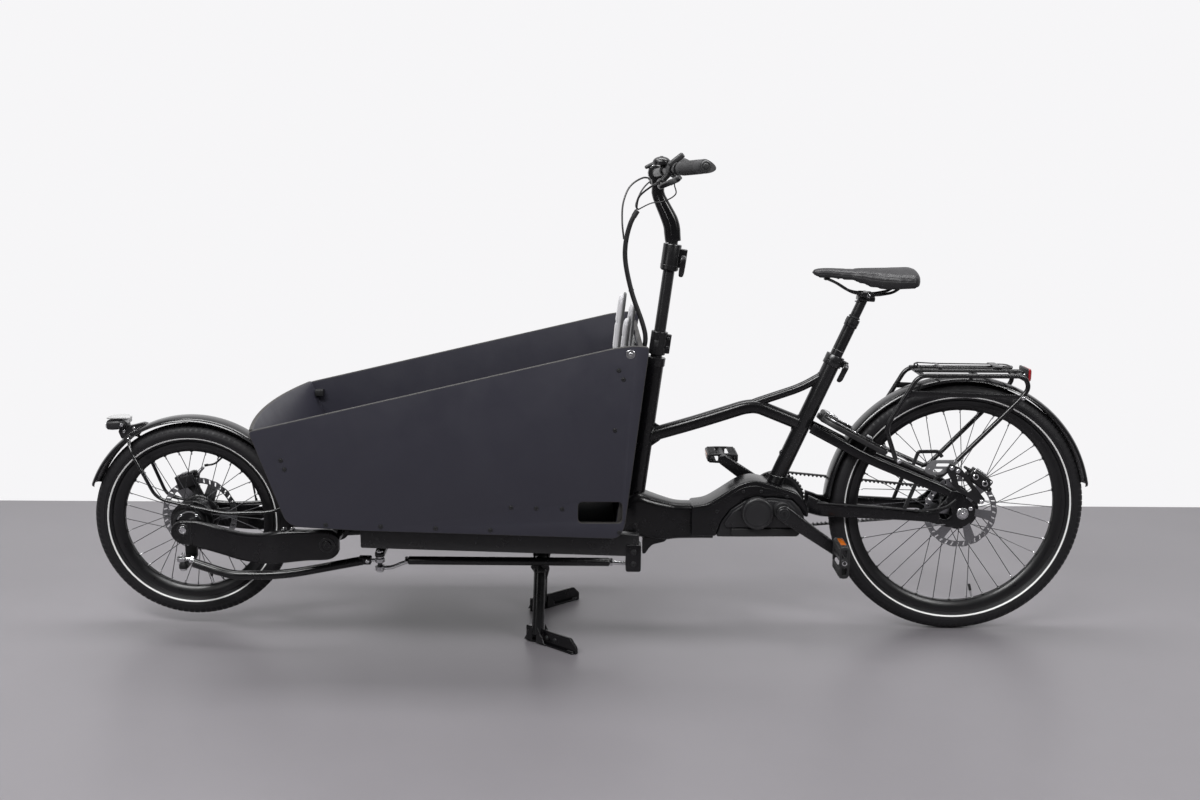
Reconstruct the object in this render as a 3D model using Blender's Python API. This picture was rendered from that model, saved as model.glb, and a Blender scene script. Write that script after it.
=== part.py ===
"""Front-box electric cargo bike with hub-centre steering, standing on its centre stand.

Metres, +Z up. The bike faces -X, so its left side is -Y. X = 0 is the middle of its length,
Y = 0 its mid plane and Z = 0 the ground.
"""
import math

import bmesh
import bpy
from mathutils import Matrix, Vector

# Driving dimensions
GAP = 0.0003                    # between pieces that touch
REAR_AXLE_X = 0.9604            # puts X = 0 at the middle of the bike's length
WHEELBASE = 2.004
REAR_TYRE_RADIUS = 0.3345       # 26 inch wheel
REAR_BEAD_RADIUS = 0.2795
REAR_TYRE_WIDTH = 0.055
FRONT_TYRE_RADIUS = 0.258       # 20 inch wheel
FRONT_BEAD_RADIUS = 0.203
FRONT_TYRE_WIDTH = 0.055
FRONT_LIFT = 0.031              # the stand holds the front tyre off the ground
RIM_DEPTH = 0.020
RIM_WIDTH = 0.030
RIM_WALL = 0.0025
SPOKE_RADIUS = 0.0011
SPOKE_END = 0.0010              # from the spoke's end to the rim
FRONT_SPOKES = 32
REAR_SPOKES = 36
FRONT_ROTOR_RADIUS = 0.100
REAR_ROTOR_RADIUS = 0.096
ROTOR_THICKNESS = 0.002

BELT_PITCH = 0.011
BELT_TEETH = 117
BELT_WIDTH = 0.012
BELT_BACK = 0.0022              # from the pitch line to the smooth outside
BELT_ROOT = 0.0008              # from the pitch line to the gaps between the teeth
TOOTH_HEIGHT = 0.0036
PULLEY_TEETH = 44
SPROCKET_TEETH = 20
BELT_Y = 0.048
BRACKET_HEIGHT = 0.337          # crank axle above the ground

CRANK_LENGTH = 0.170
CRANK_DROP = 35.0               # degrees that the left crank hangs below level
CRANK_Y = 0.085
CRANK_THICKNESS = 0.014
PEDAL_LENGTH = 0.100
PEDAL_WIDTH = 0.086
PEDAL_THICKNESS = 0.028
SPINDLE_RADIUS = 0.0105

STEER_TILT = 7.4                # degrees that the column leans back
STEER_AHEAD = 0.812             # column axis ahead of the rear axle, at STEER_REF_HEIGHT
STEER_REF_HEIGHT = 0.600
STEER_MAX = 24.0                # degrees each way
STEER_ARM = Vector((0.006, -0.135, 0.0))   # from every steering axis to its ball
COLUMN_RADIUS = 0.015
HEAD_TUBE_RADIUS = 0.0225
HEAD_TUBE_LIP = 0.0025          # ring at the head tube's top stands out by this
HEAD_TUBE_BOTTOM = 0.2495
HEAD_TUBE_TOP = 0.728
STEM_TUBE_RADIUS = 0.0125
CABLE_RADIUS = 0.0075           # bundle of cables in its wrap
CABLE_ROOM = 0.002              # from the bundle to the head tube
CLAMP_BOTTOM = 0.735
CLAMP_TOP = 0.795
COLUMN_TOP = 0.955
HEIGHT_CLAMP_TOP = 1.018
BAR_CLAMP = (0.803, 1.196)      # ahead of the rear axle, height
BAR_HALF = 0.345
BAR_RADIUS = 0.011
GRIP_RADIUS = 0.0165
GRIP_LENGTH = 0.128
LEVER_INSET = 0.165             # brake lever's clamp in from the bar's end
BRAKE_PULL = 12.0               # degrees
LEVER_DROOP = 40.0              # degrees that the brake levers point below level

PIVOT_BEHIND = 0.384            # swing arm pivot behind the front axle
PIVOT_HEIGHT = 0.275
PIVOT_TUBE_RADIUS = 0.020
PIVOT_HALF = 0.186
ARM_TIP_Y = 0.0925
KNUCKLE_RADIUS = 0.0397
KNUCKLE_HALF = 0.052
KINGPIN_RADIUS = 0.0075
CROSS_AXLE_RADIUS = 0.0095

IDLER_BEHIND = 0.500            # idler axis behind the front axle
ROD_EYE_RADIUS = 0.0125
ROD_EYE_BORE = 0.0082            # leaves the stud room to tip
STUD_RADIUS = 0.0040
KNUCKLE_ARM_DROP = 0.0925        # steering arm below the axle, clear of the eye at full travel
ROD_RADIUS = 0.0108
DRAG_RADIUS = 0.0115
DRAG_EYE_LEAD = 0.0036          # eye ahead of its stud at rest, so that both ends of the travel fit

BEAM_WIDTH = 0.060
BEAM_BOTTOM = 0.2555
DECK_HALF = 0.305
DECK_HEIGHT = 0.055
DECK_FRONT = 0.490              # behind the front axle
DECK_REAR = 0.847               # ahead of the rear axle
DECK_SLOPE = 0.027              # rise per metre towards the front
RAIL_WIDTH = 0.030

BOX_WIDTH = 0.689
PANEL = 0.012
BOX_BEHIND_COLUMN = 0.048       # column axis to the rear panel
FRONT_PANEL = 0.010
FRONT_BOW = 0.034
WINDOW_FRONT = 0.992            # side window, ahead of the rear axle
WINDOW_REAR = 0.888
WINDOW_LOW = 0.381
WINDOW_TOP = 0.432
BENCH_HEIGHT = 0.560
BENCH_FRONT = 1.176             # ahead of the rear axle

STAND_AHEAD = 1.092             # stand axis ahead of the rear axle
STAND_HEIGHT = 0.195
STAND_TUBE_RADIUS = 0.016

SEAT_TILT = 23.6                # degrees from upright
SEAT_TUBE_FOOT = 0.4815         # seat tube axis ahead of the rear axle at SEAT_FOOT_HEIGHT
SEAT_FOOT_HEIGHT = 0.390
SEAT_TUBE_RADIUS = 0.021
SEAT_TUBE_RISE = 0.045          # seat tube's lower end above the crank axle, in the cradle's top
SEAT_TUBE_TOP = 0.735
POST_RADIUS = 0.0158
POST_TOP = 0.830
INNER_POST_RADIUS = 0.0125

SADDLE_NOSE_AHEAD = 0.403
SADDLE_LENGTH = 0.272
SADDLE_WIDTH = 0.172
SADDLE_TOP = 0.966

FENDER_GAP_REAR = 0.0155
FENDER_GAP_FRONT = 0.0175
FENDER_HALF = 0.034
FENDER_THICKNESS = 0.0025
STAY_WIRE = 0.004

FRONT_HUB_HALF = 0.0375
FRONT_FLANGE_RADIUS = 0.0555
FRONT_FLANGE_Y = 0.0285
FRONT_ROTOR_Y = 0.0432
REAR_FLANGE_RADIUS = 0.052
REAR_FLANGE_Y = 0.0342
REAR_ROTOR_Y = 0.0508
REAR_STUB_RADIUS = 0.006
DRIVER_RADIUS = 0.0173
DROPOUT_Y = 0.0675
DROPOUT_THICKNESS = 0.007
PEDAL_STUD = 0.006
DECK_REAR_TOP = 0.3405
DECK_PLATE = 0.005

FRONT_FACETS = 30               # facets round the front wheel
REAR_FACETS = 36
WELD = 0.00001
ROUND = 16                      # facets round a turned piece
TUBE_SIDES = 12

# Places worked out from the driving dimensions
IDLER_X = REAR_AXLE_X - WHEELBASE + IDLER_BEHIND
FRONT_AXLE = Vector((REAR_AXLE_X - WHEELBASE, 0.0, FRONT_LIFT + FRONT_TYRE_RADIUS))
REAR_AXLE = Vector((REAR_AXLE_X, 0.0, REAR_TYRE_RADIUS))
SWING_PIVOT = Vector((FRONT_AXLE.x + PIVOT_BEHIND, 0.0, PIVOT_HEIGHT))
STAND_AXIS = Vector((REAR_AXLE_X - STAND_AHEAD, 0.0, STAND_HEIGHT))
PULLEY_RADIUS = PULLEY_TEETH * BELT_PITCH / math.tau
SPROCKET_RADIUS = SPROCKET_TEETH * BELT_PITCH / math.tau

FINISHES = {
    "frame_black": ((0.010, 0.010, 0.011), 0.38, 0.0),
    "satin_black": ((0.018, 0.018, 0.019), 0.45, 0.0),
    "panel": ((0.030, 0.030, 0.034), 0.55, 0.0),
    "tyre": ((0.012, 0.012, 0.012), 0.80, 0.0),
    "rubber": ((0.020, 0.020, 0.020), 0.75, 0.0),
    "steel": ((0.55, 0.55, 0.56), 0.30, 1.0),
    "dark_alloy": ((0.10, 0.10, 0.105), 0.40, 0.9),
    "motor": ((0.030, 0.030, 0.032), 0.50, 0.0),
    "saddle": ((0.022, 0.022, 0.024), 0.60, 0.0),
    "pad": ((0.42, 0.42, 0.42), 0.85, 0.0),
    "red": ((0.45, 0.01, 0.01), 0.25, 0.0),
}


def ahead(distance):
    """X of a point this far ahead of the rear axle."""
    return REAR_AXLE_X - distance


def behind(distance):
    """X of a point this far behind the front axle."""
    return FRONT_AXLE.x + distance


def steer_point(height, y=0.0):
    """Point on the steering column's axis at a height."""
    lean = (height - STEER_REF_HEIGHT) * math.tan(math.radians(STEER_TILT))
    return Vector((ahead(STEER_AHEAD) + lean, y, height))


def seat_point(height, y=0.0):
    """Point on the seat tube's axis at a height."""
    lean = (height - SEAT_FOOT_HEIGHT) * math.tan(math.radians(SEAT_TILT))
    return Vector((ahead(SEAT_TUBE_FOOT) + lean, y, height))


def bracket_distance():
    """Distance from the rear axle to the crank axle that takes the whole belt."""
    low, high = 0.2, 1.2
    difference = PULLEY_RADIUS - SPROCKET_RADIUS
    for _ in range(60):
        middle = (low + high) / 2
        slope = math.asin(difference / middle)
        length = 2 * middle * math.cos(slope) + PULLEY_RADIUS * (math.pi + 2 * slope)
        length += SPROCKET_RADIUS * (math.pi - 2 * slope)
        if length < BELT_TEETH * BELT_PITCH:
            low = middle
        else:
            high = middle
    return low


def crank_axle():
    """Centre of the crank axle, level with the belt's own length."""
    drop = BRACKET_HEIGHT - REAR_AXLE.z
    reach = math.sqrt(bracket_distance() ** 2 - drop ** 2)
    return Vector((ahead(reach), 0.0, BRACKET_HEIGHT))


CRANK_AXLE = crank_axle()


def clear_scene():
    for item in list(bpy.data.objects):
        bpy.data.objects.remove(item)


def finish(name):
    """Principled material for a finish, made once."""
    material = bpy.data.materials.get(name)
    if material is None:
        colour, roughness, metallic = FINISHES[name]
        material = bpy.data.materials.new(name)
        material.use_nodes = True
        shader = material.node_tree.nodes["Principled BSDF"]
        shader.inputs["Base Color"].default_value = (*colour, 1.0)
        shader.inputs["Roughness"].default_value = roughness
        shader.inputs["Metallic"].default_value = metallic
        material.diffuse_color = (*colour, 1.0)
    return material


def circle(radius, sides):
    """Section points of a round bar."""
    step = math.tau / sides
    return [(radius * math.cos(i * step), radius * math.sin(i * step)) for i in range(sides)]


def slab(width, height, corner=0.3):
    """Section points of a bar with cut corners; corner is a share of the smaller side."""
    cut = corner * min(width, height)
    w, h = width / 2, height / 2
    return [(w, h - cut), (w - cut, h), (cut - w, h), (-w, h - cut),
            (-w, cut - h), (cut - w, -h), (w - cut, -h), (w, cut - h)]


def bend(points, radius, steps=3):
    """Path through points with its inner corners rounded."""
    path = [Vector(points[0])]
    for before, corner, after in zip(points, points[1:], points[2:]):
        corner = Vector(corner)
        inward = (Vector(before) - corner)
        outward = (Vector(after) - corner)
        reach = min(radius, inward.length * 0.45, outward.length * 0.45)
        start = corner + inward.normalized() * reach
        end = corner + outward.normalized() * reach
        for i in range(steps + 1):
            t = i / steps
            path.append(start * (1 - t) ** 2 + corner * 2 * t * (1 - t) + end * t * t)
    path.append(Vector(points[-1]))
    return path


def add_rings(bm, rings, closed=False):
    """Skin a run of rings into a closed body."""
    loops = [[bm.verts.new(point) for point in ring] for ring in rings]
    pairs = list(zip(loops, loops[1:]))
    if closed:
        pairs.append((loops[-1], loops[0]))
    for one, two in pairs:
        count = len(one)
        for i in range(count):
            j = (i + 1) % count
            bm.faces.new((one[i], one[j], two[j], two[i]))
    if not closed:
        bm.faces.new(loops[0])
        bm.faces.new(loops[-1])


def path_frames(path, across, closed=False):
    """Tangent, side and upward vector at each point of a path."""
    frames = []
    count = len(path)
    for i, point in enumerate(path):
        before = path[i - 1] if i > 0 or closed else path[i]
        after = path[(i + 1) % count] if i < count - 1 or closed else path[i]
        tangent = (after - before).normalized()
        side = (across - tangent * across.dot(tangent)).normalized()
        frames.append((point, side, tangent.cross(side).normalized()))
    return frames


def sweep(path, section, across=(0, 1, 0), closed=False, bm=None):
    """Body of one section, or of one section for each point, along a path."""
    bm = bm or bmesh.new()
    path = [Vector(point) for point in path]
    rings = []
    for i, (point, side, up) in enumerate(path_frames(path, Vector(across), closed)):
        shape = section[i] if isinstance(section[0], list) else section
        rings.append([point + side * a + up * b for a, b in shape])
    add_rings(bm, rings, closed)
    return bm


def rod(start, end, radius, sides=TUBE_SIDES, across=None, bm=None):
    """Straight round bar."""
    start, end = Vector(start), Vector(end)
    if across is None:
        along = (end - start).normalized()
        across = Vector((0, 1, 0)) if abs(along.y) < 0.9 else Vector((1, 0, 0))
    return sweep([start, end], circle(radius, sides), across, bm=bm)


def plate(loops, low, high, to_world, bm=None):
    """Flat plate from an outer outline and hole outlines in its own plane."""
    bm = bm or bmesh.new()
    edges = []
    for loop in loops:
        corners = [bm.verts.new((a, b, 0.0)) for a, b in loop]
        for one, two in zip(corners, corners[1:] + corners[:1]):
            edges.append(bm.edges.new((one, two)))
    made = bmesh.ops.triangle_fill(bm, edges=edges, use_beauty=True, use_dissolve=False)
    faces = [item for item in made["geom"] if isinstance(item, bmesh.types.BMFace)]
    bottom = {vert for face in faces for vert in face.verts}
    raised = bmesh.ops.extrude_face_region(bm, geom=faces)
    top = [item for item in raised["geom"] if isinstance(item, bmesh.types.BMVert)]
    for group, level in ((bottom, low), (top, high)):
        for vert in group:
            vert.co = to_world(vert.co.x, vert.co.y, level)
    return bm


def side_view(a, b, level):
    """Plate plane seen from the side: a is X, b is height, level is Y."""
    return Vector((a, level, b))


def rectangle(x0, x1, y0, y1):
    return [(x0, y0), (x1, y0), (x1, y1), (x0, y1)]


def disc(centre, radius, sides, phase=0.0):
    """Outline of a round hole or disc."""
    step = math.tau / sides
    return [(centre[0] + radius * math.cos(phase + i * step),
             centre[1] + radius * math.sin(phase + i * step)) for i in range(sides)]


def flats(radius, sides=ROUND):
    """Corner radius of a faceted bore whose flats lie at the radius."""
    return radius / math.cos(math.pi / sides)


def turned(centre, profile, segments=ROUND, axis="y", start=0.0, sweep_angle=math.tau, bm=None):
    """Revolve a closed profile of (radius, along) points about an axis through centre."""
    bm = bm or bmesh.new()
    whole = abs(sweep_angle - math.tau) < 1e-6
    rings = []
    for i in range(segments if whole else segments + 1):
        angle = start + sweep_angle * i / segments
        out = (math.cos(angle), math.sin(angle))
        ring = []
        for radius, along in profile:
            if axis == "y":
                offset = Vector((radius * out[0], along, radius * out[1]))
            else:
                offset = Vector((radius * out[0], radius * out[1], along))
            ring.append(Vector(centre) + offset)
        rings.append(ring)
    add_rings(bm, rings, closed=whole)
    return bm


def spindle(centre, stations, sides=ROUND, along=(0, 1, 0), bm=None):
    """Solid turned about an axis through centre, from (radius, along) stations."""
    bm = bm or bmesh.new()
    along = Vector(along).normalized()
    side = Vector((1, 0, 0)) if abs(along.x) < 0.9 else Vector((0, 1, 0))
    side = (side - along * side.dot(along)).normalized()
    up = along.cross(side)
    rings = []
    for radius, distance in stations:
        middle = Vector(centre) + along * distance
        rings.append([middle + side * a + up * b for a, b in circle(radius, sides)])
    add_rings(bm, rings)
    return bm


def box(low, high, bm=None):
    """Plain block between two corners."""
    bm = bm or bmesh.new()
    x0, y0, z0 = low
    x1, y1, z1 = high
    rings = [[Vector((x, y0, z0)), Vector((x, y1, z0)), Vector((x, y1, z1)), Vector((x, y0, z1))]
             for x in (x0, x1)]
    add_rings(bm, rings)
    return bm


def solid(name, bm, look, pivot=(0, 0, 0), parent=None):
    """Object with its origin at the pivot, made from a mesh in world coordinates."""
    pivot = Vector(pivot)
    bm.normal_update()
    bmesh.ops.recalc_face_normals(bm, faces=bm.faces)
    bmesh.ops.translate(bm, verts=bm.verts, vec=-pivot)
    mesh = bpy.data.meshes.new(name)
    bm.to_mesh(mesh)
    bm.free()
    mesh.materials.append(finish(look))
    mesh.shade_smooth()
    mesh.set_sharp_from_angle(angle=math.radians(35))
    item = bpy.data.objects.new(name, mesh)
    bpy.context.scene.collection.objects.link(item)
    item.location = pivot
    if parent is not None:
        item.parent = parent
        item.matrix_parent_inverse = Matrix.Translation(-Vector(parent["world"]))
    return item


def joint(name, place, parent=None):
    """Empty on a joint's axis that carries the moving pieces."""
    empty = bpy.data.objects.new(name, None)
    empty.empty_display_size = 0.05
    bpy.context.scene.collection.objects.link(empty)
    empty.location = Vector(place)
    empty["world"] = list(place)
    if parent is not None:
        empty.parent = parent
        empty.matrix_parent_inverse = Matrix.Translation(-Vector(parent["world"]))
    return empty


def tidy(mesh):
    """Weld slivers and join the flat faces that a Boolean cut up."""
    bm = bmesh.new()
    bm.from_mesh(mesh)
    bmesh.ops.remove_doubles(bm, verts=bm.verts, dist=WELD)
    bmesh.ops.dissolve_degenerate(bm, dist=WELD, edges=bm.edges)
    bmesh.ops.dissolve_limit(bm, angle_limit=math.radians(0.2), verts=bm.verts, edges=bm.edges)
    bm.to_mesh(mesh)
    bm.free()


def combine(item, tool, operation):
    """Apply a Boolean between an object and a mesh in world coordinates."""
    cutter = solid("tool", tool, "steel")
    modifier = item.modifiers.new("combine", "BOOLEAN")
    modifier.object = cutter
    modifier.operation = operation
    modifier.solver = "EXACT"
    view = bpy.context.evaluated_depsgraph_get()
    view.update()
    mesh = bpy.data.meshes.new_from_object(item.evaluated_get(view))
    item.modifiers.remove(modifier)
    tidy(mesh)
    old = item.data
    name = old.name
    item.data = mesh
    bpy.data.meshes.remove(old)
    mesh.name = name
    keep = mesh.materials[0]
    mesh.materials.clear()
    mesh.materials.append(keep)
    bpy.data.objects.remove(cutter)
    return item


def fuse(item, *tools):
    for tool in tools:
        combine(item, tool, "UNION")
    return item


def carve(item, *tools):
    for tool in tools:
        combine(item, tool, "DIFFERENCE")
    return item


def smooth_path(points, spacing):
    """Points along a smooth curve through the given ones."""
    points = [Vector(point) for point in points]
    ends = [points[0] * 2 - points[1]] + points + [points[-1] * 2 - points[-2]]
    path = [points[0]]
    for p0, p1, p2, p3 in zip(ends, ends[1:], ends[2:], ends[3:]):
        steps = max(1, round((p2 - p1).length / spacing))
        for i in range(1, steps + 1):
            t = i / steps
            path.append(0.5 * (p1 * 2 + (p2 - p0) * t + (p0 * 2 - p1 * 5 + p2 * 4 - p3) * t * t
                               + (p1 * 3 - p0 - p2 * 3 + p3) * t ** 3))
    return path


def cord(name, points, radius, look, spacing, parent=None):
    """Round cord as a bevelled curve with filled caps."""
    curve = bpy.data.curves.new(name, "CURVE")
    curve.dimensions = "3D"
    curve.bevel_depth = radius
    curve.bevel_resolution = 2
    curve.use_fill_caps = True
    path = smooth_path(points, spacing)
    spline = curve.splines.new("POLY")
    spline.points.add(len(path) - 1)
    for slot, point in zip(spline.points, path):
        slot.co = (*point, 1.0)
    curve.materials.append(finish(look))
    item = bpy.data.objects.new(name, curve)
    bpy.context.scene.collection.objects.link(item)
    if parent is not None:
        item.parent = parent
        item.matrix_parent_inverse = Matrix.Translation(-Vector(parent["world"]))
    return item


def at(distance, height, y=0.0):
    """Point given by its distance ahead of the rear axle."""
    return Vector((ahead(distance), y, height))


def fore(distance, height, y=0.0):
    """Point given by its distance behind the front axle."""
    return Vector((behind(distance), y, height))


def deck_top(x):
    """Height of the sloping top of the deck, which carries the floor."""
    return DECK_REAR_TOP + DECK_SLOPE * (ahead(0.847) - x)


def side_outline(points):
    """Outline in the side view from points in space."""
    return [(point.x, point.z) for point in points]


def slab_between(outline, y_low, y_high, bm=None):
    """Solid cut to an outline in the side view, between two Y values."""
    return plate([side_outline(outline)], y_low, y_high, side_view, bm)


def turned_block(centre, sizes, rotation):
    """Block of full sizes about a centre, turned by a matrix."""
    bm = bmesh.new()
    corners = []
    for sx in (-0.5, 0.5):
        ring = []
        for sy, sz in ((-0.5, -0.5), (0.5, -0.5), (0.5, 0.5), (-0.5, 0.5)):
            local = Vector((sizes[0] * sx, sizes[1] * sy, sizes[2] * sz))
            ring.append(Vector(centre) + rotation @ local)
        corners.append(ring)
    add_rings(bm, corners)
    return bm


def tilt_y(degrees):
    """Rotation that leans the Z axis towards +X."""
    return Matrix.Rotation(math.radians(degrees), 3, "Y")


STEER_LEAN = tilt_y(STEER_TILT)
STEER_UP = STEER_LEAN @ Vector((0, 0, 1))


def bar_rings(stations, bm=None):
    """Bar along X from stations of x, inner y, outer y, low z, high z."""
    bm = bm or bmesh.new()
    rings = []
    for x, y0, y1, z0, z1 in stations:
        cut = 0.28 * min(abs(y1 - y0), z1 - z0)
        sign = 1 if y1 > y0 else -1
        c = cut * sign
        rings.append([Vector((x, y, z)) for y, z in (
            (y0 + c, z0), (y1 - c, z0), (y1, z0 + cut), (y1, z1 - cut),
            (y1 - c, z1), (y0 + c, z1), (y0, z1 - cut), (y0, z0 + cut))])
    add_rings(bm, rings)
    return bm


# Wheels

def rim_profile(bead):
    """Rim section as (radius, along) points; the flanges rise past the bead seat."""
    half = RIM_WIDTH / 2
    inner = half - RIM_WALL
    flange = bead + 0.0065
    return [(bead - RIM_DEPTH, -half * 0.45), (bead - RIM_DEPTH, half * 0.45), (bead - 0.006, half),
            (flange, half), (flange, inner), (bead - GAP, inner), (bead - GAP, -inner),
            (flange, -inner), (flange, -half), (bead - 0.006, -half)]


def tyre_profile(bead, radius, width):
    """Tyre section as (radius, along) points, open towards the rim."""
    height = radius - bead
    seat = RIM_WIDTH / 2 - RIM_WALL - GAP
    half = width / 2
    outer = [(bead + GAP, seat), (bead + 0.0072, seat), (bead + height * 0.345, half * 0.93),
             (bead + height * 0.536, half),
             (bead + height * 0.755, half * 0.89), (bead + height * 0.918, half * 0.58), (radius, 0.0)]
    wall = seat - 0.0022
    inner = [(bead + GAP, wall), (bead + 0.009, wall), (bead + height * 0.55, half * 0.80),
             (radius - 0.0048, 0.0)]
    outside = [(r, -y) for r, y in outer[:-1]] + outer[::-1]
    inside = inner[:-1] + [inner[-1]] + [(r, -y) for r, y in inner[:-1]][::-1]
    return outside + inside


def spokes(centre, count, flange, rim_inner, rows, lean):
    """All spokes of a wheel in one mesh; rows give the flange and rim Y of each kind."""
    bm = bmesh.new()
    for i in range(count):
        flange_y, rim_y, direction = rows[i % 4]
        rim_angle = math.tau * i / count
        hub_angle = rim_angle + direction * lean
        start = Vector((flange * math.cos(hub_angle), flange_y, flange * math.sin(hub_angle)))
        end = Vector((rim_inner * math.cos(rim_angle), rim_y, rim_inner * math.sin(rim_angle)))
        rod(centre + start, centre + end, SPOKE_RADIUS, 3, (0, 1, 0), bm)
    return bm


def rotor_plate(centre, radius, y_low, y_high, bore, arms):
    """Brake disc with a spider, as a flat plate."""
    holes = [disc((centre.x, centre.z), bore, 20)]
    band = radius - 0.016
    for i in range(arms):
        start = math.tau * (i + 0.14) / arms
        end = math.tau * (i + 0.86) / arms
        steps = 3
        outer = [start + (end - start) * k / steps for k in range(steps + 1)]
        hole = [(centre.x + band * math.cos(a), centre.z + band * math.sin(a)) for a in outer]
        inner = [(start + end) / 2 + (end - start) * 0.36, (start + end) / 2 - (end - start) * 0.36]
        low = bore + 0.014
        hole += [(centre.x + low * math.cos(a), centre.z + low * math.sin(a)) for a in inner]
        holes.append(hole)
    rim = disc((centre.x, centre.z), radius, 36)
    return plate([rim] + holes, y_low, y_high, side_view)


def front_wheel(parent):
    centre = FRONT_AXLE
    bead = FRONT_BEAD_RADIUS
    solid("front_rim", turned(centre, rim_profile(bead), FRONT_FACETS), "satin_black", centre, parent)
    profile = tyre_profile(bead, FRONT_TYRE_RADIUS, FRONT_TYRE_WIDTH)
    solid("front_tyre", turned(centre, profile, FRONT_FACETS), "tyre", centre, parent)
    bore = flats(KNUCKLE_RADIUS + GAP, 20)
    shell = bore + 0.006
    flange = FRONT_FLANGE_RADIUS
    end = FRONT_HUB_HALF
    ledge = FRONT_FLANGE_Y + 0.0025
    waist = FRONT_FLANGE_Y - 0.0025
    profile = [(bore, -end), (shell, -end), (shell, -ledge), (flange, -ledge), (flange, -waist),
               (shell, -waist + 0.006), (shell, waist - 0.006), (flange, waist), (flange, ledge),
               (shell, ledge), (shell, end), (bore, end)]
    hub = solid("front_hub", turned(centre, profile, 20), "satin_black", centre, parent)
    y = FRONT_FLANGE_Y
    rows = [(-y - 0.0013, -0.004, 1), (y + 0.0013, 0.004, -1),
            (-y + 0.0013, -0.004, -1), (y - 0.0013, 0.004, 1)]
    inner = (bead - RIM_DEPTH) * math.cos(math.pi / FRONT_FACETS) - SPOKE_END
    fuse(hub, spokes(centre, FRONT_SPOKES, flange - 0.0055, inner, rows, 0.42))
    low = FRONT_ROTOR_Y
    high = low + ROTOR_THICKNESS
    disc_bore = bore + 0.0005
    rotor = rotor_plate(centre, FRONT_ROTOR_RADIUS, low, high, disc_bore, 6)
    rotor = solid("front_rotor", rotor, "steel", centre, parent)
    carrier = [(disc_bore, end + GAP), (disc_bore + 0.007, end + GAP),
               (disc_bore + 0.007, high + 0.0006), (disc_bore, high + 0.0006)]
    fuse(rotor, turned(centre, carrier, 20))


def rear_wheel(parent):
    centre = REAR_AXLE
    bead = REAR_BEAD_RADIUS
    solid("rear_rim", turned(centre, rim_profile(bead), REAR_FACETS), "satin_black", centre, parent)
    profile = tyre_profile(bead, REAR_TYRE_RADIUS, REAR_TYRE_WIDTH)
    solid("rear_tyre", turned(centre, profile, REAR_FACETS), "tyre", centre, parent)
    bore = flats(REAR_STUB_RADIUS + GAP, 16)
    driver = DRIVER_RADIUS
    low = -REAR_ROTOR_Y - ROTOR_THICKNESS - 0.0008
    rotor_seat = -REAR_ROTOR_Y + GAP
    flange = REAR_FLANGE_RADIUS
    barrel = 0.040
    y = REAR_FLANGE_Y
    half = 0.0022
    profile = [(bore, low - 0.003), (driver, low - 0.003), (driver, rotor_seat), (barrel, rotor_seat),
               (barrel, -y - half), (flange, -y - half), (flange, -y + half), (barrel, -y + half + 0.003),
               (barrel, y - half - 0.003), (flange, y - half), (flange, y + half),
               (barrel, y + half), (driver, y + half + 0.003), (driver, DROPOUT_Y - 0.006),
               (bore, DROPOUT_Y - 0.006)]
    hub = solid("rear_hub", turned(centre, profile, 20), "satin_black", centre, parent)
    rows = [(-y - 0.0013, -0.004, 1), (y + 0.0013, 0.004, -1),
            (-y + 0.0013, -0.004, -1), (y - 0.0013, 0.004, 1)]
    inner = (bead - RIM_DEPTH) * math.cos(math.pi / REAR_FACETS) - SPOKE_END
    fuse(hub, spokes(centre, REAR_SPOKES, flange - 0.0055, inner, rows, 0.60))
    disc_bore = flats(driver + GAP, 20)
    rotor = rotor_plate(centre, REAR_ROTOR_RADIUS, -REAR_ROTOR_Y - ROTOR_THICKNESS,
                        -REAR_ROTOR_Y, disc_bore, 6)
    solid("rear_rotor", rotor, "steel", centre, parent)


# Belt drive

def belt_frame(distance):
    """Point, outward normal and kind of run at a distance along the pitch line."""
    far = CRANK_AXLE
    near = REAR_AXLE
    flat = Vector((near.x - far.x, 0.0, near.z - far.z))
    length = flat.length
    along = flat.normalized()
    up = Vector((-along.z, 0.0, along.x))
    slope = math.asin((PULLEY_RADIUS - SPROCKET_RADIUS) / length)
    run = length * math.cos(slope)
    wrap_front = PULLEY_RADIUS * (math.pi + 2 * slope)
    wrap_rear = SPROCKET_RADIUS * (math.pi - 2 * slope)
    top = up * math.cos(slope) + along * math.sin(slope)
    low = -up * math.cos(slope) + along * math.sin(slope)
    distance %= BELT_TEETH * BELT_PITCH
    if distance < run:
        start = far + top * PULLEY_RADIUS
        end = near + top * SPROCKET_RADIUS
        return start.lerp(end, distance / run), top, "straight"
    distance -= run
    if distance < wrap_rear:
        angle = distance / SPROCKET_RADIUS
        normal = turn(top, along, up, angle)
        return near + normal * SPROCKET_RADIUS, normal, "curve"
    distance -= wrap_rear
    if distance < run:
        start = near + low * SPROCKET_RADIUS
        end = far + low * PULLEY_RADIUS
        return start.lerp(end, distance / run), low, "straight"
    distance -= run
    angle = min(distance, wrap_front) / PULLEY_RADIUS
    normal = turn(low, along, up, angle)
    return far + normal * PULLEY_RADIUS, normal, "curve"


def turn(start, along, up, angle):
    """Direction turned clockwise, seen with the bike facing left."""
    a = start.dot(along)
    b = start.dot(up)
    c, s = math.cos(angle), math.sin(angle)
    return along * (a * c + b * s) + up * (b * c - a * s)


# Corners of a belt tooth and of the room for it, as shares of the pitch and of the height
TOOTH_MARKS = ((-0.26, 0.0), (-0.12, 1.0), (0.12, 1.0), (0.26, 0.0))
ROOM_MARKS = ((-0.34, 0.0), (-0.21, 1.0), (0.21, 1.0), (0.34, 0.0))


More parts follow.
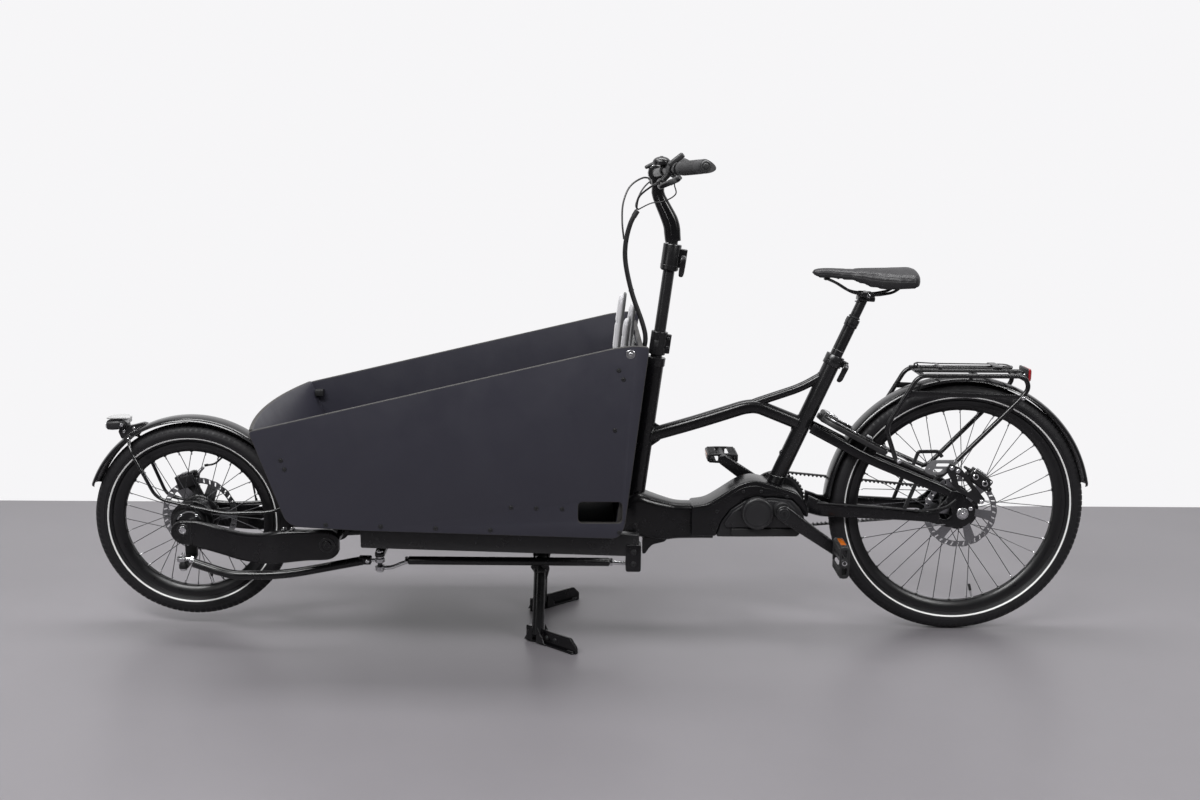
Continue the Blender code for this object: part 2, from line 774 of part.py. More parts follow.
def belt(parent):
    inner = []
    outer = []
    for i in range(BELT_TEETH):
        for share, height in TOOTH_MARKS:
            point, normal, _ = belt_frame((i + share) * BELT_PITCH)
            inner.append(point - normal * (BELT_ROOT + TOOTH_HEIGHT * height))
        point, normal, kind = belt_frame(i * BELT_PITCH)
        _, _, before = belt_frame((i - 1) * BELT_PITCH)
        _, _, after = belt_frame((i + 1) * BELT_PITCH)
        if kind == "curve" or before == "curve" or after == "curve":
            outer.append(point + normal * BELT_BACK)
    y0 = BELT_Y - BELT_WIDTH / 2
    loops = [side_outline(outer), side_outline(inner)]
    return solid("belt", plate(loops, y0, y0 + BELT_WIDTH, side_view), "rubber", (0, BELT_Y, 0), parent)


def gear_outline(centre, teeth, first):
    """Outline of a belt wheel whose gap number 0 points along an angle."""
    radius = teeth * BELT_PITCH / math.tau
    tip = radius - BELT_ROOT - GAP
    root = radius - BELT_ROOT - TOOTH_HEIGHT - GAP
    outline = []
    for i in range(teeth):
        for share, height in ROOM_MARKS:
            angle = first - math.tau * (i + share) / teeth
            r = tip + (root - tip) * height
            outline.append((centre.x + r * math.cos(angle), centre.z + r * math.sin(angle)))
    return outline


def gap_angle(centre, radius, start):
    """Angle of the first belt tooth that lies on a wheel."""
    for i in range(BELT_TEETH):
        point, normal, kind = belt_frame(i * BELT_PITCH)
        if kind == "curve" and (point - centre).length < radius + GAP:
            return math.atan2(normal.z, normal.x)
    return start


def drive(parent):
    belt(parent)
    crank = joint("crank_joint", CRANK_AXLE, parent)
    driver = joint("sprocket_joint", REAR_AXLE, parent)
    y0 = BELT_Y - BELT_WIDTH / 2
    y1 = BELT_Y + BELT_WIDTH / 2
    bore = flats(SPINDLE_RADIUS + GAP)
    first = gap_angle(CRANK_AXLE, PULLEY_RADIUS, 0.0)
    loops = [gear_outline(CRANK_AXLE, PULLEY_TEETH, first)]
    for i in range(5):
        angle = math.tau * (i + 0.5) / 5
        spot = (CRANK_AXLE.x + 0.045 * math.cos(angle), CRANK_AXLE.z + 0.045 * math.sin(angle))
        loops.append(disc(spot, 0.0135, 6))
    loops.append(disc((CRANK_AXLE.x, CRANK_AXLE.z), bore, ROUND))
    solid("chainring", plate(loops, y0, y1 + 0.0006, side_view), "dark_alloy", CRANK_AXLE, crank)
    first = gap_angle(REAR_AXLE, SPROCKET_RADIUS, 0.0)
    loops = [gear_outline(REAR_AXLE, SPROCKET_TEETH, first),
             disc((REAR_AXLE.x, REAR_AXLE.z), flats(DRIVER_RADIUS + GAP, 20), 20)]
    solid("rear_sprocket", plate(loops, y0 + 0.0006, y1 - 0.0006, side_view), "dark_alloy",
          REAR_AXLE, driver)
    cranks(crank)


def crank_arm(end, y_inner, y_outer, bore):
    """Crank from the axle to the pedal end, as a body that narrows towards the pedal."""
    start = CRANK_AXLE
    along = (end - start).normalized()
    up = Vector((-along.z, 0.0, along.x))
    outline = []
    for centre, radius, first in ((start, 0.021, 90), (end, 0.0145, -90)):
        for i in range(7):
            angle = math.radians(first + 30 * i)
            offset = along * math.cos(angle) * radius + up * math.sin(angle) * radius
            outline.append((centre.x + offset.x, centre.z + offset.z))
    loops = [outline, disc((end.x, end.z), flats(PEDAL_STUD + GAP, 12), 12)]
    if bore:
        loops.append(disc((start.x, start.z), flats(SPINDLE_RADIUS + GAP, 16), 16))
    return plate(loops, y_inner, y_outer, side_view)


def cranks(parent):
    drop = math.radians(CRANK_DROP)
    reach = Vector((math.cos(drop), 0.0, -math.sin(drop))) * CRANK_LENGTH
    inner, outer = CRANK_Y, CRANK_Y + CRANK_THICKNESS
    left_end = CRANK_AXLE + reach
    right_end = CRANK_AXLE - reach
    left = crank_arm(left_end, -outer, -inner, True)
    solid("crank_left", left, "satin_black", CRANK_AXLE, parent)
    right = crank_arm(right_end, inner, outer, False)
    right = solid("crank_right", right, "satin_black", CRANK_AXLE, parent)
    face = BELT_Y + BELT_WIDTH / 2 + 0.0012
    stations = [(SPINDLE_RADIUS, -outer + 0.002), (SPINDLE_RADIUS, face), (0.030, face),
                (0.020, inner + 0.004)]
    fuse(right, spindle(CRANK_AXLE, stations))
    for name, end, sign, level in (("pedal_left", left_end, -1, False),
                                   ("pedal_right", right_end, 1, True)):
        pedal(name, end, sign, level, parent, outer)


def pedal(name, end, sign, level, parent, crank_face):
    """Pedal body with its stud through the crank's eye; level tells which way it lies."""
    hinge = joint(name + "_joint", end, parent)
    start = crank_face + 0.006
    wide, tall = PEDAL_WIDTH / 2, PEDAL_THICKNESS / 2
    if not level:
        wide, tall = tall, wide
    a, b = end.x, end.z
    cut = 0.010
    outline = [(a - wide, b + tall - cut), (a - wide + cut, b + tall), (a + wide - cut, b + tall),
               (a + wide, b + tall - cut), (a + wide, b - tall + cut), (a + wide - cut, b - tall),
               (a - wide + cut, b - tall), (a - wide, b - tall + cut)]
    low, high = sorted((sign * start, sign * (start + PEDAL_LENGTH)))
    body = solid(name, plate([outline], low, high, side_view), "rubber", end, hinge)
    stud_low = sign * (CRANK_Y + 0.003)
    stud_high = sign * (start + 0.004)
    fuse(body, spindle(Vector((end.x, 0, end.z)), [(PEDAL_STUD, stud_low), (PEDAL_STUD, stud_high)], 12))


# Frame

def cradle_outline(lift=0.0):
    """Motor cradle seen from the side: its top, then back along the motor's upper edge."""
    top = [at(distance, BRACKET_HEIGHT + rise) for distance, rise in
           ((0.675, 0.008), (0.563, 0.070), (0.534, 0.075), (0.464, 0.057), (0.429, 0.044),
            (0.420, 0.0355), (0.397, 0.004), (0.394, -0.022))]
    lower = [point + Vector((0, 0, 2 * GAP)) for point in motor_top()[::-1]]
    points = top + lower + [at(0.675, BRACKET_HEIGHT - 0.075)]
    return [point + Vector((0, 0, lift)) for point in points]


def motor_top():
    """Upper edge of the motor, front to rear."""
    return [at(distance, BRACKET_HEIGHT + rise) for distance, rise in
            ((0.634, -0.075), (0.622, -0.037), (0.596, -0.001), (0.556, 0.025), (0.490, 0.031),
             (0.440, 0.025), (0.416, 0.001), (0.405, -0.022))]


def frame_spine():
    front = SWING_PIVOT.x + 0.020
    rows = [(front, 0.0225, 0.250, 0.300), (front + 0.035, 0.030, 0.2535, 0.335),
            (behind(0.520), 0.030, BEAM_BOTTOM, None), (ahead(0.895), 0.030, BEAM_BOTTOM, None)]
    stations = []
    for x, half, low, high in rows:
        high = high if high is not None else deck_top(x) - DECK_PLATE - GAP
        stations.append((x, -half, half, low, high))
    beam = solid("frame_spine", bar_rings(stations), "frame_black")
    yoke = spindle(SWING_PIVOT, [(0.030, -0.045), (0.030, 0.045)], 20)
    top = deck_top(ahead(0.88)) - DECK_PLATE - GAP
    casting = bar_rings([(ahead(0.899), -0.040, 0.040, 0.2555, top),
                         (ahead(0.840), -0.046, 0.046, 0.2555, 0.3745),
                         (ahead(0.770), -0.036, 0.036, 0.2440, 0.352), (ahead(0.735), -0.030, 0.030,
                                                                        0.2480, 0.342),
                         (ahead(0.640), -0.030, 0.030, 0.2480, 0.345)])
    fin = slab_between([at(0.825, 0.205), at(0.825, 0.262), at(0.745, 0.262), at(0.767, 0.238),
                        at(0.798, 0.230), at(0.808, 0.220), at(0.817, 0.205)], -0.019, 0.019)
    cradle = slab_between(cradle_outline(), -0.050, 0.036)
    idler = spindle((IDLER_X, 0, 0), [(0.019, 0.2416), (0.019, 0.262)], 14, (0, 0, 1))
    foot = slab_between([at(1.116, 0.262), at(1.112, 0.190), at(1.100, 0.172), at(1.084, 0.172),
                         at(1.072, 0.190), at(1.060, 0.262)], -0.028, 0.028)
    fuse(beam, yoke, casting, fin, cradle, idler, foot)
    wide = flats(HEAD_TUBE_RADIUS + GAP)
    bore = spindle(steer_point(0.15), [(wide, 0.0), (wide, 0.35)], ROUND, STEER_UP)
    pivot = spindle(SWING_PIVOT, [(flats(PIVOT_TUBE_RADIUS + GAP), -0.1),
                                  (flats(PIVOT_TUBE_RADIUS + GAP), 0.1)])
    axis = spindle(STAND_AXIS, [(flats(STAND_TUBE_RADIUS + GAP, 14), -0.1),
                                (flats(STAND_TUBE_RADIUS + GAP, 14), 0.1)], 14)
    carve(beam, bore, pivot, axis)
    stud = rod((IDLER_X, 0, 0.2280), (IDLER_X, 0, 0.250), 0.0055, 12)
    fuse(beam, stud)


def frame_upper():
    foot = BRACKET_HEIGHT + SEAT_TUBE_RISE
    tube = rod(seat_point(foot), seat_point(SEAT_TUBE_TOP), SEAT_TUBE_RADIUS, ROUND)
    item = solid("frame_upper", tube, "frame_black")
    length = (steer_point(HEAD_TUBE_TOP) - steer_point(HEAD_TUBE_BOTTOM)).length
    ring = HEAD_TUBE_RADIUS + HEAD_TUBE_LIP
    head = spindle(steer_point(HEAD_TUBE_BOTTOM), [(HEAD_TUBE_RADIUS, 0.0),
                                                   (HEAD_TUBE_RADIUS, length - 0.022),
                                                   (ring, length - 0.021), (ring, length)], ROUND, STEER_UP)
    top = sweep(bend([at(0.824, 0.517), at(0.694, 0.555), at(0.560, 0.598), at(0.530, 0.600),
                      at(0.425, 0.558)], 0.04, 2), circle(0.0175, 12))
    brace = sweep(bend([at(0.575, 0.590), at(0.540, 0.608), at(0.418, 0.650), at(0.360, 0.684)], 0.03, 2),
                  circle(0.0115, 10))
    gusset = slab_between([at(0.820, 0.572), at(0.772, 0.535), at(0.772, 0.525), at(0.826, 0.500)],
                          -0.004, 0.004)
    collar = rod(seat_point(SEAT_TUBE_TOP - 0.026), seat_point(SEAT_TUBE_TOP + 0.001), 0.0245, ROUND)
    lean = tilt_y(SEAT_TILT)
    clamp = seat_point(SEAT_TUBE_TOP - 0.0125)
    ears = turned_block(clamp + lean @ Vector((0.029, 0, 0)), (0.018, 0.020, 0.018), lean)
    fuse(item, head, top, brace, gusset, collar, ears)
    seat_bore = rod(seat_point(0.470), seat_point(0.800), flats(POST_RADIUS + GAP), ROUND)
    wide = flats(COLUMN_RADIUS + GAP)
    head_bore = spindle(steer_point(0.200), [(wide, 0.0), (wide, 0.56)], ROUND, STEER_UP)
    cradle = slab_between(cradle_outline(GAP), -0.060, 0.060)
    slit = turned_block(clamp + lean @ Vector((0.028, 0, 0.002)), (0.040, 0.003, 0.034), lean)
    carve(item, seat_bore, head_bore, cradle, slit)
    fuse(item, spindle(clamp + lean @ Vector((0.032, 0, 0)), [(0.003, -0.0130), (0.003, 0.0125)], 8))


def stay_line(distance):
    """Height of the line from the rear axle to the crank axle."""
    share = distance / (REAR_AXLE_X - CRANK_AXLE.x)
    return REAR_TYRE_RADIUS + (BRACKET_HEIGHT - REAR_TYRE_RADIUS) * share


def frame_stay(name, side):
    """Chainstay, seat stay, strut, dropout and axle end of one side; side is -1 or 1."""
    rows = [(0.3930, 0.0195, 0.0360, -0.0146, 0.0324), (0.348, 0.0325, 0.0490, -0.0204, 0.0161),
            (0.280, 0.0365, 0.0525, -0.0220, 0.0150), (0.161, 0.0470, 0.0630, -0.0234, 0.0076),
            (0.095, 0.0600, 0.0740, -0.0240, 0.0020), (0.060, 0.0675, 0.0745, -0.0268, 0.0052)]
    rings = [(ahead(d), side * y0, side * y1, stay_line(d) + z0, stay_line(d) + z1)
             for d, y0, y1, z0, z1 in rows]
    item = solid(name, bar_rings(rings), "frame_black")
    upper = sweep([at(0.392, 0.5485, side * 0.0320), at(0.320, 0.512, side * 0.0445),
                   at(0.235, 0.469, side * 0.0505), at(0.070, 0.403, side * 0.0640),
                   at(0.028, 0.384, side * 0.0710)],
                  [[(a * side * width, b) for a, b in slab(0.016, tall)][::side]
                   for width, tall in ((1, 0.026), (1, 0.026), (1, 0.025), (0.9, 0.022), (0.44, 0.018))])
    strut = rod(at(0.122, 0.412, side * 0.0628), at(0.152, 0.330, side * 0.0592), 0.0052, 8)
    low, high = sorted((side * DROPOUT_Y, side * (DROPOUT_Y + DROPOUT_THICKNESS)))
    dropout = slab_between([at(0.090, 0.312), at(0.085, 0.336), at(0.062, 0.352), at(0.040, 0.376),
                            at(0.034, 0.396), at(0.012, 0.392), at(-0.012, 0.372), at(-0.034, 0.352),
                            at(-0.030, 0.318), at(-0.006, 0.298), at(0.040, 0.298)], low, high)
    face = DROPOUT_Y + DROPOUT_THICKNESS
    stub = spindle(REAR_AXLE, [(REAR_STUB_RADIUS, side * (DROPOUT_Y - 0.040)),
                               (REAR_STUB_RADIUS, side * (DROPOUT_Y - 0.004)),
                               (0.010, side * (DROPOUT_Y - 0.004)), (0.010, side * (face + 0.009))], 12)
    fuse(item, upper, strut, dropout, stub)
    wide = flats(SEAT_TUBE_RADIUS + GAP)
    carve(item, rod(seat_point(0.45), seat_point(0.70), wide, ROUND))


def frame_deck():
    """Ladder under the box: two side rails, a plate with windows and a rear end block."""
    front = behind(DECK_FRONT)
    rear = ahead(DECK_REAR)
    rails = []
    for side in (-1, 1):
        y0, y1 = side * (DECK_HALF - RAIL_WIDTH), side * DECK_HALF
        rows = [(x, y0, y1, deck_top(x) - DECK_HEIGHT, deck_top(x)) for x in (front, rear)]
        rails.append(bar_rings(rows))
    half = DECK_HALF - RAIL_WIDTH / 2
    loops = [rectangle(front + 0.002, ahead(0.905), -half, half)]
    bays = 3
    length = ahead(0.905) - front - 0.002
    strip = 0.050
    span = (length - strip * (bays + 1)) / bays
    for i in range(bays):
        x0 = front + 0.002 + strip + i * (span + strip)
        for y0, y1 in ((-half + 0.028, -0.050), (0.050, half - 0.028)):
            loops.append(rectangle(x0, x0 + span, y0, y1))
    sheet = plate(loops, -DECK_PLATE, -GAP, lambda a, b, level: Vector((a, b, deck_top(a) + level)))
    item = solid("frame_deck", rails[0], "frame_black")
    ends = []
    for side in (-1, 1):
        y0, y1 = sorted((side * (DECK_HALF - RAIL_WIDTH - 0.004), side * (DECK_HALF + 0.004)))
        ends.append(slab_between([at(0.877, 0.2485), at(0.877, 0.317), at(0.840, 0.316),
                                  at(0.840, 0.2485)], y0, y1))
    cross = bar_rings([(x, -half, half, deck_top(x) - 0.034, deck_top(x) - 0.001)
                       for x in (front + 0.004, front + 0.034)])
    fuse(item, rails[1], sheet, cross, *ends)
    half_beam = BEAM_WIDTH / 2 + GAP
    rows = [(x, deck_top(x) - DECK_PLATE) for x in (front - 0.05, ahead(0.84))]
    notch = bmesh.new()
    add_rings(notch, [[Vector((x, -half_beam, 0.2)), Vector((x, half_beam, 0.2)), Vector((x, half_beam, z)),
                       Vector((x, -half_beam, z))] for x, z in rows])
    carve(item, notch)


# Box

def rear_panel_x(height, offset):
    """X of the rear panel's plane, which leans with the column."""
    lean = (height - STEER_REF_HEIGHT) * math.tan(math.radians(STEER_TILT))
    return ahead(STEER_AHEAD + BOX_BEHIND_COLUMN) + lean + offset


def front_edge_x(height):
    """X of the box sides' front edge."""
    share = (height - 0.385) / 0.212
    return behind(0.317) - share * 0.078


def box_side(name, side):
    foot = deck_top(behind(0.494))
    outline = [fore(0.239, 0.597), fore(0.317, 0.385), fore(0.330, 0.3725), fore(0.352, 0.366),
               fore(0.494, foot), at(0.906, deck_top(ahead(0.906))), at(0.892, 0.349), at(0.881, 0.371),
               at(0.828, 0.802), at(0.846, 0.8045), at(0.868, 0.805), at(0.911, 0.799), at(0.940, 0.792),
               at(0.970, 0.785)]
    front, rear, low, high, corner = WINDOW_FRONT, WINDOW_REAR, WINDOW_LOW, WINDOW_TOP, 0.006
    window = [at(front - corner, low), at(rear + corner, low), at(rear, low + corner),
              at(rear, high - corner), at(rear + corner, high), at(front - corner, high),
              at(front, high - corner), at(front, low + corner)]
    y0, y1 = sorted((side * (BOX_WIDTH / 2 - PANEL), side * BOX_WIDTH / 2))
    solid(name, plate([side_outline(outline), side_outline(window)], y0, y1, side_view), "panel")


def box_front():
    """Front panel, bowed forward across its width."""
    half = BOX_WIDTH / 2 - PANEL - GAP
    heights = [0.3795, 0.450, 0.520, 0.590, 0.600]
    count = 12
    bm = bmesh.new()
    rings = []
    for i in range(count + 1):
        across = -1 + 2 * i / count
        y = half * across
        ring = []
        for offset, run in ((0.0, heights), (FRONT_PANEL, heights[::-1])):
            for z in run:
                rise = (z - heights[0]) / (heights[-1] - heights[0])
                bow = (0.006 + (FRONT_BOW - 0.006) * rise) * (1 - across ** 2)
                ring.append(Vector((front_edge_x(z) - bow + offset, y, z)))
        rings.append(ring)
    add_rings(bm, rings)
    solid("box_front", bm, "panel")


def box_body():
    box_side("box_side_left", -1)
    box_side("box_side_right", 1)
    box_front()
    half = BOX_WIDTH / 2 - PANEL - GAP
    floor_front = front_edge_x(0.375) + FRONT_PANEL + 0.004
    floor_rear = rear_panel_x(0.350, -PANEL - 0.001)
    rows = [(x, -half, half, deck_top(x) + GAP, deck_top(x) + GAP + PANEL) for x in (floor_front,
                                                                                     floor_rear)]
    floor = bmesh.new()
    add_rings(floor, [[Vector((x, y0, z0)), Vector((x, y1, z0)), Vector((x, y1, z1)), Vector((x, y0, z1))]
                      for x, y0, y1, z0, z1 in rows])
    solid("box_floor", floor, "panel")
    low, high = 0.3445, 0.782
    rear = [Vector((rear_panel_x(z, offset), 0, z)) for z, offset in
            ((low, 0.0), (high, 0.0), (high, -PANEL), (low, -PANEL))]
    panel = solid("box_rear", slab_between(rear, -half, half), "panel")
    top = BENCH_HEIGHT
    inner = half - GAP
    x_front = ahead(BENCH_FRONT)
    floor_at = deck_top(x_front) + GAP + PANEL + GAP
    bench = [Vector((x_front, 0, floor_at)), Vector((x_front, 0, top)),
             Vector((rear_panel_x(top, -PANEL - GAP), 0, top)),
             Vector((rear_panel_x(top - PANEL, -PANEL - GAP), 0, top - PANEL)),
             Vector((x_front + PANEL, 0, top - PANEL)), Vector((x_front + PANEL, 0, floor_at))]
    solid("bench", slab_between(bench, -inner, inner), "panel")
    harness()
    return panel


def harness():
    """Four shoulder pads of the child harness on one strap along the rear panel."""
    lean = tilt_y(STEER_TILT)
    strap_z = 0.756
    x = rear_panel_x(strap_z, -PANEL - GAP - 0.002)
    item = solid("harness_pads", turned_block((x, 0, strap_z), (0.004, 0.50, 0.040), lean), "pad")
    for y, top, length in ((-0.205, 0.912, 0.200), (-0.105, 0.842, 0.130), (0.105, 0.856, 0.150),
                           (0.205, 0.812, 0.110)):
        fuse(item, pad(y, top, length))


def pad(y, top, length):
    """Soft pad with drawn-in ends and crowned faces."""
    rings = []
    for share, wide, thick in ((0.0, 0.034, 0.008), (0.06, 0.052, 0.020), (0.3, 0.058, 0.027),
                               (0.7, 0.058, 0.027), (0.94, 0.052, 0.020), (1.0, 0.034, 0.008)):
        z = top - length * share
        centre = Vector((rear_panel_x(z, -PANEL - 0.0160), y, z))
        rings.append([centre + Vector((b, a, 0)) for a, b in slab(wide, thick, 0.42)])
    bm = bmesh.new()
    add_rings(bm, rings)
    return bm


# Steering

def arm_plate(axis, low, high, reach, hub, tip, lean=None):
    """Flat lever from a steering axis to its ball."""
    outline = []
    start = Vector((0, 0, 0))
    along = Vector((reach.x, reach.y, 0)).normalized()
    side = Vector((-along.y, along.x, 0))
    for centre, radius, first in ((start, hub, 90), (reach, tip, -90)):
        for i in range(7):
            angle = math.radians(first + 30 * i)
            offset = along * math.cos(angle) * radius + side * math.sin(angle) * radius
            outline.append((centre.x + offset.x, centre.y + offset.y))
    turn_by = lean or Matrix.Identity(3)
    return plate([outline], low, high, lambda a, b, level: axis + turn_by @ Vector((a, b, level)))


def rod_eye(centre, half, outer=ROD_EYE_RADIUS):
    """Solid eye of a steering rod, bored later."""
    return spindle(centre, [(outer, -half), (outer, half)], 14, (0, 0, 1))


def steering():
    axis = steer_point(STEER_REF_HEIGHT)
    column = joint("column_joint", axis)
    column_body(column)
    slide = joint("stem_joint", steer_point(COLUMN_TOP), column)
    stem_and_bar(slide)
    linkage(column)
    return column


def column_body(parent):
    foot = HEAD_TUBE_BOTTOM - 0.001
    base = steer_point(foot - 0.012)
    reach = (steer_point(COLUMN_TOP) - base).length
    tube = spindle(base, [(COLUMN_RADIUS, 0.0), (COLUMN_RADIUS, reach)], ROUND, STEER_UP)
    item = solid("steering_column", tube, "frame_black", steer_point(STEER_REF_HEIGHT), parent)
    seat = steer_point(foot)
    pitman = arm_plate(seat, -0.0175, -0.0060, STEER_ARM, 0.0195, 0.0125, STEER_LEAN)
    boss = rod(seat - STEER_UP * 0.0175, seat - STEER_UP * 0.0003, 0.0195, ROUND)
    stud_top = seat + STEER_LEAN @ Vector((STEER_ARM.x, STEER_ARM.y, -0.008))
    stud = rod(stud_top, stud_top - STEER_UP * (stud_top.z - 0.1995), STUD_RADIUS, 10)
    clamp = rod(steer_point(CLAMP_BOTTOM), steer_point(CLAMP_TOP), 0.0215, ROUND)
    knob = turned_block(steer_point((CLAMP_BOTTOM + CLAMP_TOP) / 2) + Vector((0.022, 0, 0)),
                        (0.020, 0.018, 0.050), STEER_LEAN)
    height_clamp = rod(steer_point(COLUMN_TOP - 0.004), steer_point(HEIGHT_CLAMP_TOP), 0.0235, ROUND)
    ears = turned_block(steer_point(0.985) + Vector((0.028, 0, 0)), (0.020, 0.022, 0.048), STEER_LEAN)
    fuse(item, boss, pitman, stud, clamp, knob, height_clamp, ears)
    bore = rod(steer_point(0.780), steer_point(1.10), flats(STEM_TUBE_RADIUS + GAP, 16), 16)
    slit = turned_block(steer_point(0.990) + Vector((0.028, 0, 0)), (0.030, 0.003, 0.072), STEER_LEAN)
    carve(item, bore, slit)
    bolt = rod(steer_point(0.985, -0.0138) + Vector((0.031, 0, 0)),
               steer_point(0.985, 0.0135) + Vector((0.031, 0, 0)), 0.003, 8, (1, 0, 0))
    fuse(item, bolt)
    hinge = joint("column_lever_joint", steer_point(0.985, -0.020) + Vector((0.031, 0, 0)), parent)
    place = Vector(hinge["world"])
    lever = lever_body(place, STEER_LEAN, 0.050)
    solid("column_clamp_lever", lever, "steel", place, hinge)


def lever_body(place, lean, length):
    """Quick-release lever: a head on its pin and a flat arm that hangs down along the tube."""
    bm = bmesh.new()
    points = [(-0.004, 0.0), (0.004, -0.003), (0.020, -0.004), (0.036, -0.002), (length, 0.004)]
    sizes = [(0.014, 0.007), (0.016, 0.008), (0.014, 0.006), (0.014, 0.005), (0.011, 0.004)]
    rings = []
    for (along, out), (tall, thick) in zip(points, sizes):
        centre = place + lean @ Vector((0, out, -along))
        rings.append([centre + lean @ Vector((-a, b, 0)) for a, b in slab(tall, thick, 0.35)])
    add_rings(bm, rings)
    return bm


def stem_and_bar(parent):
    low = 0.800
    tube = rod(steer_point(low), steer_point(HEIGHT_CLAMP_TOP + 0.010), STEM_TUBE_RADIUS, 16)
    item = solid("stem_post", tube, "satin_black", steer_point(COLUMN_TOP), parent)
    base = steer_point(HEIGHT_CLAMP_TOP + 0.0065)
    bar = at(BAR_CLAMP[0], BAR_CLAMP[1])
    path = [base, base + Vector((-0.002, 0, 0.014)), bar + Vector((0.016, 0, -0.052)),
            bar + Vector((0.012, 0, -0.030)),
            bar + Vector((0.002, 0, -0.006))]
    shapes = [slab(0.034, 0.036, 0.4), slab(0.034, 0.040, 0.4), slab(0.034, 0.042, 0.4),
              slab(0.038, 0.036, 0.4), slab(0.042, 0.026, 0.4)]
    post = sweep(path, shapes)
    clamp = turned(bar, [(0.004, -0.021), (0.0185, -0.021), (0.0185, 0.021), (0.004, 0.021)], 16)
    fuse(item, post, clamp)
    bore = rod(bar - Vector((0, 0.1, 0)), bar + Vector((0, 0.1, 0)), flats(BAR_RADIUS + 0.0009 + GAP, 16),
               16, (1, 0, 0))
    carve(item, bore)
    handlebar(parent, bar)


def bar_path(side):
    """Right or left half of the handlebar, from the clamp to the tip."""
    return [at(BAR_CLAMP[0], BAR_CLAMP[1], side * 0.050), at(0.785, 1.204, side * (BAR_HALF - 0.205)),
            at(0.762, 1.208, side * (BAR_HALF - 0.135)), at(0.7095, 1.216, side * (BAR_HALF - 0.004))]


def handlebar(parent, bar):
    left = bar_path(-1)[::-1]
    right = bar_path(1)
    path = bend(left + [bar] + right, 0.05, 3)
    item = solid("handlebar", sweep(path, circle(BAR_RADIUS, 10), (0, 0, 1)), "satin_black", bar, parent)
    sleeve = turned(bar, [(0.003, -0.034), (BAR_RADIUS + 0.0009, -0.034), (BAR_RADIUS + 0.0009, 0.034),
                          (0.003, 0.034)],
                    16)
    tools = [sleeve]
    for side in (-1, 1):
        mount = lever_mount(side)
        droop = tilt_y(-LEVER_DROOP)
        tools.append(turned_block(mount, (0.028, 0.020, 0.028), grip_turn(side)))
        reach = droop @ Vector((-0.042, -side * 0.006, -0.006))
        inner_end = droop @ Vector((-0.040, -side * 0.008, -0.007))
        outer_end = droop @ Vector((-0.040, side * 0.030, -0.007))
        tools.append(rod(mount, mount + reach, 0.008, 10, (0, 0, 1)))
        tools.append(rod(mount + inner_end, mount + outer_end, 0.0085, 10, (0, 0, 1)))
    fuse(item, *tools)
    for side, word in ((-1, "left"), (1, "right")):
        grip("grip_" + word, side, parent, bar)
        brake_lever("brake_lever_" + word, side, parent)
    bell_at = at(0.796, 1.2235, -0.128)
    solid("bell", bell_dome(bell_at), "satin_black", bell_at, parent)


def bell_dome(centre):
    """Closed dome of the bell."""
    bm = bmesh.new()
    rings = []
    for radius, along in ((0.010, -0.0075), (0.0215, -0.0055), (0.0215, 0.0), (0.0185, 0.0085),
                          (0.011, 0.0135)):
        rings.append([centre + Vector((x, y, along)) for x, y in circle(radius, 14)])
    add_rings(bm, rings)
    return bm


def grip_turn(side):
    """Turn that lines a block up with the grip part of the bar."""
    points = bar_path(side)
    along = (points[3] - points[2]).normalized()
    angle = math.atan2(along.x, abs(along.y))
    return Matrix.Rotation(-side * angle, 3, "Z")


def grip(name, side, parent, bar):
    points = bar_path(side)
    along = (points[3] - points[2]).normalized()
    end = points[3] + along * 0.004
    start = end - along * GRIP_LENGTH
    rearward = Vector((1, 0, -0.15)).normalized()
    rings_path = []
    shapes = []
    for share, radius, wing in ((0.0, 0.0155, 0.0), (0.08, GRIP_RADIUS, 0.0), (0.45, GRIP_RADIUS, 0.003),
                                (0.75, GRIP_RADIUS, 0.011), (0.95, GRIP_RADIUS, 0.013), (1.0, 0.0150, 0.009)):
        rings_path.append(start.lerp(end, share))
        shape = []
        for a, b in circle(radius, 12):
            reach = max(0.0, a / radius)
            flat = 1.0 - 0.35 * reach * min(1.0, wing / 0.02)
            shape.append((a + wing * reach, b * flat))
        shapes.append(shape)
    body = sweep(rings_path, shapes, rearward)
    item = solid(name, body, "rubber", bar, parent)
    inner = rod(start - along * 0.05, points[3] + along * GAP, flats(BAR_RADIUS + GAP, 10), 10, (0, 0, 1))
    carve(item, inner)


def lever_mount(side):
    """Where the brake lever's clamp holds the bar."""
    return at(0.772, 1.2065, side * (BAR_HALF - LEVER_INSET))


def brake_lever(name, side, parent):
    droop = tilt_y(-LEVER_DROOP)
    place = lever_mount(side) + droop @ Vector((-0.040, side * 0.024, -0.007))
    hinge = joint(name + "_joint", place, parent)
    path = [place + droop @ Vector(offset) for offset in
            ((-0.004, -side * 0.002, 0), (-0.010, side * 0.018, -0.002), (0.004, side * 0.050, -0.006),
             (0.026, side * 0.098, -0.010), (0.036, side * 0.122, -0.010))]
    shapes = [slab(0.010, 0.012), slab(0.012, 0.012), slab(0.007, 0.013), slab(0.007, 0.013),
              slab(0.008, 0.014)]
    item = solid(name, sweep(path, shapes, droop @ Vector((1, 0, 0))), "dark_alloy", place, hinge)
    for share in (0.0, 0.33, 0.67, 1.0):
        pulled = droop @ Matrix.Rotation(side * math.radians(BRAKE_PULL * share), 3, "Z")
        inner_end = place + pulled @ Vector((0, -side * 0.036, 0))
        outer_end = place + pulled @ Vector((0, side * 0.008, 0))
        body = rod(inner_end, outer_end, 0.0085 + GAP, 10, (0, 0, 1))
        carve(item, body)


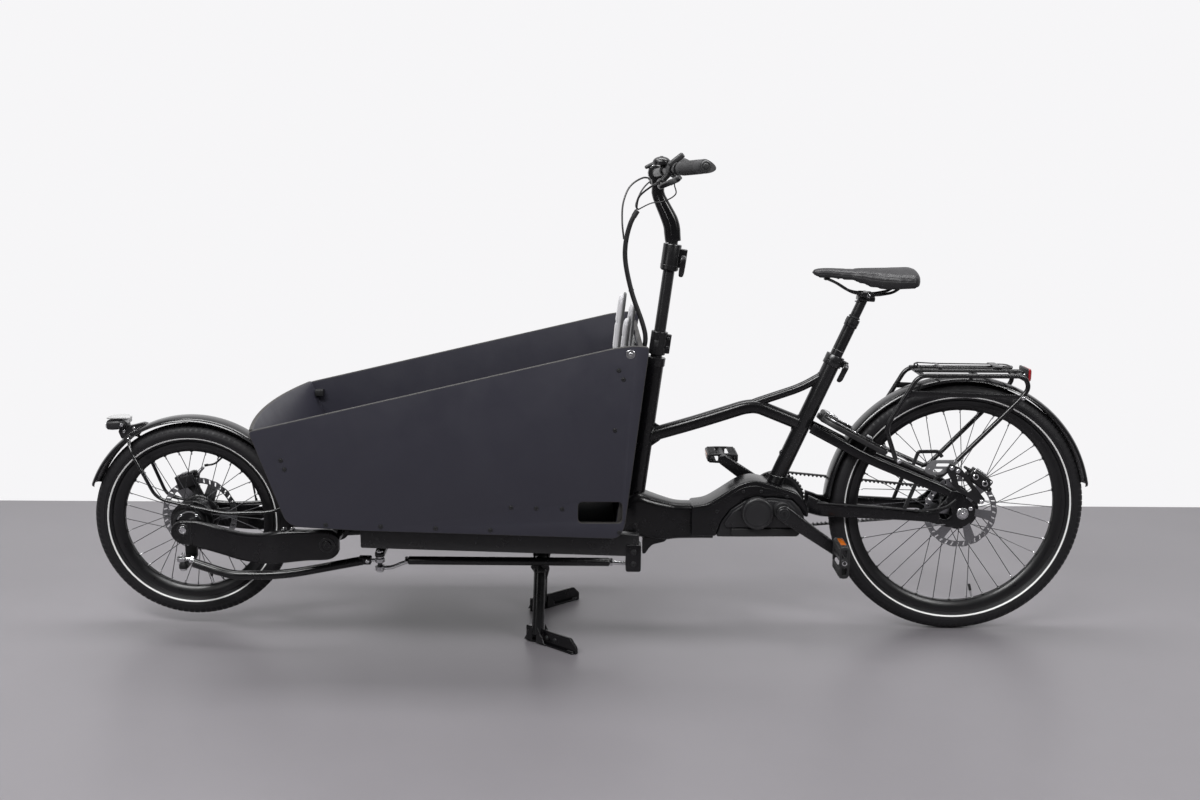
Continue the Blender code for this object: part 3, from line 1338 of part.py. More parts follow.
def linkage(column):
    """Idler arm and the two steering rods below the deck."""
    idler_axis = Vector((IDLER_X, 0, 0.235))
    idler = joint("idler_joint", idler_axis)
    plate_low, plate_high = 0.2305, 0.2405
    base = Vector((IDLER_X, 0, 0))
    arm = solid("idler_arm", arm_plate(base, plate_low, plate_high, STEER_ARM, 0.0160, 0.0125),
                "satin_black",
                idler_axis, idler)
    stud_at = base + STEER_ARM
    fuse(arm, rod(stud_at + Vector((0, 0, 0.188)), stud_at + Vector((0, 0, 0.236)), STUD_RADIUS, 10))
    carve(arm, rod((IDLER_X, 0, 0.20), (IDLER_X, 0, 0.26), flats(0.0055 + GAP, 12), 12))
    rear_joint = joint("rear_link_joint", stud_at + Vector((0, 0, 0.200)), idler)
    pitman = steer_point(0.2155)
    far_end = Vector((pitman.x + STEER_ARM.x, STEER_ARM.y, 0.2155))
    near_end = stud_at + Vector((0, 0, 0.200))
    link = sweep(bend([near_end + Vector((0.009, 0, 0)), near_end + Vector((0.030, 0, 0.001)),
                       near_end + Vector((0.075, 0, 0.020)), far_end + Vector((-0.060, 0, 0.003)),
                       far_end + Vector((-0.028, 0, 0)), far_end + Vector((-0.009, 0, 0))], 0.02, 2),
                 circle(ROD_RADIUS * 0.5, 8))
    item = solid("rear_link", link, "satin_black", near_end, rear_joint)
    tube = rod(near_end + Vector((0.071, 0, 0.020)), far_end + Vector((-0.056, 0, 0.003)), ROD_RADIUS, 10)
    fuse(item, tube, rod_eye(near_end, 0.0055), rod_eye(far_end, 0.0055))
    carve(item, eye_bore(near_end), eye_bore(far_end))
    drag(stud_at, idler)


def drag(stud_at, idler):
    """Rod end on the idler and the drag link, which pitches with the swing arm."""
    rear_end = stud_at + Vector((0, 0, 0.2205))
    front_end = FRONT_AXLE + STEER_ARM - Vector((DRAG_EYE_LEAD, 0, 0))
    front_end.z = 0.2205
    turn_joint = joint("drag_end_joint", rear_end, idler)
    neck = rear_end + Vector((-0.030, 0, 0))
    end = rod(rear_end + Vector((-0.010, 0, 0)), neck + Vector((0.004, 0, 0)), 0.0042, 8)
    item = solid("drag_link_end", end, "steel", rear_end, turn_joint)
    fuse(item, rod_eye(rear_end, 0.0055), spindle(neck, [(0.0085, -0.0045), (0.0085, 0.0045)], 12))
    carve(item, eye_bore(rear_end), spindle(neck, [(0.0034, -0.02), (0.0034, 0.02)], 8))
    pitch = joint("drag_link_joint", neck, turn_joint)
    y = rear_end.y
    front_stop = front_end + Vector((0.034, 0, -0.0115))
    points = [neck + Vector((-0.002, 0, 0)), neck + Vector((-0.020, -0.003, -0.002)),
              behind_point(0.262, y - 0.028, 0.188), behind_point(0.139, y - 0.026, 0.187),
              behind_point(0.092, y - 0.010, 0.194), front_stop]
    tube = sweep(bend(points, 0.05, 2), circle(DRAG_RADIUS, 10))
    body = solid("drag_link", tube, "frame_black", neck, pitch)
    shank = sweep([front_end + Vector((0.009, 0, 0)), front_end + Vector((0.021, 0, -0.0004)),
                   front_stop + Vector((0.003, 0, -0.0005))], circle(0.0050, 8))
    fuse(body, shank, rod_eye(front_end, 0.0055), spindle(neck, [(0.0110, -0.0115), (0.0110, 0.0115)], 12))
    carve(body, fork_room(neck), eye_bore(front_end))
    fuse(body, spindle(neck, [(0.0030, -0.0110), (0.0030, 0.0110)], 8))


def eye_bore(centre):
    """Cutter that clears a rod eye's bore."""
    return spindle(centre, [(flats(ROD_EYE_BORE, 12), -0.03), (flats(ROD_EYE_BORE, 12), 0.03)], 12,
                   (0, 0, 1))


def fork_room(centre):
    """Slot in the fork for the rod end's tongue."""
    return box(centre + Vector((-0.0115, -0.0048, -0.030)), centre + Vector((0.030, 0.0048, 0.030)))


def behind_point(distance, y, height):
    """Point given by its distance behind the front axle."""
    return Vector((behind(distance), y, height))


# Front end

def swing_arm():
    arm_joint = joint("swing_joint", SWING_PIVOT)
    rows = [(-0.030, 0.0925, 0.1075, 0.266, 0.296), (-0.018, 0.0925, 0.1075, 0.256, 0.306),
            (0.0, 0.0925, 0.1080, 0.250, 0.312), (0.044, 0.0935, 0.1110, 0.240, 0.310),
            (0.100, 0.1060, 0.1260, 0.229, 0.300), (0.154, 0.1280, 0.1500, 0.2215, 0.294),
            (0.214, 0.1550, 0.1780, 0.222, 0.298), (0.264, 0.1650, 0.1900, 0.226, 0.309),
            (0.330, 0.1650, 0.1900, 0.233, 0.312), (0.384, 0.1650, 0.1900, 0.236, 0.312),
            (0.412, 0.1650, 0.1900, 0.252, 0.300)]
    item = None
    for side in (-1, 1):
        arm = bar_rings([(behind(x), side * y0, side * y1, z0, z1) for x, y0, y1, z0, z1 in rows])
        if item is None:
            item = solid("swing_arm", arm, "frame_black", SWING_PIVOT, arm_joint)
        else:
            fuse(item, arm)
    fuse(item, spindle(SWING_PIVOT, [(PIVOT_TUBE_RADIUS, -PIVOT_HALF), (PIVOT_TUBE_RADIUS, PIVOT_HALF)]))
    tip = ARM_TIP_Y - 0.0004
    stations = [(0.0155, -tip), (0.0155, -tip + 0.003), (CROSS_AXLE_RADIUS, -tip + 0.003),
                (CROSS_AXLE_RADIUS, tip - 0.003), (0.0155, tip - 0.003), (0.0155, tip)]
    cross = solid("front_axle", spindle(FRONT_AXLE, stations, 12), "steel", FRONT_AXLE, arm_joint)
    pin = KNUCKLE_RADIUS - 0.003
    stations = [(KINGPIN_RADIUS, -pin), (KINGPIN_RADIUS, -0.0102), (0.0155, -0.0102),
                (0.0155, 0.0102), (KINGPIN_RADIUS, 0.0102), (KINGPIN_RADIUS, pin)]
    fuse(cross, spindle(FRONT_AXLE, stations, 14, (0, 0, 1)))
    return arm_joint


def knuckle(parent):
    king = joint("kingpin_joint", FRONT_AXLE, parent)
    half = KNUCKLE_HALF
    body = spindle(FRONT_AXLE, [(KNUCKLE_RADIUS, -half), (KNUCKLE_RADIUS, half)], 20)
    item = solid("knuckle", body, "dark_alloy", FRONT_AXLE, king)
    arm_low = FRONT_AXLE.z - KNUCKLE_ARM_DROP
    block = box(FRONT_AXLE + Vector((-0.014, -half, 0.004 - KNUCKLE_ARM_DROP)),
                FRONT_AXLE + Vector((0.016, -half + 0.0125, -0.026)))
    arm_start = Vector((FRONT_AXLE.x, 0, 0)) + Vector((0.001, -half + 0.004, 0))
    reach = STEER_ARM - Vector((0.001, -half + 0.004, 0))
    arm = arm_plate(arm_start, arm_low, arm_low + 0.010, reach, 0.0140, 0.0115)
    ball = FRONT_AXLE + STEER_ARM
    stud = rod(Vector((ball.x, ball.y, arm_low + 0.003)), Vector((ball.x, ball.y, 0.2360)), STUD_RADIUS, 10)
    ear = slab_between([fore(-0.014, FRONT_AXLE.z + 0.034), fore(-0.010, FRONT_AXLE.z + 0.060),
                        fore(0.010, FRONT_AXLE.z + 0.060), fore(0.016,
                                                                FRONT_AXLE.z + 0.034)], -half, -half + 0.0060)
    bracket = slab_between([fore(0.018, FRONT_AXLE.z + 0.030), fore(0.012, FRONT_AXLE.z + 0.052),
                            fore(-0.008, FRONT_AXLE.z + 0.092), fore(-0.052, FRONT_AXLE.z + 0.088),
                            fore(-0.056, FRONT_AXLE.z + 0.066), fore(-0.030, FRONT_AXLE.z + 0.020)],
                           half - 0.0050, half)
    fuse(item, block, arm, stud, ear, bracket)
    half_slot = CROSS_AXLE_RADIUS + 0.0018
    spread = math.tan(math.radians(STEER_MAX))
    mouth = CROSS_AXLE_RADIUS / math.cos(math.radians(STEER_MAX)) + 0.0012 + spread * (half + 0.004)
    waist = 0.0175
    outline = [(-mouth, -half - 0.004), (mouth, -half - 0.004), (waist + 0.0025, -waist),
               (waist + 0.0025, waist),
               (mouth, half + 0.004), (-mouth, half + 0.004), (-waist - 0.0025, waist), (-waist - 0.0025,
                                                                                         -waist)]
    slot = plate([outline], -half_slot, half_slot, lambda a, b, level: FRONT_AXLE + Vector((a, b, level)))
    wide = flats(KINGPIN_RADIUS + GAP, 14)
    pin = spindle(FRONT_AXLE, [(wide, -0.0375), (wide, 0.0375)], 14, (0, 0, 1))
    carve(item, slot, pin)
    return king


def fender_shell(centre, radius, half, start, end, segments):
    """Crowned mudguard shell between two angles, in degrees."""
    t = FENDER_THICKNESS
    outer = [(radius - 0.012, half), (radius - 0.004, half * 0.82), (radius, half * 0.33)]
    inner = [(radius - 0.0125, half - t), (radius - 0.004 - t, half * 0.78), (radius - t, half * 0.32)]
    profile = [(r, -y) for r, y in outer] + outer[::-1] + inner + [(r, -y) for r, y in inner[::-1]]
    return turned(centre, profile, segments, "y", math.radians(start), math.radians(end - start))


def front_fender(king):
    radius = FRONT_TYRE_RADIUS + FENDER_GAP_FRONT + FENDER_THICKNESS
    shell = fender_shell(FRONT_AXLE, radius, FENDER_HALF, 9.0, 160.0, 24)
    item = solid("front_fender", shell, "satin_black", FRONT_AXLE, king)
    out = KNUCKLE_HALF + STAY_WIRE + GAP
    edge = FENDER_HALF - 0.0028
    ends = []
    for degrees in (124.3, 10.5):
        angle = math.radians(degrees)
        ends.append(FRONT_AXLE + Vector((math.cos(angle), 0, math.sin(angle))) * (radius - 0.0095))
    near = [fore(-0.140, 0.482, -out), fore(-0.086, 0.366, -out), fore(-0.058, 0.350, -out),
            fore(0.0, 0.338, -out), fore(0.093, 0.318, -out), fore(0.215, 0.3225, -out)]
    far = [fore(-0.146, 0.482, out), fore(-0.104, 0.372, out), fore(-0.086, 0.328, out),
           fore(0.0, 0.319, out), fore(0.093, 0.316, out), fore(0.215, 0.3225, out)]
    for side, points in ((-1, near), (1, far)):
        first, last = (Vector((end.x, side * edge, end.z)) for end in ends)
        fuse(item, sweep(bend([first] + points + [last], 0.012, 1), circle(STAY_WIRE, 6)))
    lamp = solid("headlight", headlight(), "satin_black", FRONT_AXLE, king)
    foot = slab_between([fore(-0.178, 0.536), fore(-0.150, 0.540), fore(-0.106, 0.550), fore(-0.104, 0.530),
                         fore(-0.150, 0.500), fore(-0.178, 0.505)], -0.0085, 0.0085)
    wide = flats(radius + GAP, 48)
    fuse(lamp, foot)
    carve(lamp, spindle(FRONT_AXLE, [(wide, -0.05), (wide, 0.05)], 48))


def headlight():
    """Lamp body with its hood and the bracket down to the mudguard."""
    bm = bmesh.new()
    rings = []
    centre = fore(-0.180, 0.546)
    for x, tall, wide, lift in ((-0.034, 0.026, 0.040, 0.000), (-0.030, 0.032, 0.048, 0.000),
                                (-0.006, 0.034, 0.050, 0.001),
                                (0.016, 0.026, 0.036, 0.002), (0.026, 0.014, 0.020, 0.003)):
        rings.append([centre + Vector((x, a, b + lift)) for a, b in slab(wide, tall, 0.3)])
    add_rings(bm, rings)
    return bm


def front_brake(king):
    angle = math.atan2(0.089, -0.031)
    rotation = Matrix.Rotation(-(angle - math.pi / 2), 3, "Y")
    centre = FRONT_AXLE + Vector((-0.031, 0, 0.090))
    outer = turned_block(centre + Vector((0, 0.0585, 0)), (0.066, 0.0115, 0.040), rotation)
    item = solid("front_caliper", outer, "dark_alloy", FRONT_AXLE, king)
    inner = turned_block(centre + Vector((0, 0.0375, 0)), (0.050, 0.0065, 0.034), rotation)
    lift = rotation @ Vector((0, 0, 1))
    bridge = turned_block(centre + Vector((0, 0.0490, 0)) + lift * 0.018, (0.046, 0.030, 0.0075), rotation)
    port = rod(centre + Vector((0.020, 0.060, 0.012)), centre + Vector((0.040, 0.064, 0.034)), 0.005, 10)
    fuse(item, inner, bridge, port)
    start = centre + Vector((0.0435, 0.0645, 0.0380))
    cord("front_brake_hose", [start, fore(0.036, 0.420, 0.0750), fore(0.062, 0.438, 0.084),
                              fore(0.094, 0.428, 0.100),
                              fore(0.116, 0.392, 0.116), fore(0.1235, 0.345, 0.126), fore(0.1290, 0.3005,
                                                                                          0.1300)],
         0.0026, "rubber", 0.011, king)


# Rear end

def motor():
    lower = [at(0.405, BRACKET_HEIGHT - 0.047), at(0.420, BRACKET_HEIGHT - 0.073),
             at(0.590, BRACKET_HEIGHT - 0.075)]
    outline = motor_top() + lower
    item = solid("motor", slab_between(outline, -0.060, 0.0355), "motor")
    cap = at(0.530, BRACKET_HEIGHT - 0.007)
    boss = spindle(cap, [(0.038, -0.078), (0.042, -0.074), (0.042, -0.055)], 24)
    seat_ring = spindle(CRANK_AXLE, [(0.021, -0.073), (0.025, -0.055)], 18)
    far = spindle(CRANK_AXLE, [(0.024, 0.030), (0.022, BELT_Y - BELT_WIDTH / 2 - 0.001)], 18)
    fuse(item, boss, seat_ring, far)
    wide = flats(SPINDLE_RADIUS + GAP)
    carve(item, spindle(CRANK_AXLE, [(wide, -0.2), (wide, 0.2)]))


def rear_fender():
    radius = REAR_TYRE_RADIUS + FENDER_GAP_REAR
    shell = fender_shell(REAR_AXLE, radius, 0.031, 10.3, 176.0, 28)
    return solid("rear_fender", shell, "satin_black", REAR_AXLE)


def rack():
    r = 0.006
    y = 0.066
    item = None
    for side in (-1, 1):
        points = [Vector((p.x, side * y, p.z)) for p in
                  (at(0.178, 0.474), at(0.208, 0.558), at(0.130, 0.694), at(-0.140, 0.694),
                   at(-0.154, 0.664),
                   at(-0.132, 0.634), at(0.058, 0.433), at(0.078, 0.428))]
        tube = sweep(bend(points, 0.022, 2), circle(r, 6))
        leg = rod(Vector((ahead(0.178), side * y, 0.476)), Vector((ahead(0.074), side * y, 0.430)),
                  r * 0.98, 6)
        plate_side = slab_between([at(0.165, 0.648), at(0.155, 0.655), at(-0.140, 0.645), at(-0.143, 0.636),
                                   at(0.155, 0.640)], *sorted((side * (y - 0.002), side * (y + 0.002))))
        if item is None:
            item = solid("rack", tube, "satin_black")
        else:
            fuse(item, tube)
        fuse(item, leg, plate_side)
    for d in (0.118, -0.020, -0.130):
        fuse(item, rod(at(d, 0.694, -y), at(d, 0.694, y), 0.0055, 6, (0, 0, 1)))
    for side in (-1, 1):
        fuse(item, rod(at(0.130, 0.7015, side * 0.030), at(-0.135, 0.7015, side * 0.030), 0.0050, 6))
    return item


def rear_light():
    light = turned_block(at(-0.163, 0.690), (0.016, 0.060, 0.036), tilt_y(0))
    return solid("rear_light", light, "red")


def ring_lock():
    """Horseshoe lock lying on the seat stays, around the tyre and mudguard."""
    start, end = at(0.205, 0.4785), at(0.377, 0.568)
    along = (end - start).normalized()
    up = Vector((along.z, 0, -along.x))
    up = up if up.z > 0 else -up
    length = (end - start).length
    outer, inner = 0.058, 0.040
    neck = length - outer
    outline = [(0.0, -outer)] + [(neck + outer * math.sin(a), -outer * math.cos(a))
                                 for a in [math.pi * k / 8 for k in range(9)]] + [(0.0, outer),
                                                                                  (0.0, inner)]
    outline += [(neck - 0.006 + inner * math.sin(a), inner * math.cos(a))
                for a in [math.pi * k / 8 for k in range(9)]] + [(0.0, -inner)]
    base = start + up * 0.0035
    body = plate([outline], 0.0, 0.018, lambda a, b,
                 level: base + along * a + Vector((0, b, 0)) + up * level)
    item = solid("ring_lock", body, "satin_black")
    place = base + along * 0.060 + Vector((0, -0.0495, 0)) + up * (0.018 + GAP)
    slide = joint("ring_lock_joint", place)
    knob = plate([rectangle(-0.010, 0.010, -0.0060, 0.0060)], 0.0, 0.009,
                 lambda a, b, level: place + along * a + Vector((0, b, 0)) + up * level)
    solid("ring_lock_lever", knob, "steel", place, slide)
    return item


def rear_brake():
    """Caliper with its bracket, on the left stay."""
    y_face = -(DROPOUT_Y + DROPOUT_THICKNESS + GAP)
    bracket = slab_between([at(0.042, 0.468), at(0.012, 0.456), at(-0.030, 0.404), at(-0.056, 0.372),
                            at(-0.040, 0.360), at(-0.012, 0.378), at(0.020, 0.398), at(0.050, 0.450)],
                           y_face - 0.005, y_face)
    item = solid("rear_caliper", bracket, "satin_black")
    centre = Vector((ahead(-0.040), 0, 0.424))
    rotation = tilt_y(125)
    outer = turned_block(centre + Vector((0, -0.0665, 0)), (0.034, 0.021, 0.074), rotation)
    inner = turned_block(centre + Vector((0, -0.0440, 0)), (0.028, 0.009, 0.050), rotation)
    bridge = turned_block(centre + rotation @ Vector((-0.0135, -0.054, 0)), (0.007, 0.030, 0.050), rotation)
    fuse(item, outer, inner, bridge)
    return item


# Seat

def seat():
    foot = joint("seatpost_joint", seat_point(SEAT_TUBE_TOP))
    tube = rod(seat_point(0.530), seat_point(POST_TOP), POST_RADIUS, ROUND)
    outer = solid("seatpost_outer", tube, "dark_alloy", seat_point(SEAT_TUBE_TOP), foot)
    collar = rod(seat_point(POST_TOP - 0.020), seat_point(POST_TOP + 0.001), 0.0178, ROUND)
    fuse(outer, collar)
    carve(outer, rod(seat_point(0.640), seat_point(0.900), flats(INNER_POST_RADIUS + GAP, 16), 16))
    spring = joint("seat_spring_joint", seat_point(POST_TOP), foot)
    inner = rod(seat_point(0.690), seat_point(0.882), INNER_POST_RADIUS, 16)
    item = solid("seatpost_inner", inner, "satin_black", seat_point(POST_TOP), spring)
    head = seat_point(0.8860)
    block = turned_block(head + Vector((0.004, 0, 0)), (0.044, 0.034, 0.020), tilt_y(4))
    cross = rod(head + Vector((0.006, -0.026, 0.006)), head + Vector((0.006, 0.026, 0.006)), 0.009, 12,
                (1, 0, 0))
    tools = [block, cross]
    front_x, back_x = ahead(SADDLE_NOSE_AHEAD - 0.041), ahead(SADDLE_NOSE_AHEAD - 0.231)
    front_z = saddle_under(0.041 / SADDLE_LENGTH) - 0.0065
    back_z = saddle_under(0.231 / SADDLE_LENGTH) - 0.0075
    for side in (-1, 1):
        y = side * 0.0215
        points = [Vector((front_x, side * 0.006, front_z)), at(0.338, 0.923, side * 0.012),
                  at(0.300, 0.899, y),
                  at(0.240, 0.8925, y), at(0.194, 0.9010,
                                           side * 0.026), Vector((back_x, side * 0.030, back_z))]
        tools.append(sweep(bend(points, 0.012, 2), circle(0.0037, 6)))
    flat = Matrix.Identity(3)
    front = turned_block((front_x, 0, front_z), (0.014, 0.019, 0.0080), flat)
    back = turned_block((back_x, 0, back_z), (0.012, 0.070, 0.0090), flat)
    fuse(item, *tools, front, back)
    solid("saddle", saddle(), "saddle", seat_point(POST_TOP), spring)
    lever_at = seat_point(SEAT_TUBE_TOP - 0.0125) + tilt_y(SEAT_TILT) @ Vector((0.032, -0.0190, 0))
    hinge = joint("seat_lever_joint", lever_at)
    solid("seat_clamp_lever", lever_body(lever_at, tilt_y(SEAT_TILT), 0.046), "steel", lever_at, hinge)


SADDLE_STATIONS = (
    # share of length, half width, top, underside, crown drop at the edge
    (0.00, 0.0060, -0.0130, -0.0240, 0.0010),
    (0.03, 0.0155, -0.0060, -0.0300, 0.0040),
    (0.15, 0.0215, -0.0035, -0.0340, 0.0070),
    (0.35, 0.0290, -0.0040, -0.0400, 0.0090),
    (0.50, 0.0420, -0.0060, -0.0420, 0.0120),
    (0.65, 0.0610, -0.0060, -0.0440, 0.0150),
    (0.80, 0.0800, -0.0020, -0.0480, 0.0170),
    (0.92, 0.0860, 0.0000, -0.0520, 0.0180),
    (0.98, 0.0720, -0.0040, -0.0500, 0.0150),
    (1.00, 0.0440, -0.0160, -0.0420, 0.0080),
)


def saddle_under(share):
    """Height of the saddle's underside on its centre line."""
    for one, two in zip(SADDLE_STATIONS, SADDLE_STATIONS[1:]):
        if share <= two[0]:
            t = (share - one[0]) / (two[0] - one[0])
            top = one[2] + (two[2] - one[2]) * t
            low = one[3] + (two[3] - one[3]) * t
            return SADDLE_TOP + low + 0.25 * (top - low)
    return SADDLE_TOP


def saddle():
    """Crowned cushion with a hollow underside edge, nose forward."""
    bm = bmesh.new()
    rings = []
    scale = SADDLE_WIDTH / 0.172
    for share, half, top, under, drop in SADDLE_STATIONS:
        x = ahead(SADDLE_NOSE_AHEAD) + SADDLE_LENGTH * share
        half *= scale
        high = SADDLE_TOP + top
        low = SADDLE_TOP + under
        skirt = high - drop - 0.35 * (high - drop - low)
        ring = []
        for side in (-1, 1):
            half_ring = [(0.30, high - 0.12 * drop), (0.62, high - 0.45 * drop), (0.88, high - drop),
                         (1.00, skirt), (0.92, low), (0.50, low + 0.25 * (high - low))]
            half_ring = half_ring if side == 1 else half_ring[::-1]
            ring += [Vector((x, side * half * a, z)) for a, z in half_ring]
        rings.append(ring)
    add_rings(bm, rings)
    return bm


# Stand

def stand():
    hinge = joint("stand_joint", STAND_AXIS)
    half = Vector((0, 0.092, 0))
    item = solid("stand", rod(STAND_AXIS - half, STAND_AXIS + half, STAND_TUBE_RADIUS, 16, (1, 0, 0)),
                 "frame_black",
                 STAND_AXIS, hinge)
    for side in (-1, 1):
        leg = rod(Vector((STAND_AXIS.x, side * 0.078, STAND_AXIS.z)),
                  Vector((ahead(1.0967), side * 0.128, 0.020)), 0.0155, 14)
        back, front = Vector((ahead(0.995), side * 0.215, 0)), Vector((ahead(1.125), side * 0.100, 0))
        run = back - front
        across = Vector((-run.y, run.x, 0)).normalized()
        outline = [(0.0, 0.0), (run.length, 0.0), (run.length, 0.018), (run.length - 0.020, 0.038),
                   (0.0, 0.038)]
        along = run.normalized()
        foot = plate([outline], -0.004, 0.004,
                     lambda a, b, level, o=front, u=along, v=across: o + u * a + v * level + Vector((0, 0,
                                                                                                     b)))
        fuse(item, leg, foot)


# Cables

def cables():
    along = HEAD_TUBE_RADIUS + HEAD_TUBE_LIP + CABLE_RADIUS + CABLE_ROOM
    bundle = []
    for height, distance, y in ((1.146, 0.0649, -0.036), (1.122, 0.0938, -0.032), (1.066, 0.1165, -0.024),
                                (0.990, 0.1177, -0.012), (0.900, 0.0890, -0.006), (0.815, 0.0479, -0.002),
                                (0.775, along, 0.0), (0.738, along + 0.001, 0.0), (0.700, along, 0.0)):
        bundle.append(steer_point(height, y) - Vector((distance, 0, 0)))
    cord("control_cables", bundle, CABLE_RADIUS, "rubber", 0.017)


def main():
    clear_scene()
    frame_spine()
    frame_upper()
    frame_stay("frame_stay_left", -1)
    frame_stay("frame_stay_right", 1)
    frame_deck()
    box_body()
    motor()
    drive(None)
    rear_fender()
    rack()
    rear_light()
    ring_lock()
    rear_brake()
    seat()
    stand()
    cables()
    steering()
    arm = swing_arm()
    king = knuckle(arm)
    front_fender(king)
    front_brake(king)
    front_wheel(joint("front_wheel_joint", FRONT_AXLE, king))
    rear_wheel(joint("rear_wheel_joint", REAR_AXLE))


main()
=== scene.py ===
"""Dressed scene of a front-box electric cargo bike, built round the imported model.

Metres, Z up; the bike's front points to -X and its left side to -Y.
"""
import math

import bmesh
import bpy
from mathutils import Matrix, Vector


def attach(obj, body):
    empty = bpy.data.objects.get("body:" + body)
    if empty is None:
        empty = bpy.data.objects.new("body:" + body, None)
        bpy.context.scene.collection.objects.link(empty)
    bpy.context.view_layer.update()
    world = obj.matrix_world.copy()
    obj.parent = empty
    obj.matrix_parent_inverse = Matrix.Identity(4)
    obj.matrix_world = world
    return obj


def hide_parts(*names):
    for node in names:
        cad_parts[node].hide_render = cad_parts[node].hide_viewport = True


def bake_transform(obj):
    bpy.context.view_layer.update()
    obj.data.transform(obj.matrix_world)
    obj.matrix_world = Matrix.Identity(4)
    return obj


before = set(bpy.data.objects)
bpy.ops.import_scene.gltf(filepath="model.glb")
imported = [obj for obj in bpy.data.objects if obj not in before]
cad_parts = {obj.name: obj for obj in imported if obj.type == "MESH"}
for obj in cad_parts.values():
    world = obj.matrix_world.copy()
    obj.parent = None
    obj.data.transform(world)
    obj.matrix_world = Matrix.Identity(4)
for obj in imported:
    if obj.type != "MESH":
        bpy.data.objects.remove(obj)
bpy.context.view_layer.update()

REAR_X = 0.9604                    # x of the rear axle
WHEELBASE = 2.004
TYRE_WIDTH = 0.055
FRONT_BEAD, FRONT_RADIUS = 0.203, 0.258   # rim and tyre of the 20 inch wheel
REAR_BEAD, REAR_RADIUS = 0.2795, 0.3345   # rim and tyre of the 26 inch wheel
FRONT = Vector((REAR_X - WHEELBASE, 0, 0.289))  # the front axle; the stand holds its wheel off the ground
REAR = Vector((REAR_X, 0, REAR_RADIUS))   # the rear axle
PIVOT = Vector((FRONT.x + 0.384, 0, 0.275))     # the swing arm's pivot
CRANK = Vector((0.4949, 0, 0.337))        # the crank spindle
CRANK_DROP = math.radians(35.0)    # the left crank arm points this far below level
CRANK_ARM = Vector((math.cos(CRANK_DROP), 0.0, -math.sin(CRANK_DROP))) * 0.17
LINK_ARM = Vector((0.006, -0.135, 0.0))   # from a steering axis to its link's ball
STEER_TILT = math.radians(7.4)
SEAT_TILT = math.radians(23.6)
STEER_X, STEER_Z = 0.1484, 0.6     # a point of the steering axis
SEAT_AHEAD, SEAT_Z = 0.4815, 0.39  # a point of the seat tube's axis, ahead of the rear axle
DECK_X, DECK_Z = 0.1134, 0.3405    # a point of the deck ladder's top
DECK_SLOPE = 0.027                 # the deck rises this much in a metre towards the front
STEER_UP = Vector((math.sin(STEER_TILT), 0, math.cos(STEER_TILT)))
SEAT_UP = Vector((math.sin(SEAT_TILT), 0, math.cos(SEAT_TILT)))
HEAD_CLAMP_Z, HEIGHT_CLAMP_Z = 0.765, 0.985     # upper bearing clamp and height clamp of the column
SEAT_CLAMP_Z = 0.7225
WALL_Y = 1.24                      # where the floor meets the wall
STAGE_HALF = 9.0                   # half the stage's width
CAMERA_LENS = 39.4
CAMERA_TURN = (10.6, 0.47, 0.45)   # pitch, yaw and roll in degrees
CAMERA_PLACE = (-0.967 + REAR_X, -3.353, 1.241)
# Name, place, aim, size and power of each lamp
LAMPS = (("key", (-1.5, -2.7, 3.5), (-0.3, 0, 0.3), (3.2, 0.9), 210),
    ("side", (2.9, -2.5, 2.6), (0.5, 0, 0.5), (1.3, 0.9), 75),
    ("low", (-2.9, -2.7, 1.5), (-0.6, 0, 0.4), (1.0, 1.0), 8),
    ("top", (0.0, 0.35, 3.9), (0, 0, 0.3), (4.6, 0.9), 150))
WORLD_COLOUR = (0.96, 0.97, 1.0, 1)
WORLD_STRENGTH = 0.07
FLOOR_COLOUR = (0.158, 0.15, 0.161)
WALL_COLOUR = (0.86, 0.855, 0.87)
WALL_SEEN = (0.925, 0.92, 0.932, 1)
AXIS_Y = Vector((0, 1, 0))
AXIS_Z = Vector((0, 0, 1))


def at(ahead, z, y=0.0):
    """Point a distance ahead of the rear axle."""
    return Vector((REAR_X - ahead, y, z))


def fore(behind, z, y=0.0):
    """Point a distance behind the front axle."""
    return Vector((FRONT.x + behind, y, z))


def steer(z, y=0.0):
    """Point on the steering axis at a height."""
    return Vector((STEER_X + (z - STEER_Z) * math.tan(STEER_TILT), y, z))


def seat(z, y=0.0):
    """Point on the seat tube's axis at a height."""
    return Vector((REAR_X - SEAT_AHEAD + (z - SEAT_Z) * math.tan(SEAT_TILT), y, z))


def around(angle):
    """Direction at an angle in the side view."""
    return Vector((math.cos(angle), 0, math.sin(angle)))


def deck_top(x):
    """Height of the deck ladder's top at a place along the bike."""
    return DECK_Z + DECK_SLOPE * (DECK_X - x)


# Materials

def node(tree, kind, **values):
    """Shader node with its values set; constants go straight onto its sockets."""
    item = tree.nodes.new(kind)
    for key, value in values.items():
        if key in item.inputs:
            item.inputs[key].default_value = value
        else:
            setattr(item, key, value)
    return item


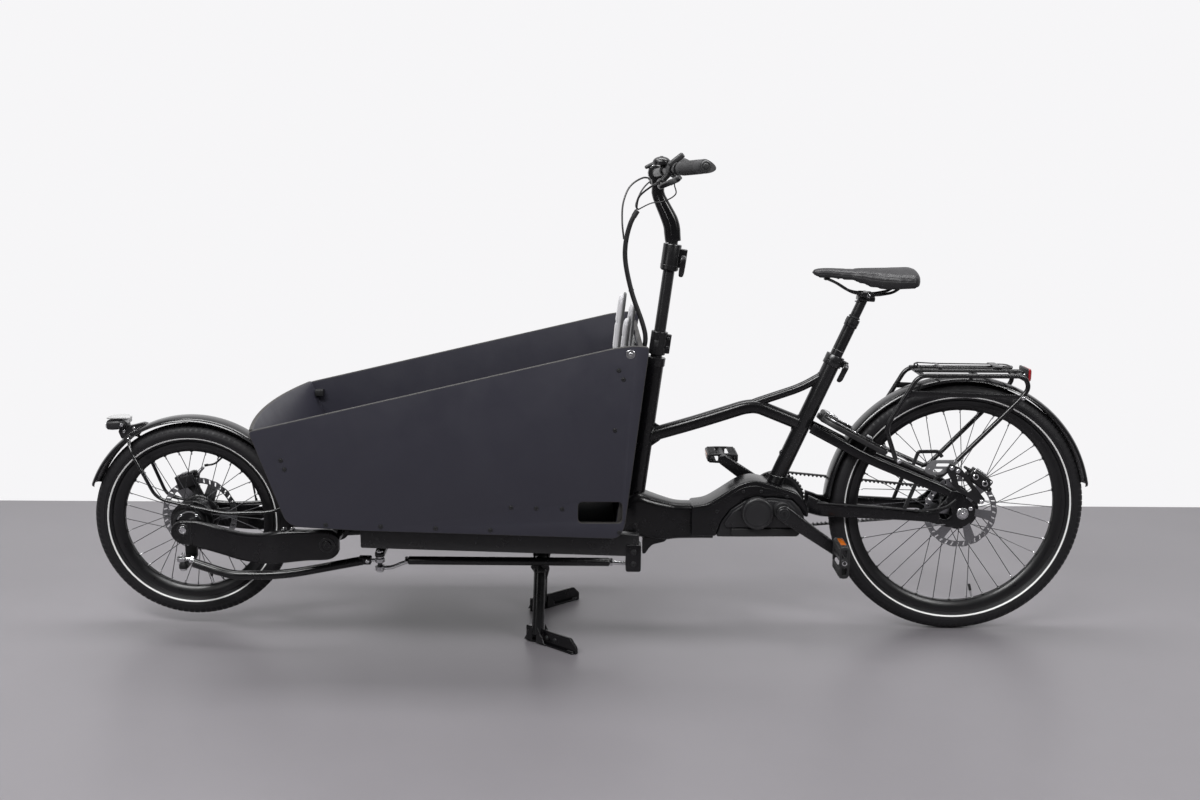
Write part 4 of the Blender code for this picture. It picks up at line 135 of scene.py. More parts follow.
def surface(name, colour, rough, metal=0.0, spread=0.25, patch=9.0, grain=None, painted_edge_highlight=None,
        rough_spread=0.06, coat=0.0, sheen=0.0, specular=0.5):
    """Principled material: patchy colour, uneven roughness and layers of bump.

    grain is a list of (kind, scale, depth in metres); the (colour, amount) pair after it is a painted
    highlight: a lighter colour mixed in on sharp convex edges.
    """
    mat = bpy.data.materials.new(name)
    mat.use_nodes = True
    tree = mat.node_tree
    link = tree.links.new
    shader = tree.nodes["Principled BSDF"]
    shader.inputs["Metallic"].default_value = metal
    shader.inputs["Coat Weight"].default_value = coat
    shader.inputs["Coat Roughness"].default_value = 0.12
    shader.inputs["Sheen Weight"].default_value = sheen
    shader.inputs["Sheen Roughness"].default_value = 0.45
    shader.inputs["Specular IOR Level"].default_value = specular
    place = node(tree, "ShaderNodeTexCoord").outputs["Object"]
    patches = node(tree, "ShaderNodeTexNoise", Scale=patch, Detail=5.0, Roughness=0.6)
    link(place, patches.inputs["Vector"])
    mix = node(tree, "ShaderNodeMix", data_type="RGBA")
    mix.inputs["A"].default_value = (*[c * (1 - spread) for c in colour], 1)
    mix.inputs["B"].default_value = (*[min(1.0, c * (1 + spread)) for c in colour], 1)
    link(patches.outputs["Fac"], mix.inputs["Factor"])
    out = mix.outputs["Result"]
    # Painted highlight: sharp convex edges, found by pointiness, get a lighter colour mixed into the base
    # colour.
    if painted_edge_highlight:
        edge_highlight_colour, amount = painted_edge_highlight
        point = node(tree, "ShaderNodeNewGeometry").outputs["Pointiness"]
        edge = node(tree, "ShaderNodeMapRange")
        edge.inputs["From Min"].default_value = 0.53
        edge.inputs["From Max"].default_value = 0.62
        edge.inputs["To Max"].default_value = amount
        link(point, edge.inputs["Value"])
        over = node(tree, "ShaderNodeMix", data_type="RGBA")
        over.inputs["B"].default_value = (*edge_highlight_colour, 1)
        link(edge.outputs["Result"], over.inputs["Factor"])
        link(out, over.inputs["A"])
        out = over.outputs["Result"]
    link(out, shader.inputs["Base Color"])
    smear = node(tree, "ShaderNodeTexNoise", Scale=patch * 3.1, Detail=6.0, Roughness=0.7)
    link(place, smear.inputs["Vector"])
    level = node(tree, "ShaderNodeMapRange")
    level.inputs["From Min"].default_value = 0.3
    level.inputs["From Max"].default_value = 0.7
    level.inputs["To Min"].default_value = max(0.03, rough - rough_spread)
    level.inputs["To Max"].default_value = min(1.0, rough + rough_spread)
    link(smear.outputs["Fac"], level.inputs["Value"])
    link(level.outputs["Result"], shader.inputs["Roughness"])
    normal = None
    for kind, scale, depth in grain or ():
        if kind == "noise":
            texture = node(tree, "ShaderNodeTexNoise", Scale=scale, Detail=3.0)
            height = texture.outputs["Fac"]
        elif kind == "cells":
            texture = node(tree, "ShaderNodeTexVoronoi", Scale=scale)
            height = texture.outputs["Distance"]
        else:
            texture = node(tree, "ShaderNodeTexWave", Scale=scale, Distortion=0.6)
            texture.bands_direction = kind.upper()
            height = texture.outputs["Fac"]
        link(place, texture.inputs["Vector"])
        bump = node(tree, "ShaderNodeBump", Strength=0.6, Distance=depth)
        link(height, bump.inputs["Height"])
        if normal is not None:
            link(normal, bump.inputs["Normal"])
        normal = bump.outputs["Normal"]
    if normal is not None:
        link(normal, shader.inputs["Normal"])
    return mat


# The (colour, amount) pair given to several of these materials is a painted edge highlight, a lighter
# colour on sharp edges.
COAT = surface("powder_coat", (0.003, 0.0028, 0.0034), 0.25, specular=0.42, grain=[("noise", 900, 0.00004)],
    painted_edge_highlight=((0.03, 0.03, 0.031), 0.5), rough_spread=0.05)
SATIN = surface("satin_black_metal", (0.0048, 0.0046, 0.0053), 0.27, grain=[("noise", 1500, 0.00002)],
    painted_edge_highlight=((0.045, 0.045, 0.046), 0.5))
GLOSS = surface("gloss_black", (0.0055, 0.0055, 0.006), 0.16, grain=[("noise", 300, 0.00002)], coat=0.3)
BOARD = surface("box_board", (0.0175, 0.017, 0.0255), 0.46, spread=0.12, patch=3.0,
    grain=[("noise", 700, 0.00005), ("cells", 1700, 0.00002)], rough_spread=0.06,
    painted_edge_highlight=((0.05, 0.05, 0.058), 0.4))
BOARD_EDGE = surface("board_edge", (0.02, 0.018, 0.017), 0.62, spread=0.4,
    grain=[("z", 260, 0.00015), ("noise", 900, 0.0001)])
TYRE = surface("tyre_rubber", (0.0072, 0.0068, 0.008), 0.62, specular=0.32, spread=0.3, patch=20,
    grain=[("noise", 1400, 0.00006)], rough_spread=0.1)
WALL = surface("tyre_sidewall", (0.008, 0.0076, 0.0088), 0.5, specular=0.32, spread=0.3, patch=14,
    grain=[("noise", 1400, 0.00005)])
STRIPE = surface("reflective_stripe", (0.72, 0.72, 0.71), 0.42, spread=0.06,
    grain=[("cells", 2600, 0.00004)])
RIM = surface("rim_black", (0.0042, 0.004, 0.0047), 0.32, specular=0.4, grain=[("noise", 900, 0.00002)],
    painted_edge_highlight=((0.08, 0.08, 0.08), 0.3))
SPOKE = surface("spoke_steel", (0.09, 0.09, 0.095), 0.3, metal=0.9, spread=0.2, patch=30)
STEEL = surface("brushed_steel", (0.5, 0.5, 0.51), 0.3, metal=1.0, spread=0.15, patch=40,
    grain=[("noise", 1200, 0.00003)])
BRIGHT = surface("bright_steel", (0.68, 0.68, 0.69), 0.2, metal=1.0, spread=0.08, patch=50)
ROTOR = surface("rotor_steel", (0.27, 0.27, 0.28), 0.3, metal=1.0, spread=0.2, patch=35,
    grain=[("noise", 1600, 0.00003)])
DARK = surface("dark_anodised", (0.035, 0.035, 0.037), 0.36, metal=0.8, spread=0.2, patch=30,
    grain=[("noise", 1500, 0.00002)], painted_edge_highlight=((0.14, 0.14, 0.14), 0.4))
CAST = surface("cast_black", (0.006, 0.0058, 0.0066), 0.42, specular=0.4,
    grain=[("noise", 1100, 0.00012), ("cells", 500, 0.00006)])
MOTOR = surface("motor_shell", (0.0105, 0.0102, 0.0115), 0.4, grain=[("noise", 1300, 0.0001)],
    painted_edge_highlight=((0.06, 0.06, 0.06), 0.4))
RUBBER = surface("moulded_rubber", (0.012, 0.0117, 0.0125), 0.62, grain=[("cells", 900, 0.00012)])
GRIP = surface("grip_rubber", (0.022, 0.0215, 0.023), 0.6, grain=[("cells", 700, 0.00018)])
CABLE = surface("cable_jacket", (0.0075, 0.0073, 0.008), 0.42, grain=[("noise", 700, 0.00004)])
SLEEVE = surface("braided_sleeve", (0.006, 0.0058, 0.0064), 0.5, grain=[("cells", 1400, 0.00006)])
PLASTIC = surface("moulded_plastic", (0.01, 0.0098, 0.0106), 0.45, grain=[("noise", 1500, 0.00006)])
FENDER = surface("mudguard_plastic", (0.0065, 0.0063, 0.007), 0.22, grain=[("noise", 500, 0.00004)],
    rough_spread=0.05, coat=0.15)
LEATHER = surface("saddle_cover", (0.0085, 0.0078, 0.0095), 0.44,
    grain=[("cells", 620, 0.00007), ("noise", 1200, 0.00003)], specular=0.42)
SADDLE_SIDE = surface("saddle_side", (0.0072, 0.0068, 0.008), 0.5, grain=[("cells", 900, 0.0001)],
    specular=0.42)
PAD = surface("pad_mesh", (0.36, 0.355, 0.37), 0.85, spread=0.12, patch=60,
    grain=[("cells", 620, 0.0005), ("noise", 300, 0.0004)], sheen=0.4)
PAD_EDGE = surface("pad_binding", (0.03, 0.03, 0.032), 0.8, grain=[("x", 900, 0.0003)], sheen=0.3)
WEB = surface("webbing", (0.022, 0.022, 0.023), 0.78, grain=[("z", 900, 0.0004), ("y", 500, 0.0004)],
    sheen=0.3)
RED = surface("red_lens", (0.25, 0.01, 0.014), 0.22, grain=[("cells", 420, 0.0004)], coat=0.5)
LENS = surface("lamp_lens", (0.62, 0.63, 0.65), 0.14, metal=0.4, grain=[("x", 240, 0.0004)], coat=0.6)
AMBER = surface("amber_reflector", (0.34, 0.085, 0.008), 0.22, grain=[("cells", 420, 0.0005)], coat=0.5)
BELT = surface("belt_rubber", (0.009, 0.009, 0.0095), 0.58, grain=[("y", 700, 0.0002)])
PRINT = surface("grey_print", (0.33, 0.33, 0.33), 0.5, spread=0.05)
GREY = surface("grey_coated_plate", (0.105, 0.104, 0.108), 0.5, grain=[("noise", 1300, 0.00004)])
SCREEN = surface("display_glass", (0.01, 0.011, 0.013), 0.34, specular=0.3)


# Shapes

def ring_circle(radius, sides, squash=1.0):
    """Points of a circle, or of an ellipse with squash."""
    return [(radius * math.cos(math.tau * i / sides), radius * squash * math.sin(math.tau * i / sides))
        for i in range(sides)]


def rounded(width, height, corner=0.3, steps=4):
    """Section of a bar with round corners; corner is a share of the smaller side."""
    r = corner * min(width, height)
    points = []
    for i, (sx, sz) in enumerate(((1, 1), (-1, 1), (-1, -1), (1, -1))):
        cx, cz = sx * (width / 2 - r), sz * (height / 2 - r)
        for k in range(steps + 1):
            a = math.pi / 2 * (i + k / steps)
            points.append((cx + r * math.cos(a), cz + r * math.sin(a)))
    return points


def polygon(radius, sides, facets):
    """A polygon's outline given by sides points, so that it meets a round ring."""
    points = []
    for i in range(sides):
        a = math.tau * i / sides
        part = (a % (math.tau / facets)) - math.pi / facets
        r = radius / math.cos(part)
        points.append((r * math.cos(a), r * math.sin(a)))
    return points


def spline(a, b, c, d, t):
    """Catmull-Rom curve from b to c at t between 0 and 1, for numbers or vectors."""
    return 0.5 * (b * 2 + (c - a) * t + (a * 2 - b * 5 + c * 4 - d) * t * t + (b * 3 - a - c * 3 + d)
        * t ** 3)


def catmull(points, spacing):
    """Smooth curve through points."""
    points = [Vector(p) for p in points]
    ends = [points[0] * 2 - points[1]] + points + [points[-1] * 2 - points[-2]]
    path = [points[0]]
    for p0, p1, p2, p3 in zip(ends, ends[1:], ends[2:], ends[3:]):
        steps = max(1, round((p2 - p1).length / spacing))
        for i in range(1, steps + 1):
            path.append(spline(p0, p1, p2, p3, i / steps))
    return path


def corner_curve(before, corner, after, reach, steps):
    """Points of a curve that rounds a corner off."""
    start = corner + (before - corner).normalized() * reach
    end = corner + (after - corner).normalized() * reach
    for i in range(steps + 1):
        t = i / steps
        yield start * (1 - t) ** 2 + corner * 2 * t * (1 - t) + end * t * t


def bend(points, radius, steps=6):
    """Straight runs through points with rounded corners."""
    path = [Vector(points[0])]
    for before, corner, after in zip(points, points[1:], points[2:]):
        before, corner, after = Vector(before), Vector(corner), Vector(after)
        reach = min(radius, (before - corner).length * 0.48, (after - corner).length * 0.48)
        path += corner_curve(before, corner, after, reach, steps)
    path.append(Vector(points[-1]))
    return path


def skin(rings, closed=False, caps=True, bm=None):
    """Surface over a row of rings, capped at its ends unless closed."""
    bm = bm or bmesh.new()
    loops = [[bm.verts.new(p) for p in ring] for ring in rings]
    pairs = list(zip(loops, loops[1:]))
    if closed:
        pairs.append((loops[-1], loops[0]))
    for one, two in pairs:
        n = len(one)
        for i in range(n):
            j = (i + 1) % n
            bm.faces.new((one[i], one[j], two[j], two[i]))
    if caps and not closed:
        bm.faces.new(loops[0])
        bm.faces.new(loops[-1])
    return bm


def frames(path, across, closed=False):
    """Tangent frames carried along a path without twist."""
    path = [Vector(p) for p in path]
    n = len(path)
    result = []
    side = None
    for i, point in enumerate(path):
        before = path[i - 1] if i or closed else path[i]
        after = path[(i + 1) % n] if i < n - 1 or closed else path[i]
        tangent = (after - before).normalized()
        guide = Vector(across) if side is None else side
        side = guide - tangent * guide.dot(tangent)
        if side.length < 1e-5:
            side = tangent.orthogonal()
        side.normalize()
        result.append((point, side.copy(), tangent.cross(side).normalized()))
    return result


def along_sizes(path, sizes):
    """Width and height at each point of a path, blended between the given sizes."""
    for i in range(len(path)):
        t = i / (len(path) - 1) * (len(sizes) - 1)
        k = min(int(t), len(sizes) - 2)
        yield tuple(a + (b - a) * (t - k) for a, b in zip(sizes[k], sizes[k + 1]))


def sweep(path, section, across=(0, 1, 0), closed=False):
    """Body of one section, or one for each point, along a path."""
    rings = []
    for i, (point, side, up) in enumerate(frames(path, across, closed)):
        shape = section[i] if isinstance(section[0], list) else section
        rings.append([point + side * a + up * b for a, b in shape])
    return skin(rings, closed)


def tube(points, radius, sides=20, spacing=None, corner=None, across=(0, 1, 0), closed=False):
    """Round tube; smooth through its points with spacing, or straight runs with round corners."""
    path = catmull(points, spacing) if spacing else bend(points, corner) if corner else points
    if isinstance(radius, (list, tuple)):
        shapes = []
        for i in range(len(path)):
            t = i / max(1, len(path) - 1) * (len(radius) - 1)
            k = min(int(t), len(radius) - 2)
            shapes.append(ring_circle(radius[k] + (radius[k + 1] - radius[k]) * (t - k), sides))
        return sweep(path, shapes, across)
    return sweep(path, ring_circle(radius, sides), across, closed)


def lathe(centre, stations, along=AXIS_Y, sides=48, shapes=None, closed=False):
    """Turned body from (radius, distance) stations; shapes gives an outline for some of them."""
    along = Vector(along).normalized()
    side = Vector((1, 0, 0)) if abs(along.x) < 0.9 else Vector((0, 1, 0))
    side = (side - along * side.dot(along)).normalized()
    up = along.cross(side)
    rings = []
    for i, (radius, distance) in enumerate(stations):
        outline = ring_circle(radius, sides)
        if shapes and i in shapes:
            outline = polygon(radius, sides, shapes[i])
        middle = Vector(centre) + along * distance
        rings.append([middle + side * a + up * b for a, b in outline])
    return skin(rings, closed)


def block(centre, sizes, rotation=None, edge=0.0015, steps=2):
    """Block of full sizes with rounded edges."""
    bm = bmesh.new()
    bmesh.ops.create_cube(bm, size=1.0)
    bmesh.ops.scale(bm, vec=sizes, verts=bm.verts)
    if edge:
        bmesh.ops.bevel(bm, geom=bm.edges[:], offset=edge, segments=steps, profile=0.5, affect="EDGES")
    if rotation is not None:
        bmesh.ops.rotate(bm, cent=(0, 0, 0), matrix=rotation, verts=bm.verts)
    bmesh.ops.translate(bm, vec=centre, verts=bm.verts)
    return bm


def soften(bm, width, steps=2, angle=28.0):
    """Round a body's sharp edges."""
    bm.normal_update()
    bmesh.ops.recalc_face_normals(bm, faces=bm.faces)
    limit = math.radians(angle)
    edges = [e for e in bm.edges if len(e.link_faces) == 2 and e.calc_face_angle(0) > limit]
    bmesh.ops.bevel(bm, geom=edges, offset=width, segments=steps, profile=0.5, affect="EDGES",
        clamp_overlap=True)
    return bm


def plate(loops, low, high, to_world, edge=0.0008, steps=2):
    """Flat plate from an outer outline and hole outlines, with rounded edges."""
    bm = bmesh.new()
    edges = []
    for loop in loops:
        corners = [bm.verts.new((a, b, 0.0)) for a, b in loop]
        for one, two in zip(corners, corners[1:] + corners[:1]):
            edges.append(bm.edges.new((one, two)))
    made = bmesh.ops.triangle_fill(bm, edges=edges, use_beauty=True, use_dissolve=True)
    faces = [g for g in made["geom"] if isinstance(g, bmesh.types.BMFace)]
    raised = bmesh.ops.extrude_face_region(bm, geom=faces)
    top = [g for g in raised["geom"] if isinstance(g, bmesh.types.BMVert)]
    bmesh.ops.translate(bm, vec=(0, 0, high - low), verts=top)
    bmesh.ops.translate(bm, vec=(0, 0, low), verts=bm.verts)
    if edge:
        soften(bm, edge, steps, 40)
    for vert in bm.verts:
        vert.co = to_world(vert.co.x, vert.co.y, vert.co.z)
    return bm


def side_view(a, b, level):
    """Place for a plate drawn in the side view: level runs across the bike."""
    return Vector((a, level, b))


def xz(points):
    """Side view of points."""
    return [(p.x, p.z) for p in points]


def hole(centre, radius, sides=24, phase=0.0):
    """Round hole's outline."""
    return [(centre[0] + radius * math.cos(phase + math.tau * i / sides), centre[1] + radius
        * math.sin(phase + math.tau * i / sides)) for i in range(sides)]


def round_outline(points, radius, steps=4):
    """Outline with its corners rounded."""
    result = []
    n = len(points)
    for i in range(n):
        a, b, c = (Vector(points[(i + k) % n]) for k in (-1, 0, 1))
        reach = min(radius, (a - b).length * 0.45, (c - b).length * 0.45)
        result += [(p.x, p.y) for p in corner_curve(a, b, c, reach, steps)]
    return result


def bolt(centre, along, radius=0.0042, height=0.003, socket=6, washer=0.0):
    """Button-head bolt with a socket; along points out of the surface."""
    stations = [(radius * 0.98, -0.0015), (radius, height * 0.25), (radius * 0.86, height * 0.78),
        (radius * 0.62, height), (radius * 0.5, height), (radius * 0.47, height * 0.35)]
    bm = lathe(centre, stations, along, 24, {4: socket, 5: socket})
    if washer:
        disc = lathe(centre, [(washer, -0.001), (washer, 0.0009), (washer * 0.93, 0.0014),
            (radius * 0.9, 0.0014)], along, 28)
        join(disc, bm)
        return disc
    return bm


def nut(centre, along, radius, low, high, bore):
    """Hexagonal nut between two distances, with a small bevel at the far one."""
    return lathe(centre, [(radius, low), (radius, high), (radius - 0.0008, high + 0.0008),
        (bore, high + 0.0008)], along, 24, {0: 6, 1: 6})


def join(bm, *others):
    """Add other bodies to bm as separate shells."""
    for other in others:
        mesh = bpy.data.meshes.new("join")
        other.to_mesh(mesh)
        bm.from_mesh(mesh)
        bpy.data.meshes.remove(mesh)
        other.free()


def put(name, data):
    """New object in the scene."""
    item = bpy.data.objects.new(name, data)
    bpy.context.scene.collection.objects.link(item)
    return item


class Piece:
    """One visible piece, made of several closed shells with their own materials."""

    def __init__(self, name, body):
        self.name, self.body = name, body
        self.bm = bmesh.new()
        self.materials = []

    def add(self, bm, material, mirror=False):
        """Add a body; mirror also adds its twin on the other side."""
        bm.normal_update()
        bmesh.ops.recalc_face_normals(bm, faces=bm.faces)
        if material not in self.materials:
            self.materials.append(material)
        index = self.materials.index(material)
        for face in bm.faces:
            face.material_index = index
            face.smooth = True
        mesh = bpy.data.meshes.new("part")
        bm.to_mesh(mesh)
        self.bm.from_mesh(mesh)
        if mirror:
            mesh.transform(Matrix.Diagonal((1, -1, 1, 1)))
            mesh.flip_normals()
            self.bm.from_mesh(mesh)
        bpy.data.meshes.remove(mesh)
        bm.free()

    def done(self, *nodes, slot=None, angle=32, across=None):
        """Link the piece; with across, given as (body, body, start, end), it stays in its world place
        without a body, and the values in across are not read.
        """
        mesh = bpy.data.meshes.new(self.name)
        self.bm.to_mesh(mesh)
        self.bm.free()
        for material in self.materials:
            mesh.materials.append(material)
        mesh.set_sharp_from_angle(angle=math.radians(angle))
        item = put(self.name, mesh)
        if across:
            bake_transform(item)
        else:
            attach(item, self.body)
        if nodes:
            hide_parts(*nodes)


# Camera, light and floor

def set_camera():
    """Camera at the photo's angle."""
    camera = bpy.data.cameras.new("camera")
    camera.lens = CAMERA_LENS
    camera.sensor_width = 36.0
    camera.clip_end = 60
    eye = put("camera", camera)
    pitch, yaw, roll = (math.radians(a) for a in CAMERA_TURN)
    turn = (Matrix.Rotation(-yaw, 3, "Z") @ Matrix.Rotation(math.pi / 2 - pitch, 3, "X")
        @ Matrix.Rotation(roll, 3, "Z"))
    eye.rotation_euler = turn.to_euler()
    eye.location = CAMERA_PLACE
    bpy.context.scene.camera = eye


def set_lamps():
    """Soft studio lamps and a dim world."""
    for name, spot, aim, size, power in LAMPS:
        data = bpy.data.lights.new(name, "AREA")
        data.shape = "RECTANGLE"
        data.size, data.size_y = size
        data.energy = power
        lamp = put(name, data)
        lamp.location = spot
        lamp.rotation_euler = (Vector(aim) - Vector(spot)).to_track_quat("-Z", "Y").to_euler()
    world = bpy.data.worlds.new("studio")
    bpy.context.scene.world = world
    world.use_nodes = True
    plain = world.node_tree.nodes["Background"]
    plain.inputs["Color"].default_value = WORLD_COLOUR
    plain.inputs["Strength"].default_value = WORLD_STRENGTH


def cloudy(name, colour, rough):
    """Plain stage material whose colour drifts a little."""
    mat = bpy.data.materials.new(name)
    mat.use_nodes = True
    tree = mat.node_tree
    link = tree.links.new
    shader = tree.nodes["Principled BSDF"]
    place = node(tree, "ShaderNodeTexCoord").outputs["Object"]
    cloud = node(tree, "ShaderNodeTexNoise", Scale=1.7, Detail=6.0, Roughness=0.6)
    link(place, cloud.inputs["Vector"])
    shade = node(tree, "ShaderNodeMix", data_type="RGBA")
    shade.inputs["A"].default_value = (*[c * 0.9 for c in colour], 1)
    shade.inputs["B"].default_value = (*[c * 1.08 for c in colour], 1)
    link(cloud.outputs["Fac"], shade.inputs["Factor"])
    link(shade.outputs["Result"], shader.inputs["Base Color"])
    shader.inputs["Roughness"].default_value = rough
    return mat


def make_pale(mat):
    """A pale wall for what the camera, metal and glass see, and no wall at all from behind."""
    tree = mat.node_tree
    link = tree.links.new
    pale = node(tree, "ShaderNodeEmission", Strength=1.0)
    pale.inputs["Color"].default_value = WALL_SEEN
    path = node(tree, "ShaderNodeLightPath")
    seen = node(tree, "ShaderNodeMath", operation="MAXIMUM")
    link(path.outputs["Is Camera Ray"], seen.inputs[0])
    link(path.outputs["Is Glossy Ray"], seen.inputs[1])
    also = node(tree, "ShaderNodeMath", operation="MAXIMUM")
    link(seen.outputs[0], also.inputs[0])
    link(path.outputs["Is Transmission Ray"], also.inputs[1])
    mix = node(tree, "ShaderNodeMixShader")
    link(also.outputs[0], mix.inputs["Fac"])
    link(tree.nodes["Principled BSDF"].outputs[0], mix.inputs[1])
    link(pale.outputs[0], mix.inputs[2])
    clear = node(tree, "ShaderNodeMixShader")
    link(node(tree, "ShaderNodeNewGeometry").outputs["Backfacing"], clear.inputs["Fac"])
    link(mix.outputs[0], clear.inputs[1])
    link(node(tree, "ShaderNodeBsdfTransparent").outputs[0], clear.inputs[2])
    link(clear.outputs[0], tree.nodes["Material Output"].inputs["Surface"])


def stage_sheet(name, profile, mat):
    """Sheet across the stage, from its (y, z) profile."""
    bm = bmesh.new()
    rows = [[bm.verts.new((x, y, z)) for y, z in profile] for x in (-STAGE_HALF, STAGE_HALF)]
    for i in range(len(profile) - 1):
        bm.faces.new((rows[0][i], rows[1][i], rows[1][i + 1], rows[0][i + 1])).smooth = True
    mesh = bpy.data.meshes.new(name)
    bm.to_mesh(mesh)
    bm.free()
    mesh.materials.append(mat)
    ground = put(name, mesh)


def build_stage():
    """Camera, lamps, grey floor and pale wall."""
    bpy.context.scene.view_settings.view_transform = "Standard"
    set_camera()
    set_lamps()
    stage_sheet("floor", [(-6.0, 0.0), (WALL_Y, 0.0), (6.0, 0.0)], cloudy("floor", FLOOR_COLOUR, 0.4))
    wall = cloudy("wall", WALL_COLOUR, 0.85)
    make_pale(wall)
    stage_sheet("wall", [(WALL_Y, 0.0), (WALL_Y, 7.0)], wall)


# Wheels

FRONT_SPOKES, REAR_SPOKES = 32, 36


def ring_profile(profile, centre, sides, bm=None):
    """Closed section turned about the axle."""
    rings = []
    for i in range(sides):
        a = math.tau * i / sides
        rings.append([centre + Vector((r * math.cos(a), y, r * math.sin(a))) for r, y in profile])
    return skin(rings, closed=True, bm=bm)


def tyre_section(bead, radius, width):
    """Half sections of the carcass from bead to crown, then the other way round."""
    height, half = radius - bead, width / 2
    marks = [(0.0, 0.46), (0.1, 0.5), (0.2, 0.7), (0.345, 0.93), (0.536, 1.0), (0.7, 0.94), (0.83, 0.78),
        (0.93, 0.52), (0.985, 0.24), (1.0, 0.0)]
    points = [Vector((bead + height * h, half * w, 0)) for h, w in marks]
    return [(p.x, p.y) for p in catmull(points, 0.0022)]


def tyre(name, centre, bead, radius, width, body, lugs, node_name):
    """Carcass with bead lines, reflective stripe and tread blocks."""
    piece = Piece(name, body)
    sides = 144
    tread = 0.0014
    half = tyre_section(bead + 0.0006, radius - tread, width)
    inside = [(bead + 0.0006, 0.01), (bead + 0.012, 0.0125), (radius - 0.018, 0.019), (radius - 0.008, 0.0)]
    full = [(r, -y) for r, y in half] + half[::-1][1:]
    hollow = inside + [(r, -y) for r, y in inside[::-1][1:]]
    piece.add(ring_profile(full + hollow, centre, sides), WALL)
    low = radius - 0.0398

    def wall(r):
        """Half width of the carcass at a radius."""
        for (r0, y0), (r1, y1) in zip(half, half[1:]):
            if r0 <= r <= r1:
                return y0 + (y1 - y0) * (r - r0) / max(1e-9, r1 - r0)
        return half[-1][1]

    band = [(low + 0.0034 * t, wall(low + 0.0034 * t) + (0.0003 if t in (0, 1) else 0.0006))
        for t in (0, 0.25, 0.5, 0.75, 1)]
    under = [(r, y - 0.0014) for r, y in band[::-1]]
    piece.add(ring_profile(band + under, centre, sides), STRIPE, mirror=True)
    for r in (bead + 0.0075, bead + 0.0105, radius - 0.0475, radius - 0.0285):
        y = wall(r)
        bead_line = [(r + 0.0007 * math.cos(a), y + 0.0005 + 0.0006 * math.sin(a))
            for a in (math.tau * k / 6 for k in range(6))]
        piece.add(ring_profile(bead_line, centre, 96), WALL, mirror=True)
    piece.add(knobs(centre, radius, tread, lugs), TYRE)
    piece.done(node_name, slot="tyre")


def knobs(centre, radius, tread, count):
    """Tread blocks: a centre row of arrows and two rows of shoulder blocks each side."""
    bm = bmesh.new()
    step = math.tau / count

    def corner(angle, y, lift):
        base = radius - tread
        span = 0.0275
        drop = 0.0185 * min(1.0, abs(y) / span) ** 2.6
        r = base - drop + lift
        return centre + Vector((r * math.cos(angle), y, r * math.sin(angle)))

    def add_block(angle, outline, lift):
        low = [bm.verts.new(corner(angle + a * step, y, -0.0012)) for a, y in outline]
        mid_a = sum(a for a, _ in outline) / len(outline)
        mid_y = sum(y for _, y in outline) / len(outline)
        high = [bm.verts.new(corner(angle + (mid_a + (a - mid_a) * 0.93) * step, mid_y + (y - mid_y) * 0.9,
            lift)) for a, y in outline]
        n = len(outline)
        for i in range(n):
            j = (i + 1) % n
            bm.faces.new((low[i], low[j], high[j], high[i]))
        bm.faces.new(high)
        bm.faces.new(low)

    for i in range(count):
        angle = i * step
        for side in (-1, 1):
            shift = 0.5 if side > 0 else 0.0
            add_block(angle + shift * step, [(0.0, side * 0.0006), (0.42, side * 0.0052),
                (0.96, side * 0.0052), (0.62, side * 0.0006)], tread)
            add_block(angle + shift * step, [(0.28, side * 0.0064), (0.5, side * 0.013),
                (1.3, side * 0.013), (1.04, side * 0.0064)], tread)
            add_block(angle + shift * step, [(0.46, side * 0.0142), (0.58, side * 0.0207),
                (1.42, side * 0.0207), (1.26, side * 0.0142)], tread * 0.9)
            add_block(angle + shift * step, [(0.64, side * 0.0218), (0.72, side * 0.0262),
                (1.46, side * 0.0262), (1.38, side * 0.0218)], tread * 0.7)
    return bm


def rim(name, centre, bead, body, node_name, count):
    """Hollow rim with its nipples and valve."""
    piece = Piece(name, body)
    half = 0.015
    section = [(bead - 0.02, -0.006), (bead - 0.02, 0.006), (bead - 0.0175, 0.0092), (bead - 0.006, 0.0148),
        (bead - 0.0045, half), (bead + 0.0058, half), (bead + 0.0064, half - 0.0006),
        (bead + 0.0064, half - 0.0018), (bead + 0.005, half - 0.0024), (bead + 0.0002, half - 0.003),
        (bead - 0.0004, half - 0.0052)]
    full = section + [(r, -y) for r, y in section[::-1]]
    piece.add(ring_profile(full, centre, 144), RIM)
    for i in range(count):
        a = math.tau * i / count
        out = around(a)
        lean = 0.004 if i % 2 else -0.004
        spot = centre + out * (bead - 0.0206) + Vector((0, lean * 0.6, 0))
        piece.add(lathe(spot, [(0.0042, 0.0012), (0.004, 0.0), (0.0026, -0.0004)], -out, 12), RIM)
        piece.add(lathe(spot, [(0.0019, -0.002), (0.0019, 0.0085), (0.0015, 0.0095)], -out, 8), BRIGHT)
    a = -1.34
    out = around(a)
    base = centre + out * (bead - 0.0195)
    piece.add(lathe(base, [(0.004, -0.001), (0.004, 0.003), (0.0026, 0.0036), (0.0026, 0.026),
        (0.0024, 0.0265), (0.0024, 0.034), (0.0017, 0.0352)], -out, 16), BRIGHT)
    piece.add(lathe(base + out * -0.022, [(0.0036, 0), (0.0037, 0.001), (0.0037, 0.016), (0.0028, 0.0175)],
        -out, 16), RUBBER)
    piece.done(node_name, slot="satin_black")


